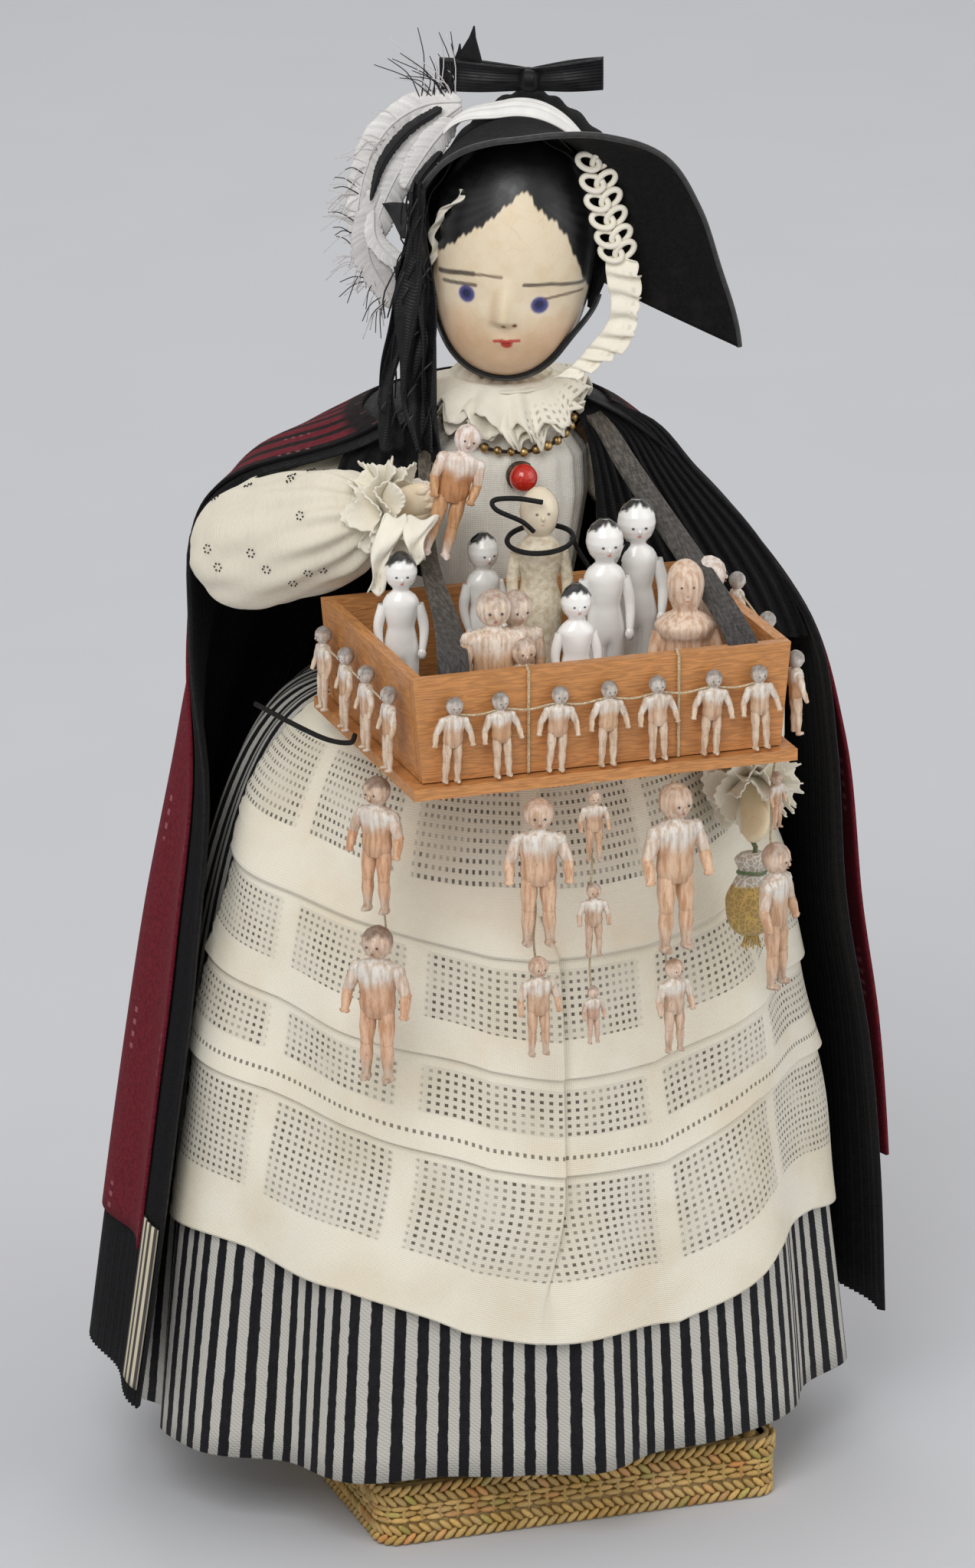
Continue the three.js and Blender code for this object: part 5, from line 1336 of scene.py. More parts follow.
def make_bow():
    bow = Shape(HEAD_POSE)
    middle = np.array((-0.9, 5.4, 28.6))
    # Each loop: the outer edge's upper and lower corner
    for upper, lower in (((-18.0, 4.6, 30.6), (-17.3, 4.6, 24.6)), ((12.3, 4.6, 34.6), (12.9, 4.6, 28.8))):
        upper, lower = np.array(upper), np.array(lower)
        for layer in (-1, 1):
            def loop(u, v):
                pinch = np.interp(u, [0, 0.12, 0.5, 1], [2.1, 2.3, 2.7, 3.15])
                centre = lerp(middle, (upper + lower) / 2, u[..., None])
                upright = unit(upper - lower)
                open_by = layer * (0.15 + 1.0 * np.sin(np.pi * np.minimum(u, 0.97)) ** 0.8)
                crease = 0.35 * np.sin(9 * v + 1.5) * (1 - u) + 0.15 * np.sin(7 * u + 4 * v)
                point = centre + ((v - 0.5) * 2 * pinch)[..., None] * upright
                point[..., 1] += open_by + crease
                return point
            bow.grid(loop, 30, 14, size=(15, 6))
    bow.loft([ellipse((-0.9, 5.2, z), (1, 0, 0), (0, 1, 0), w, d, 24, 0.08, 6)
              for z, w, d in ((26.6, 1.3, 1.3), (27.3, 1.9, 1.9), (28.6, 2.1, 2.2), (29.9, 1.9, 1.9),
                              (30.5, 1.2, 1.2))])
    # Spiky tuft behind the left loop
    for tip, root, half in (((-12.3, 5.6, 37.2), (-12.6, 6, 28.5), 3.2),
                            ((-14.6, 5.8, 33.4), (-14.4, 6, 28.5), 1.4)):
        bow.loft(limb_rings(root, tip, [(0, half, 0.5), (0.4, half * 0.55, 0.4), (0.75, half * 0.16, 0.2),
                                        (1, 0.04, 0.04)], 12,
                            np.array((1.0, 0, 0))))
    dress(bow.build("satin_bow", [black_ribbon], 0.3), "head", "black_silk", "bonnet_bow")


def make_bonnet_ribbons():
    tails = Shape()
    picks = np.random.default_rng(21)
    # Paths down beside the face: top, cheek, jaw, shoulder, with the width of each
    lengths = [
        ([(-21.6, -11.5, 259), (-22.4, -13, 247), (-23.2, -14.5, 234), (-24.2, -16, 222), (-23.2, -19, 209)],
         6.6),
        ([(-20.9, -12.5, 258), (-21.4, -13.6, 246), (-21.2, -15.2, 232), (-21.4, -17, 219),
          (-20.6, -19.6, 207)], 4.2),
        ([(-22.2, -10.5, 257), (-23.8, -11.6, 244), (-26.2, -12.6, 231), (-28.4, -13.8, 220),
          (-28.0, -15.6, 209)], 6.0),
    ]
    for k, (path, width) in enumerate(lengths):
        def tail(u, v):
            spine = points_at(path, v)
            spread = width * (0.8 + 0.3 * np.sin(4.1 * v + k) + 0.12
                              * np.sin(17 * v + 2 * k)) * lerp(0.25, 1.0, ease(0.02, 0.5, v))
            crumple = 0.9 * np.sin(6 * u + 5 * v + 2 * k) + 0.45 * np.sin(15 * v + 9 * u + k)
            return spine + xyz((u - 0.5) * spread, crumple, 0.3 * np.sin(11 * u + k))
        tails.grid(tail, 22, 90, size=(6, 50))
    for k in range(40):
        path, width = lengths[int(picks.integers(0, 3))]
        share = picks.uniform(0.02, 0.9)
        root = points_at(path, np.array(share)) + (picks.uniform(-0.45, 0.3) * width, -0.6, 0)
        end = root + (picks.uniform(-3.2, 0.6), picks.uniform(-1, 0.6), picks.uniform(-9, -3))
        middle = lerp(root, end, 0.5) + (picks.uniform(-1.4, 0.2), -0.4, 0)
        tails.path([root, middle, end], 6, np.linspace(0.1, 0.05, 6), sides=4)
    dress(tails.build("bonnet_ribbon_tails", [black_ribbon], 0.22), "head", "black_silk")

    frill = Shape(HEAD_POSE)
    chain = [(13.4, -9, 19.9), (15.2, -9, 14.1), (17.1, -9, 9.1), (19.1, -9, 4.1), (20.4, -9, 0.2)]
    rows = 6
    for k in range(rows):
        share = (k + 0.35) / rows
        centre = points_at(chain, np.array(share))
        heading = unit(points_at(chain, np.array(min(1, share + 0.02)))
                       - points_at(chain, np.array(max(0, share - 0.02))))
        sideways = unit(np.cross(heading, (0, 1, 0)))
        for side in (-1, 1):
            slant = unit(heading * 0.55 + sideways * side * -0.85)
            broad = unit(np.cross(slant, (0, 1, 0)))
            turn = np.linspace(0, 2 * math.pi, 25)
            middle = centre + sideways * side * 1.25 + np.array((0, 0.25 * side, 0))
            loop = (middle + np.outer(np.cos(turn) * 2.1, slant) + np.outer(np.sin(turn) * 1.25, broad)
                    + np.outer(0.5 * np.sin(turn), (0, 1, 0)))
            frill.tube(loop, 0.46, (0, 0, 0), sides=8)
    strip = [(20.4, -9, 0.6), (21.6, -9, -4.5), (22.2, -9, -9), (21.6, -9, -13.4), (19.0, -9.6, -17.6),
             (15.6, -10.6, -20.8), (12.8, -11.4, -23.2)]

    def lower_lace(u, v):
        spine = points_at(strip, v)
        wave = np.sin(50 * v + 1.5 * np.sin(9 * v)) + 0.5 * np.sin(31 * v + 4 * u)
        width = 5.4 + 0.7 * np.sin(13 * v) - 1.6 * ease(0.6, 1, v)
        scallop = 0.5 * np.abs(np.sin(46 * v)) * ease(0.75, 1, u)
        return spine + xyz((u - 0.5) * width + scallop, 0.55 * wave * (0.5 + 0.8 * u), 0.45 * wave * u)

    frill.grid(lower_lace, 18, 200, tint=lambda u, v: (0.35 * ease(0.5, 0.7, u), 0 * v, 0 * v), size=(6, 27))
    edge = [(-9.9, -9.6, 9.9), (-11.1, -9.6, 7.1), (-13.9, -8, 4.1), (-14.6, -7, 0.5), (-14.4, -7, -2.6),
            (-14.9, -7, -7.2),
            (-14.5, -7, -13), (-13, -8, -18)]

    def left_lace(u, v):
        spine = points_at(edge, v)
        return spine + xyz((u - 0.5) * 1.3 + 0.5 * np.sin(24 * v), 0.6 * np.sin(31 * v + 3 * u), 0 * u)

    frill.grid(left_lace, 8, 120, tint=(0, 0, 0), size=(2, 30))

    def lining(u, v):
        degrees = lerp(-112, 40, u)
        wave = 0.3 * np.sin(np.radians(degrees * 14))
        return rim(degrees, 16.8 + wave, 21.2 + wave, -4.4 - 3.0 * v)

    frill.grid(lining, 140, 5, kind=1, size=(50, 3))
    dress(frill.build("bonnet_lace", [cream_lace, black_ribbon], 0.25), "head", "lace", "bonnet_frill")

    ribbon = Shape(HEAD_POSE)

    def chin(u, v):
        degrees = lerp(116, 246, u)
        y = -7.2 + 3.4 * (np.abs(degrees - 180) / 66) ** 1.5 + 1.9 * (v - 0.5)
        reach = jaw_reach(degrees, y) + 0.6 + 2.2 * ease(150, 118, degrees)
        return rim(degrees, reach, reach, y)

    ribbon.grid(chin, 80, 5, size=(50, 2.2))
    dress(ribbon.build("chin_tie", [black_ribbon], 0.5), "head", "black_silk", "chin_ribbon")


def vane(shape, path, half, tint, seed):
    """A plume's flat vane: a sheet on each side of its shaft, swept back to a lightly ragged edge."""
    picks = np.random.default_rng(seed)
    rows, columns = 110, 12
    shares, reach = np.linspace(0, 1, rows), np.linspace(0, 1, columns)
    spine = points_at(path, shares)
    shape.tube(spine[::4], np.linspace(0.3, 0.1, len(spine[::4])), shade(tint, 0.85), sides=6)
    facing = unit((0.15, -1.0, 0.1))
    heading = np.gradient(spine, axis=0)
    heading = heading / np.linalg.norm(heading, axis=1)[:, None]
    side = np.cross(heading, facing)
    side = side / np.linalg.norm(side, axis=1)[:, None]
    width = half * np.sin(np.pi * lerp(0.2, 1.0, shares)) ** 0.55
    for sign in (-1, 1):
        barbs = np.repeat(picks.uniform(0.88, 1.06, rows // 2), 2)
        out = sign * (width * barbs)[:, None, None] * reach[None, :, None] * side[:, None]
        swept = (0.7 * width)[:, None, None] * (reach**1.5)[None, :, None] * heading[:, None]
        curl = (-0.22 * half * reach**2)[None, :, None] * facing
        curl = curl + 0.05 * ((np.arange(rows) % 2) - 0.5)[:, None, None] * facing
        streak = np.repeat(picks.uniform(0.84, 1.04, rows // 2), 2)[:, None, None]
        streak = streak * lerp(0.92, 1.0, reach)[None, :, None]
        tints = np.clip(np.array(tint) * streak, 0, 1)
        where = np.stack(np.meshgrid(reach, shares), -1)
        shape.quads(spine[:, None] + out + swept + curl, where, tints.reshape(-1, 3), 0, False)


def make_feathers():
    plumes = Shape(HEAD_POSE)
    white, grey, black = (0.84, 0.82, 0.80), (0.66, 0.63, 0.62), (0.012, 0.012, 0.014)
    vane(plumes, [(-13, 3, 23.4), (-20, 3.2, 21.6), (-26, 3, 16.5), (-29.3, 2.6, 8.5), (-30, 1.8, -0.5),
                  (-28.6, 1, -9)], 3.0, white, 1)
    vane(plumes, [(-13, 3, 22.6), (-18.2, 2, 17.4), (-21.8, 1.4, 11.5), (-24.4, 1, 5.2), (-26, 0.8, -1),
                  (-26, 0.8, -5)], 3.9, white, 2)
    vane(plumes, [(-14, 2, 20), (-17.2, 0.8, 15.2), (-19.6, 0.3, 10.6), (-21.6, 0.2, 6)], 2.9, white, 3)
    vane(plumes, [(-26, 1.2, 5), (-27.6, 0.6, -2), (-26.8, 0.2, -8), (-23.4, 0, -13.2), (-21.4, 0, -17)], 3.0,
         grey, 4)
    vane(plumes, [(-27, 0.6, 1), (-26, 0, -4), (-22.6, -0.4, -7.2), (-18.6, -0.4, -7.4)], 1.9, white, 5)
    vane(plumes, [(-16.4, 1.4, 22), (-22.3, 0.2, 17), (-26.2, -0.4, 10.4), (-27.6, -0.4, 3)], 1.1, black, 6)
    vane(plumes, [(-15.5, 1.0, 13.8), (-18.8, -0.6, 8.6), (-20.4, -0.8, 4)], 1.0, black, 7)
    dress(plumes.build("bonnet_plumes", [soft_feather], 0.1, crease=180), "head", "feather",
          "bonnet_feathers")

    wisps = Shape(HEAD_POSE)
    picks = np.random.default_rng(11)

    def hair(start, end, bow, tint, thick):
        middle = lerp(np.asarray(start, float), np.asarray(end, float), 0.5) + bow
        wisps.path([start, middle, end], 8, np.linspace(thick, 0.03, 8), tint, sides=4)

    for k in range(26):
        start = np.array((-14 - 7 * picks.random(), 3.5, 22.5 + 2.5 * picks.random()))
        aim = math.radians(picks.uniform(88, 172))
        reach = picks.uniform(5, 14)
        end = start + (reach * math.cos(aim), picks.uniform(-2, 2), min(reach * math.sin(aim), 36 - start[2]))
        hair(start, end, (0.8, 0, 0.8), black if k % 3 else grey, 0.055)
    outer = [(-24, 3, 18.5), (-29, 2.6, 9), (-30.2, 1.8, -0.5), (-28.6, 1, -9), (-24, 0.5, -14)]
    for k in range(60):
        start = points_at(outer, np.array(picks.random()))
        end = start + (picks.uniform(-6.5, -2), picks.uniform(-2, 2), picks.uniform(-5, 2.5))
        hair(start, end, (-0.4, 0, 0.8), black if k % 6 == 0 else grey, 0.055)
    for k in range(26):
        start = points_at([(-27, 1, -3), (-25, 0.5, -10), (-22, 0, -16)], np.array(picks.random()))
        end = start + (picks.uniform(-5, 1), picks.uniform(-2, 1), picks.uniform(-9, -4))
        hair(start, end, (-0.8, 0, 0.5), black if k % 3 == 0 else grey, 0.055)
    # Scraps of black ribbon among the plumes
    for corners in (((-25.4, -1.2, 3), (-17, -1.6, 4.5), (-15.6, -1.6, -2), (-21, -1.4, -3)),
                    ((-22, -1.0, -9), (-16.5, -1.4, -6), (-15.4, -1.4, -14), (-20, -1.2, -16))):
        first, second, third, fourth = (np.array(corner) for corner in corners)

        def scrap(u, v):
            point = lerp(lerp(first, second, u[..., None]), lerp(fourth, third, u[..., None]), v[..., None])
            point[..., 1] += 0.7 * np.sin(7 * u + 4 * v)
            return point

        wisps.grid(scrap, 14, 14, tint=black)
    dress(wisps.build("feather_wisps", [soft_feather], 0.12, crease=180), "head", "feather")


# Tray and its strap
def in_tray(across, deep, radius):
    return np.array((across * (TRAY_LOW_WIDE - TRAY_BOARD - 0.3 - radius),
                     deep * (TRAY_HALF_DEEP - TRAY_BOARD - 0.3 - radius), 2.5))


def tray_shape():
    return Shape(np.array(Matrix.Translation(TRAY_PLACE)))


def make_tray():
    for node in ("tray_bottom", "tray_front", "tray_back", "tray_left_end", "tray_right_end"):
        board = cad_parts[node]
        board.data.materials.clear()
        board.data.materials.append(finish(cedar_end if "end" in node else cedar_long))
        bevel = board.modifiers.new("Worn edges", "BEVEL")
        bevel.width = 0.45 * MM
        bevel.segments = 3

    lining = tray_shape()
    half_x, half_y = TRAY_LOW_WIDE - TRAY_BOARD - 0.15, TRAY_HALF_DEEP - TRAY_BOARD - 0.15
    lining.grid(lambda u, v: xyz(lerp(-half_x, half_x, u), lerp(-half_y, half_y, v),
                                       2.36 + 0.1 * np.sin(23 * u) * np.sin(17 * v)), 40, 30,
                size=(64, 48))
    piece = dress(lining.build("green_lining", [tray_lining], 0.2), "tray", "felt")

    path = [(-30.5, -71.7, 176.6), (-30.5, -71.1, 185.1), (-26, -54, 187.5), (-22.5, -34, 192.5),
            (-18.5, -20, 202),
            (-15.5, -11, 210), (-8.5, 1.5, 215.1), (2, 5.8, 216.5), (12.5, 1.5, 215.1), (18.5, -11, 210),
            (20.5, -26, 203),
            (24.5, -71.1, 185.1), (24.5, -71.7, 176.6)]
    shares = np.linspace(0, 1, 120)
    spine = points_at(path, shares) + (DOLL_X, 0, 0)
    headings = np.gradient(spine, axis=0)
    strap = Shape()
    rings, tints = [], []
    for point, heading, share in zip(spine, headings, shares):
        heading = unit(heading)
        round_neck = math.exp(-((share - 0.5) / 0.16) ** 2)
        breadth = lerp(unit(np.array((1.0, 0, 0)) - heading * heading[0]), np.array((0, 0, 1.0)), round_neck)
        breadth = unit(breadth - heading * np.dot(breadth, heading))
        thin = np.cross(heading, breadth)
        low = 1 - ease(0.04, 0.36, share) + ease(0.62, 0.98, share)
        half, thick = 1.25 + 1.75 * low, 0.42
        tints.append(lerp(np.array((0.13, 0.11, 0.085)), np.array((0.045, 0.042, 0.042)), low))
        rings.append([point + breadth * half * a + thin * thick * b for a, b in
                      ((-1, -0.4), (-0.9, -1), (0, -0.8), (0.9, -1), (1, -0.4), (1, 0.4), (0.9, 1), (0, 0.8),
                       (-0.9, 1), (-1, 0.4))])
    strap.loft(rings, np.array(tints), length=240)
    piece = strap.build("neck_strap", [worn_strap])
    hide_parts("tray_strap")
    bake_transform(piece)

    ties = tray_shape()
    cream, dark = (0.66, 0.55, 0.36), (0.012, 0.011, 0.011)
    for x in (-14.5, 14.5):
        ties.tube([(x, -27.2 - 0.25, 2.6), (x, -27.45, 21.9), (x, -26.2, 22.7), (x, -24.6, 21.5),
                   (x, -24.5, 17)], 0.28, cream)
    dress(ties.build("tray_ties", [waxed_thread]), "tray", "linen")

    cord = tray_shape()
    turn = np.linspace(0, 1, 30)
    cord.tube(points_at([(-50, 25, 3.4), (-46, 15, 2.2), (-42, 7, 1.2), (-38.9, 2.5, 1.6), (-38.2, 1.5, 3.4)],
                        turn), 0.5, dark, sides=8)
    dress(cord.build("black_tray_cord", [waxed_thread]), "tray", "strap")


# Small dolls
def peg_doll(shape, place, h, turn=0.0, lean=0.0, arms=0.1, wood=(0.66, 0.45, 0.30), yoke=(0.78, 0.74, 0.68),
             hair=(0.34, 0.32, 0.30), face=(0.74, 0.69, 0.62), shoes=(0.62, 0.5, 0.4), limbs=None, base=None,
             seed=0):
    """A jointed wooden doll that stands at a place and looks to the front."""
    kept = shape.placing
    shape.placing = kept @ pose(place, turn, lean) if base is None else kept @ base
    wood, yoke, hair, face = (np.array(value) for value in (wood, yoke, hair, face))
    limbs = np.array(limbs) if limbs else wood * 1.08
    sides = 16
    stations = [(0.405, 0.06, 0.04), (0.42, 0.105, 0.066), (0.5, 0.122, 0.072), (0.57, 0.115, 0.07),
                (0.66, 0.135, 0.078),
                (0.73, 0.155, 0.08), (0.765, 0.12, 0.07), (0.785, 0.05, 0.05), (0.8, 0.046, 0.046),
                (0.82, 0.07, 0.07),
                (0.86, 0.093, 0.092), (0.9, 0.1, 0.1), (0.94, 0.094, 0.094), (0.975, 0.07, 0.07),
                (1.0, 0.03, 0.03)]
    columns = [[station[k] for station in stations] for k in range(3)]
    angle = 2 * np.pi * np.arange(sides) / sides
    back = np.sin(angle)
    rings, tints = [], []
    for z in np.interp(np.linspace(0, 1, 43), np.linspace(0, 1, len(stations)), columns[0]):
        half_w, half_d = (np.interp(z, columns[0], columns[k]) * h for k in (1, 2))
        rings.append(ellipse((0, 0, z * h), (1, 0, 0), (0, 1, 0), half_w, half_d, sides))
        ragged = 0.02 * np.sin(3 * angle + seed) + 0.012 * np.sin(7 * angle + 2 * seed)
        whitened = ease(0.6, 0.69, z + ragged)[:, None]
        body = lerp(wood * (1 - 0.16 * ease(0.5, 0.42, np.full(sides, z)))[:, None], yoke, whitened)
        hairy = np.maximum(ease(0.925, 0.95, z + ragged + 0.02 * np.cos(2 * angle)),
                           ease(0.25, 0.5, back))[:, None]
        tints.append(np.where(z > 0.8, lerp(face, hair, hairy), body))
    shape.loft(rings, np.array(tints))
    for side in (-1, 1):
        shoulder = np.array((side * 0.137 * h, 0, 0.715 * h))
        hand = np.array((side * (0.15 + 0.8 * arms) * h, -0.06 * h, 0.43 * h))
        elbow = lerp(shoulder, hand, 0.5) + (side * 0.025 * h, 0.02 * h, 0)
        r = 0.043 * h
        upper = lerp(yoke, limbs, 0.35)
        shape.ball(shoulder, r * 1.2, yoke, sides=8, rows=5)
        shape.loft(limb_rings(shoulder, elbow, [(0, r), (0.5, r * 1.05), (1, r * 0.8)], 8), upper)
        shape.ball(elbow, r * 0.9, limbs, sides=8, rows=5)
        lower = [(0, r * 0.8), (0.4, r * 0.85), (0.8, r * 0.6), (0.9, r * 0.9, r * 0.6),
                 (1, r * 0.5, r * 0.4)]
        shape.loft(limb_rings(elbow, hand, lower, 8), limbs)
        hip = np.array((side * 0.06 * h, 0, 0.45 * h))
        foot = np.array((side * 0.074 * h, -0.01 * h, 0.02 * h))
        knee = lerp(hip, foot, 0.47) + (0, -0.012 * h, 0)
        r = 0.054 * h
        shape.loft(limb_rings(hip, knee, [(0, r), (0.5, r * 1.05), (1, r * 0.75)], 8), limbs)
        shape.ball(knee, r * 0.85, limbs * 0.9, sides=8, rows=5)
        shin = limb_rings(knee, foot, [(0, r * 0.75), (0.35, r * 0.85), (0.75, r * 0.6), (1, r * 0.55)], 8)
        shape.loft(shin, np.array([lerp(limbs, np.array(shoes), share) for share in (0, 0.1, 0.7, 1)]))
        sole = [(0, r * 0.6, r * 0.5), (0.4, r * 0.75, r * 0.5), (1, r * 0.35, r * 0.3)]
        shape.loft(limb_rings(foot + (0, 0.02 * h, 0), foot + (0, -0.065 * h, -0.005 * h), sole, 8), shoes)
        shape.ball((side * 0.034 * h, -0.094 * h, 0.888 * h), (0.009 * h, 0.006 * h, 0.009 * h),
                   (0.1, 0.09, 0.09), sides=6, rows=4)
    shape.ball((0, -0.1 * h, 0.868 * h), (0.01 * h, 0.012 * h, 0.016 * h), face, sides=6, rows=4)
    shape.ball((0, -0.09 * h, 0.84 * h), (0.013 * h, 0.006 * h, 0.006 * h), (0.5, 0.2, 0.16), sides=6, rows=4)
    shape.placing = kept


def make_row_dolls():
    thread = (0.7, 0.6, 0.42)
    woods = [(0.66, 0.47, 0.33), (0.60, 0.38, 0.22), (0.64, 0.44, 0.30), (0.66, 0.45, 0.29),
             (0.70, 0.52, 0.38), (0.62, 0.43, 0.30),
             (0.66, 0.48, 0.34)]
    plain = dict(hair=(0.33, 0.32, 0.31), face=(0.6, 0.57, 0.53), shoes=(0.7, 0.58, 0.46),
                 limbs=(0.74, 0.60, 0.46))
    row = tray_shape()
    leans = [3, -2, 4, 2, -1, 3, -2]
    for k in range(7):
        peg_doll(row, ((k - 3) * 10, -28.97, 3.0), 16, 6 * math.sin(2.3 * k), leans[k], wood=woods[k], seed=k,
                 **plain)
    x = np.linspace(-30, 30, 60)
    row.tube(xyz(x, -28.97 + 0 * x, 15.5 + 0.3 * np.cos(0.628 * x)), 0.2, thread, 1)
    dress(row.build("front_row_of_dolls", [toy_wood, waxed_thread]), "tray", "pale_wood", "front_row_dolls")

    for side, name, places, slope in ((-1, "left", np.linspace(-19, 19, 4), 0.0),
                                      (1, "right", np.linspace(-24.4, 6, 3), 0.2)):
        row = tray_shape()
        for k, y in enumerate(places):
            peg_doll(row, (side * 38.47, y, 3.0 + slope * (y + 27)), 16, side * 90 + 8 * math.sin(3 * k),
                     2 * math.sin(4 * k),
                     wood=woods[k + 1], seed=k + 9, **plain)
        y = np.linspace(places[0], places[-1], 50)
        row.tube(xyz(side * (38.6 + 0 * y), y, 15.5 + slope * (y + 27)), 0.2, thread, 1)
        dress(row.build(f"{name}_row_of_dolls", [toy_wood, waxed_thread]), "tray", "pale_wood",
              f"{name}_row_dolls")


def china_doll(shape, place, h, bust, turn, cap=0.0):
    """A glazed doll; a larger cap paints more of its head black."""
    kept = shape.placing
    shape.placing = kept @ pose(place, turn)
    white, hair = np.array((0.93, 0.92, 0.89)), np.array((0.012, 0.012, 0.014))
    stations = [(0, 0.075, 0.06), (0.02, 0.095, 0.085), (0.3, 0.098, 0.085), (0.46, 0.1, 0.08),
                (0.58, 0.075, 0.065),
                (0.66, 0.09, 0.074), (0.72, bust, 0.075), (0.755, 0.085, 0.065), (0.785, 0.045, 0.045),
                (0.8, 0.046, 0.046),
                (0.83, 0.072, 0.074), (0.86, 0.084, 0.086), (0.89, 0.09, 0.09), (0.93, 0.084, 0.084),
                (0.97, 0.06, 0.06), (1, 0.025, 0.025)]
    columns = [[station[k] for station in stations] for k in range(3)]
    sides = 28
    angle = 2 * np.pi * np.arange(sides) / sides
    back = np.sin(angle)
    rings, tints = [], []
    for z in np.concatenate([np.linspace(0, 0.78, 40), np.linspace(0.785, 1, 30)]):
        half_w, half_d = (np.interp(z, columns[0], columns[k]) * h for k in (1, 2))
        ring = ellipse((0, 0, z * h), (1, 0, 0), (0, 1, 0), half_w, half_d, sides)
        groove = 0.5 * hump(np.cos(angle), 0.16) * (1 - ease(0.36, 0.44, z))
        ring[:, :2] *= (1 - groove)[:, None]
        tint = np.tile(white, (sides, 1))
        if z > 0.8:
            edge = 0.965 - cap + 0.02 * np.cos(2 * angle + math.pi) + 0.008 * np.cos(9 * angle)
            hairy = np.maximum(ease(-0.006, 0.006, z - edge), ease(0.42, 0.5, back))
            ring[:, :2] *= (1 + 0.05 * hairy)[:, None]
            blush = hump(np.hypot(np.abs(np.cos(angle)) - 0.55, (z - 0.853) * 22), 0.34) * (back < 0)
            skin = lerp(white, np.array((0.85, 0.6, 0.52)), 0.3 * blush[:, None])
            tint = lerp(skin, hair, hairy[:, None])
        rings.append(ring)
        tints.append(tint)
    shape.loft(rings, np.array(tints))
    for side in (-1, 1):
        shoulder, hand = np.array((side * 0.095 * h, 0,
                                   0.705 * h)), np.array((side * 0.11 * h, -0.055 * h, 0.44 * h))
        elbow = lerp(shoulder, hand, 0.5) + (side * 0.022 * h, 0.02 * h, 0)
        r = 0.03 * h
        radii = np.interp(np.linspace(0, 1, 12), [0, 0.3, 0.85, 1], [r, r * 1.05, r * 0.7, r * 0.5])
        shape.path([shoulder, elbow, hand], 12, radii, white, sides=10)
        shape.ball(hand, (r * 0.8, r * 0.6, r * 1.1), white, sides=8, rows=5)
        shape.ball((side * 0.03 * h, -0.085 * h, 0.882 * h), (0.008 * h, 0.005 * h, 0.006 * h),
                   (0.06, 0.06, 0.08), sides=8, rows=5)
    shape.ball((0, -0.09 * h, 0.865 * h), (0.008 * h, 0.01 * h, 0.012 * h), white * 0.97, sides=8, rows=5)
    shape.ball((0, -0.081 * h, 0.843 * h), (0.01 * h, 0.005 * h, 0.005 * h), (0.6, 0.16, 0.14), sides=8,
               rows=5)
    shape.placing = kept


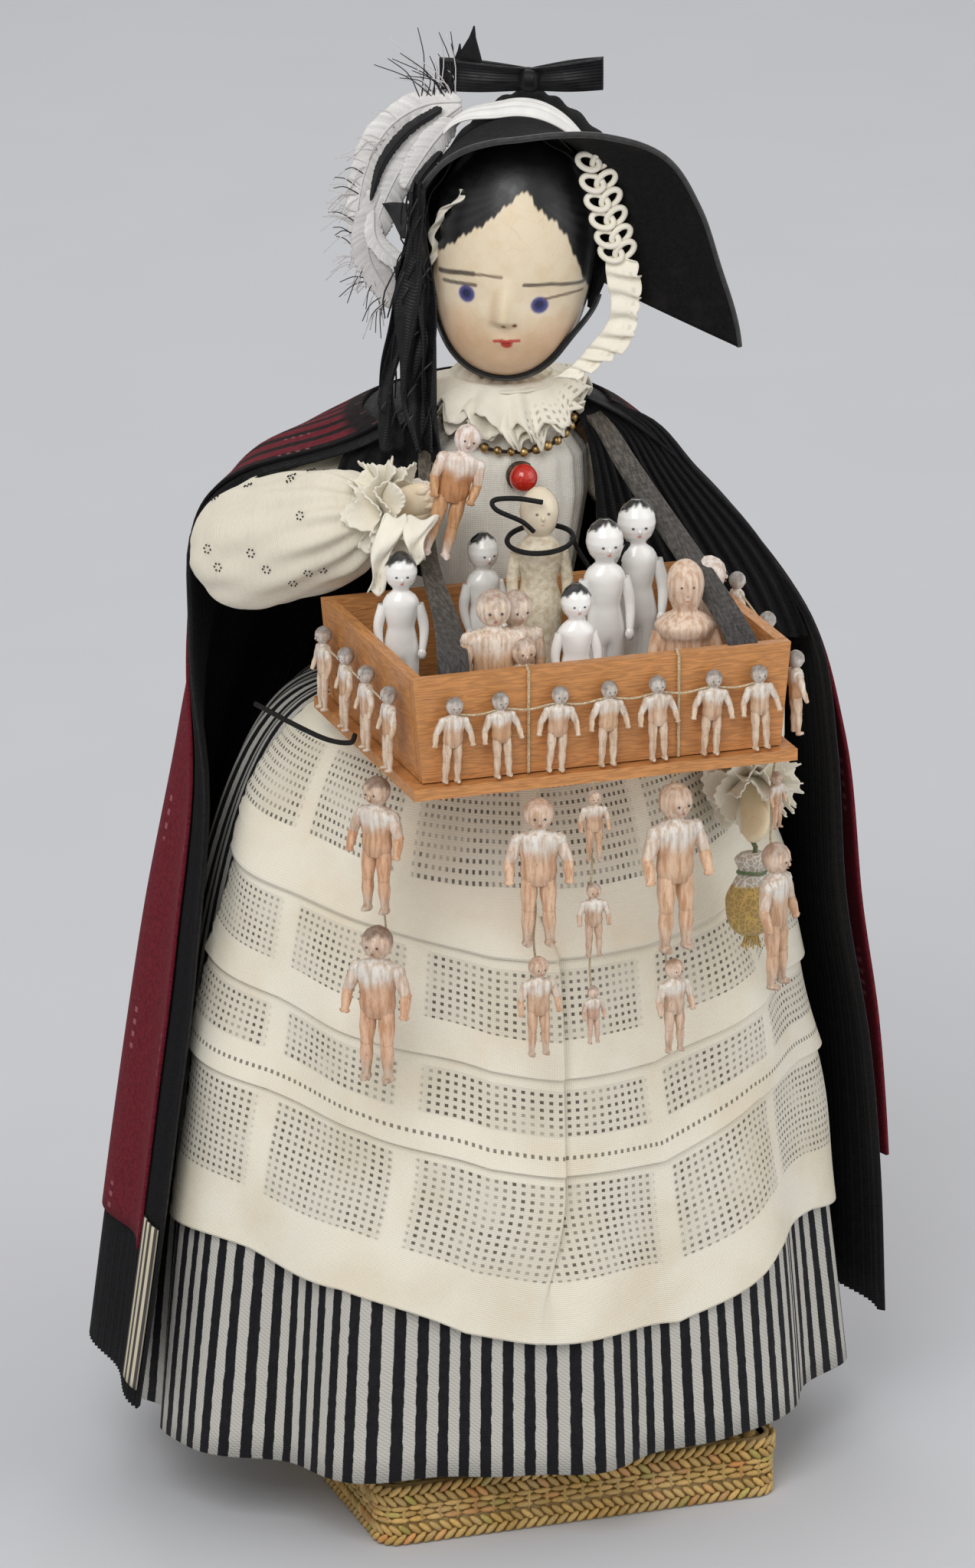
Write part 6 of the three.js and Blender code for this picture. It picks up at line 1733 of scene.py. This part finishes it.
def make_tray_goods():
    goods = [("china_doll_left", -1, 0.24, 34, 0.1, -14), ("china_doll_back", -0.31, 0.72, 33, 0.1, 6),
             ("china_bust", -0.07, -0.86, 32, 0.11, -6), ("china_doll_middle", 0.32, -0.15, 39, 0.1, -4),
             ("china_doll_right", 0.64, 0.2, 40, 0.1, -10)]
    for name, across, deep, h, bust, turn in goods:
        shape = tray_shape()
        china_doll(shape, in_tray(across, deep, 0.12 * h), h, bust, turn,
                   0.02 if name in ("china_bust", "china_doll_left") else 0.0)
        dress(shape.build(name + "_figure", [glazed_china]), "tray", "china", name)

    kid = tray_shape()
    kid_place = in_tray(-0.05, 0.22, 4.6)
    kid.placing = kid.placing @ pose(kid_place, -8)
    cream = (0.80, 0.72, 0.56)
    stations = [(0, 2.6, 2.4), (0.5, 3.5, 3.3), (7, 3.7, 3.4), (14, 3.9, 3.6), (18, 4.1, 3.7), (22, 4.3, 3.6),
                (26, 3.4, 3),
                (29, 4.0, 3.2), (32, 4.6, 3.4), (33.8, 3.2, 2.6), (35, 2, 2)]
    kid.loft(smooth_rings(stations, 50, 28), cream)
    for side in (-1, 1):
        kid.path([(side * 4.2, 0, 31.5), (side * 5.2, -0.5, 26), (side * 4.8, -2.2, 20.5)], 14,
                 np.linspace(1.35, 0.9, 14), cream, sides=12)
        kid.ball((side * 1.1, -3.5, 39.8), (0.3, 0.2, 0.26), (0.2, 0.17, 0.15), 1, 8, 5)
    head = [(35, 2.0, 2.0), (36.2, 2.9, 2.9), (37.6, 3.4, 3.4), (39.6, 3.7, 3.6), (41.4, 3.3, 3.2),
            (42.8, 2.4, 2.3), (44, 1.0, 1.0)]
    kid.loft(smooth_rings(head, 30, 28), (0.80, 0.69, 0.52), 1)
    kid.ball((0, -3.65, 38.9), (0.35, 0.45, 0.5), (0.78, 0.66, 0.48), 1, 8, 5)
    kid.ball((0, -3.25, 37.7), (0.45, 0.25, 0.2), (0.6, 0.3, 0.25), 1, 8, 5)
    piece = dress(kid.build("kid_leather_doll", [kid_leather, glazed_china]), "tray", "kid", "kid_doll")

    swirls = tray_shape()
    swirls.placing = swirls.placing @ pose(kid_place)
    black = (0.012, 0.012, 0.013)
    turn = np.linspace(0, 2 * np.pi, 60)
    swirls.tube(xyz(6.2 * np.cos(turn), -0.6 + 5.4 * np.sin(turn),
                    34.2 + 0.5 * np.cos(turn) + 1.0 * np.sin(turn)), 0.5, black)
    loop = [(-1, -4.6, 42.5), (-6, -4.2, 43.6), (-10, -3.4, 43.4), (-9.6, -3.6, 41.6), (-5, -4.6, 39.2),
            (-2.6, -4.4, 37)]
    swirls.path(loop, 40, 0.5, black)
    loop = [(6, -1, 34), (8.4, -1.4, 29.5), (11.5, -1.6, 25.4), (14.8, -1.4, 27.4), (17, -1, 31.5),
            (19.2, -0.8, 33), (19.8, -0.8, 30), (18, -0.8, 28.4)]
    swirls.path(loop, 60, 0.5, black)
    dress(swirls.build("black_cord_swirls", [waxed_thread]), "tray", "strap")

    baby = tray_shape()
    baby.placing = baby.placing @ pose(in_tray(0.74, -0.81, 5.2), -12)
    stations = [(0, 2.6, 2.4), (0.6, 3.5, 3.4), (8, 4.2, 3.8), (12, 4.8, 3.9), (16, 5.2, 4), (18.6, 4.9, 3.8),
                (20, 5.4, 4.4),
                (21.6, 5.6, 4.6), (23, 4.2, 3.6), (24, 2.4, 2.3), (25.2, 2.6, 2.6), (26.5, 3.1, 3.1),
                (29.2, 3.5, 3.5), (31.4, 3.1, 3.1),
                (32.8, 2.2, 2.2), (33.6, 1.1, 1.1)]
    rings = smooth_rings(stations, 64, 30)
    body, pale = np.array((0.72, 0.50, 0.35)), np.array((0.80, 0.63, 0.50))
    shares = [ease(18.2, 20.2, ring[0, 2]) for ring in rings]
    baby.loft(rings, np.array([np.tile(lerp(body, pale, share), (30, 1)) for share in shares]))
    for side in (-1, 1):
        baby.path([(side * 4.6, 0, 20), (side * 5.9, -1.2, 15.5), (side * 4.6, -3.6, 11.5)], 12,
                  np.linspace(1.5, 0.9, 12), body * 1.05, sides=12)
        baby.ball((side * 1.1, -3.3, 29.3), (0.28, 0.2, 0.24), (0.2, 0.15, 0.12), sides=8, rows=5)
    baby.ball((0, -3.45, 28.0), (0.32, 0.4, 0.5), pale * 0.95, sides=8, rows=5)
    baby.ball((0, -3.1, 26.7), (0.45, 0.25, 0.2), (0.55, 0.28, 0.2), sides=8, rows=5)
    dress(baby.build("wooden_baby", [toy_wood]), "tray", "brown_wood", "baby_doll")

    bundle = tray_shape()
    places = [((-0.66, -0.96, 4), 33, -10), ((-0.46, -0.76, 4), 31, 8), ((-0.48, -1.05, 4), 24, 0)]
    woods = [(0.70, 0.46, 0.28), (0.66, 0.42, 0.25), (0.72, 0.50, 0.33)]
    for k, (share, h, turn) in enumerate(places):
        peg_doll(bundle, in_tray(*share), h, turn, arms=-0.02, wood=woods[k], yoke=(0.82, 0.72, 0.62),
                 hair=(0.55, 0.45, 0.38),
                 face=(0.8, 0.68, 0.57), seed=k)
    ring = np.linspace(0, 2 * np.pi, 40)
    middle = (in_tray(*places[0][0]) + in_tray(*places[1][0])) / 2
    bundle.tube(xyz(middle[0] + 6.2 * np.cos(ring), middle[1] + 4.3 * np.sin(ring),
                    17.2 + 0.5 * np.sin(3 * ring)), 0.3, (0.62, 0.52, 0.34), 1)
    dress(bundle.build("tied_wooden_dolls", [toy_wood, waxed_thread]), "tray", "pale_wood",
          "tray_wooden_dolls")

    leaning = tray_shape()
    peg_doll(leaning, in_tray(1, -0.75, 3.2) + (0, 0, 1.7), 31, 90, 25, arms=-0.02, wood=(0.76, 0.54, 0.36),
             yoke=(0.8, 0.68, 0.56),
             face=(0.84, 0.76, 0.7), hair=(0.8, 0.74, 0.7))
    dress(leaning.build("standing_wooden_doll", [toy_wood]), "tray", "pale_wood", "leaning_doll")


def make_hung_dolls():
    strings = [
        ("hang_left", (-37.85, -10), [(1.5, 26), (30.5, 30)], -50, [(0.68, 0.42, 0.26), (0.70, 0.45, 0.30)],
         (0.3, 0.22, 0.17)),
        ("hang_centre", (-13.5, -30.15), [(2, 28), (32.5, 19)], -6, [(0.70, 0.48, 0.33), (0.66, 0.46, 0.32)],
         (0.62, 0.46, 0.36)),
        ("hang_small", (-2.8, -30.15), [(1.5, 13.5), (19.5, 14), (39.5, 11)], 0,
         [(0.62, 0.42, 0.28), (0.60, 0.44, 0.33), (0.62, 0.44, 0.34)], (0.5, 0.42, 0.36)),
        ("hang_right_centre", (13, -30.15), [(2, 32), (36, 18)], 8, [(0.70, 0.48, 0.32), (0.66, 0.50, 0.38)],
         (0.56, 0.42, 0.32)),
        ("hang_right", (37.85, -17), [(6.5, 11), (20.5, 28)], 35, [(0.68, 0.48, 0.34), (0.66, 0.45, 0.30)],
         (0.5, 0.4, 0.33)),
    ]
    for name, (x, y), dolls, turn, woods, hair in strings:
        shape = tray_shape()
        shape.placing = shape.placing @ pose((x, y, 0.3), turn)
        for k, (drop, h) in enumerate(dolls):
            peg_doll(shape, (0, 0, -drop - h), h, 10 * math.sin(2.1 * k + x), arms=0.06, wood=woods[k],
                     hair=hair,
                     face=(0.74, 0.58, 0.46), limbs=shade(woods[k], 1.1), seed=k + x)
        last = dolls[-1][0] + 2
        line = np.linspace(0, 1, 24)
        depth = 0.11 * max(h for _, h in dolls[:-1])
        sway = np.where(line * last > dolls[0][0], depth, 0.2)
        sway = smoothed(sway)
        shape.tube(xyz(0.2 * np.sin(20 * line), sway, -line * last), 0.22, (0.6, 0.5, 0.33), 1)
        dress(shape.build(name + "_dolls", [toy_wood, waxed_thread]), name, "pale_wood", name)

    held = Shape()
    elbow, hand = (np.array(value, float) + (DOLL_X, 0, 0) for value in ARMS["right"][1:3])
    grip = lerp(elbow, hand, 0.95) + (4.1, -4.4, 4.2)
    height = 25.4
    base = np.array(Matrix.Translation(Vector(grip)) @ turned("Y", 16.5) @ turned("Z", -10)
                    @ Matrix.Translation((0, 0, -0.585 * height)))
    peg_doll(held, (0, 0, 0), height, arms=-0.02, wood=(0.50, 0.24, 0.10), yoke=(0.84, 0.76, 0.70),
             face=(0.86, 0.78, 0.74),
             hair=(0.82, 0.74, 0.70), shoes=(0.86, 0.76, 0.7), limbs=(0.62, 0.36, 0.18), base=base)
    dress(held.build("doll_in_hand", [toy_wood]), "right_forearm", "pale_wood", "held_doll")

    elbow, hand = (np.array(value, float) + (DOLL_X, 0, 0) for value in ARMS["left"][1:3])
    grip = lerp(elbow, hand, 0.96)
    purse = Shape(np.array(Matrix.Translation((grip[0] - 1, grip[1] - 0.5, grip[2] - 4))))
    stations = [(-16, 2.2, 1.5), (-15, 3.6, 2.3), (-13, 4.6, 2.8), (-10, 5.0, 3.0), (-8, 4.8, 2.8),
                (-5.5, 3.4, 2.3), (-4, 2.5, 1.9),
                (-2.8, 2.6, 2.0), (-1.5, 3.2, 2.3), (-0.6, 3.0, 2.1), (0, 2.2, 1.6)]
    rings = []
    for share in np.linspace(0, 1, 44):
        z, w, d = points_at(stations, np.array(share))
        rings.append(ellipse((0, 0, z), (1, 0, 0), (0, 1, 0), w, d, 36,
                             0.05 + 0.05 * math.exp(-((z + 3.5) / 3) ** 2), 11))
    gold, white = np.array((0.55, 0.37, 0.1)), np.array((0.74, 0.71, 0.64))
    tints = [np.tile(white if ring[0, 2] > -6 else gold, (36, 1)) for ring in rings]
    purse.loft(rings, np.array(tints))
    for k in range(9):
        fringe = [(0.25 * (k - 4), 0, -15.6), (0.4 * (k - 4), 0.2 * math.sin(k), -17.6),
                  (0.5 * (k - 4), 0.2, -18.4 - 0.4 * (k % 3))]
        purse.tube(fringe, 0.2, gold)
    purse.tube([(0.5, 0, -0.8), (0.7, 0, 1.0), (0.2, 0.3, 2.2)], 0.5, (0.06, 0.12, 0.05))
    loop = np.linspace(0, 2 * np.pi, 20)
    purse.tube(xyz(2.75 * np.cos(loop), 2.1 * np.sin(loop), -3.6 + 0.2 * np.sin(2 * loop)), 0.35,
               (0.05, 0.16, 0.06))
    piece = dress(purse.build("netted_purse", [purse_silk]), "left_forearm", "silk", "purse")


def make_carved_wood():
    """The carved doll inside the clothes keeps its solids."""
    for name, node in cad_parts.items():
        if name in ("base_block", "torso", "shoulder_dowel", "hip_dowel", "right_leg", "left_leg",
                    "right_upper_arm",
                    "left_upper_arm", "right_elbow_peg", "left_elbow_peg"):
            node.data.materials.clear()
            node.data.materials.append(finish(carved_wood))
            if name.endswith("leg") or name == "torso":
                bevel = node.modifiers.new("Softened edges", "BEVEL")
                bevel.width = 0.3 * MM
                bevel.limit_method = "ANGLE"


# Stage
def make_stage():
    c = colours()
    floor = Shape()
    floor.grid(lambda u, v: xyz(lerp(-4000, 4000, u), lerp(-4000, 4000, v), 0 * u - 0.02), 8, 8)
    floor.build("studio_floor_sheet", [studio_floor])

    camera = bpy.data.cameras.new("photo_camera")
    camera.lens, camera.sensor_width, camera.sensor_fit = CAMERA_LENS, 36, "AUTO"
    camera.clip_end = 20
    azimuth, elevation = math.radians(CAMERA_TURN), math.radians(CAMERA_RISE)
    back = Vector((math.sin(azimuth) * math.cos(elevation), -math.cos(azimuth) * math.cos(elevation),
                   math.sin(elevation)))
    holder = bpy.data.objects.new("photo_camera", camera)
    holder.location = Vector(CAMERA_TARGET) + back * CAMERA_DISTANCE
    holder.rotation_euler = back.to_track_quat("Z", "Y").to_euler()
    bpy.context.scene.collection.objects.link(holder)
    bpy.context.scene.camera = holder

    for name, (place, size, power) in LAMPS.items():
        lamp = bpy.data.lights.new(name + "_light", "AREA")
        lamp.energy, lamp.size = power, size
        lamp_object = bpy.data.objects.new(name + "_light", lamp)
        lamp_object.location = place
        aim = Vector(place) - Vector(LAMP_TARGET)
        lamp_object.rotation_euler = aim.to_track_quat("Z", "Y").to_euler()
        bpy.context.scene.collection.objects.link(lamp_object)
    world = bpy.data.worlds.new("studio_world")
    world.use_nodes = True
    world.node_tree.nodes["Background"].inputs[0].default_value = (*c.studio, 1)
    world.node_tree.nodes["Background"].inputs[1].default_value = WORLD_LIGHT
    bpy.context.scene.world = world
    bpy.context.scene.view_settings.view_transform = "Standard"


def colour_property(name, description, default):
    return FloatVectorProperty(name=name, description=description, subtype="COLOR", size=3, min=0, max=1,
                               default=default)


class PedlarSizes(bpy.types.PropertyGroup):
    """Sizes of the cloth and its trimmings"""
    stripe_width: FloatProperty(name="Stripe width",
                                description="Width of one stripe of the skirt at its hem",
                                default=0.00205, min=0.0005, max=0.02, unit="LENGTH", precision=5)
    stripe_count: IntProperty(name="Stripe pairs", description="Pairs of stripes round the skirt",
                              default=100, min=8, max=240)
    drawn_pitch: FloatProperty(name="Drawn-thread pitch",
                               description="Distance between the apron's openwork holes",
                               default=0.0015, min=0.0005, max=0.01, unit="LENGTH", precision=5)
    tuck_overlap: FloatProperty(name="Tuck overlap",
                                description="How far each tuck of the apron hangs over the next",
                                default=0.003, min=0.0, max=0.02, unit="LENGTH", precision=4)
    pleat_count: IntProperty(name="Shawl pleats", description="Fine pleats across the shawl", default=170,
                             min=20, max=400)
    bead_count: IntProperty(name="Beads", description="Beads of the necklace", default=30, min=8, max=80)


class PedlarColours(bpy.types.PropertyGroup):
    """Colours of the cloth, paint and wood"""
    straw: colour_property("Straw", "Plaited straw of the base", (0.58, 0.36, 0.10))
    stripe_pale: colour_property("Pale stripe", "Pale stripe of the skirt", (0.58, 0.56, 0.51))
    stripe_dark: colour_property("Dark stripe", "Dark stripe of the skirt", (0.006, 0.006, 0.008))
    linen: colour_property("Linen", "Bodice and sleeves", (0.86, 0.83, 0.75))
    muslin: colour_property("Muslin", "Apron", (0.88, 0.83, 0.70))
    lace: colour_property("Lace", "Collar, cuffs and bonnet trimming", (0.88, 0.83, 0.71))
    red_wool: colour_property("Red wool", "Cape", (0.17, 0.011, 0.022))
    black_silk: colour_property("Black silk", "Shawl and ribbons", (0.004, 0.004, 0.005))
    felt: colour_property("Felt", "Bonnet", (0.005, 0.0048, 0.005))
    white_satin: colour_property("White satin", "Bonnet band", (0.88, 0.87, 0.84))
    cedar: colour_property("Cedar", "Tray boards", (0.62, 0.27, 0.085))
    skin: colour_property("Skin", "Painted face", (0.82, 0.70, 0.51))
    blush: colour_property("Blush", "Cheeks", (0.80, 0.50, 0.30))
    iris: colour_property("Iris", "Eyes", (0.032, 0.036, 0.16))
    lips: colour_property("Lips", "Mouth", (0.56, 0.045, 0.035))
    hair: colour_property("Hair", "Painted hair", (0.006, 0.006, 0.007))
    floor: colour_property("Floor", "Studio floor", (0.62, 0.63, 0.66))
    studio: colour_property("Studio", "Light of the studio", (1.0, 0.99, 0.97))


class PEDLAR_OT_straw_base(bpy.types.Operator):
    """Plaits the straw band and the mat of the base"""
    bl_idname = "pedlar.straw_base"
    bl_label = "Straw base"

    def execute(self, context):
        make_straw_base()
        return {"FINISHED"}


class PEDLAR_OT_carved_wood(bpy.types.Operator):
    """Gives the wooden doll inside the clothes its grain"""
    bl_idname = "pedlar.carved_wood"
    bl_label = "Carved wood"

    def execute(self, context):
        make_carved_wood()
        return {"FINISHED"}


class PEDLAR_OT_skirt(bpy.types.Operator):
    """Makes the striped skirt and the petticoat"""
    bl_idname = "pedlar.skirt"
    bl_label = "Skirt"

    def execute(self, context):
        make_skirt()
        return {"FINISHED"}


class PEDLAR_OT_apron(bpy.types.Operator):
    """Makes the tucked muslin apron"""
    bl_idname = "pedlar.apron"
    bl_label = "Apron"

    def execute(self, context):
        make_apron()
        return {"FINISHED"}


class PEDLAR_OT_mantle(bpy.types.Operator):
    """Makes the pleated shawl and the red cape"""
    bl_idname = "pedlar.mantle"
    bl_label = "Shawl and cape"

    def execute(self, context):
        make_mantle()
        return {"FINISHED"}


class PEDLAR_OT_bodice(bpy.types.Operator):
    """Makes the bodice, collar, beads and brooch"""
    bl_idname = "pedlar.bodice"
    bl_label = "Bodice"

    def execute(self, context):
        make_bodice()
        return {"FINISHED"}


class PEDLAR_OT_arms(bpy.types.Operator):
    """Makes the hands, sleeves and cuffs"""
    bl_idname = "pedlar.arms"
    bl_label = "Arms"

    def execute(self, context):
        make_arm("right")
        make_arm("left")
        return {"FINISHED"}


class PEDLAR_OT_head(bpy.types.Operator):
    """Paints the head"""
    bl_idname = "pedlar.head"
    bl_label = "Head"

    def execute(self, context):
        make_head()
        return {"FINISHED"}


class PEDLAR_OT_bonnet(bpy.types.Operator):
    """Makes the bonnet with its bow, feathers and ribbons"""
    bl_idname = "pedlar.bonnet"
    bl_label = "Bonnet"

    def execute(self, context):
        make_bonnet()
        return {"FINISHED"}


class PEDLAR_OT_tray(bpy.types.Operator):
    """Finishes the tray and makes its lining, ties and strap"""
    bl_idname = "pedlar.tray"
    bl_label = "Tray"

    def execute(self, context):
        make_tray()
        return {"FINISHED"}


class PEDLAR_OT_row_dolls(bpy.types.Operator):
    """Makes the rows of dolls tied to the tray"""
    bl_idname = "pedlar.row_dolls"
    bl_label = "Rows of dolls"

    def execute(self, context):
        make_row_dolls()
        return {"FINISHED"}


class PEDLAR_OT_tray_goods(bpy.types.Operator):
    """Makes the dolls that stand in the tray"""
    bl_idname = "pedlar.tray_goods"
    bl_label = "Goods in the tray"

    def execute(self, context):
        make_tray_goods()
        return {"FINISHED"}


class PEDLAR_OT_hung_dolls(bpy.types.Operator):
    """Makes the strings of dolls, the held doll and the purse"""
    bl_idname = "pedlar.hung_dolls"
    bl_label = "Hung dolls"

    def execute(self, context):
        make_hung_dolls()
        return {"FINISHED"}


class PEDLAR_OT_stage(bpy.types.Operator):
    """Sets the floor, lights and camera"""
    bl_idname = "pedlar.stage"
    bl_label = "Stage"

    def execute(self, context):
        make_stage()
        return {"FINISHED"}


OPERATORS = [
    PEDLAR_OT_straw_base, PEDLAR_OT_carved_wood, PEDLAR_OT_skirt, PEDLAR_OT_apron, PEDLAR_OT_mantle,
    PEDLAR_OT_bodice, PEDLAR_OT_arms, PEDLAR_OT_head, PEDLAR_OT_bonnet, PEDLAR_OT_tray, PEDLAR_OT_row_dolls,
    PEDLAR_OT_tray_goods, PEDLAR_OT_hung_dolls, PEDLAR_OT_stage,
]


class PEDLAR_PT_panel(bpy.types.Panel):
    """Lists the pieces of the pedlar doll"""
    bl_label = "Pedlar Doll"
    bl_idname = "PEDLAR_PT_panel"
    bl_space_type = "VIEW_3D"
    bl_region_type = "UI"
    bl_category = "Pedlar Doll"

    def draw(self, context):
        for one in OPERATORS:
            self.layout.operator(one.bl_idname)
        for group in (context.scene.pedlar_sizes, context.scene.pedlar_colours):
            for key in group.__annotations__:
                self.layout.prop(group, key)


CLASSES = [PedlarSizes, PedlarColours, *OPERATORS, PEDLAR_PT_panel]


def register():
    for one in CLASSES:
        bpy.utils.register_class(one)
    bpy.types.Scene.pedlar_sizes = PointerProperty(type=PedlarSizes)
    bpy.types.Scene.pedlar_colours = PointerProperty(type=PedlarColours)


def unregister():
    del bpy.types.Scene.pedlar_colours
    del bpy.types.Scene.pedlar_sizes
    for one in reversed(CLASSES):
        bpy.utils.unregister_class(one)


def main():
    register()
    for one in OPERATORS:
        getattr(bpy.ops.pedlar, one.bl_idname.split(".")[1])()


if __name__ == "__main__":
    main()
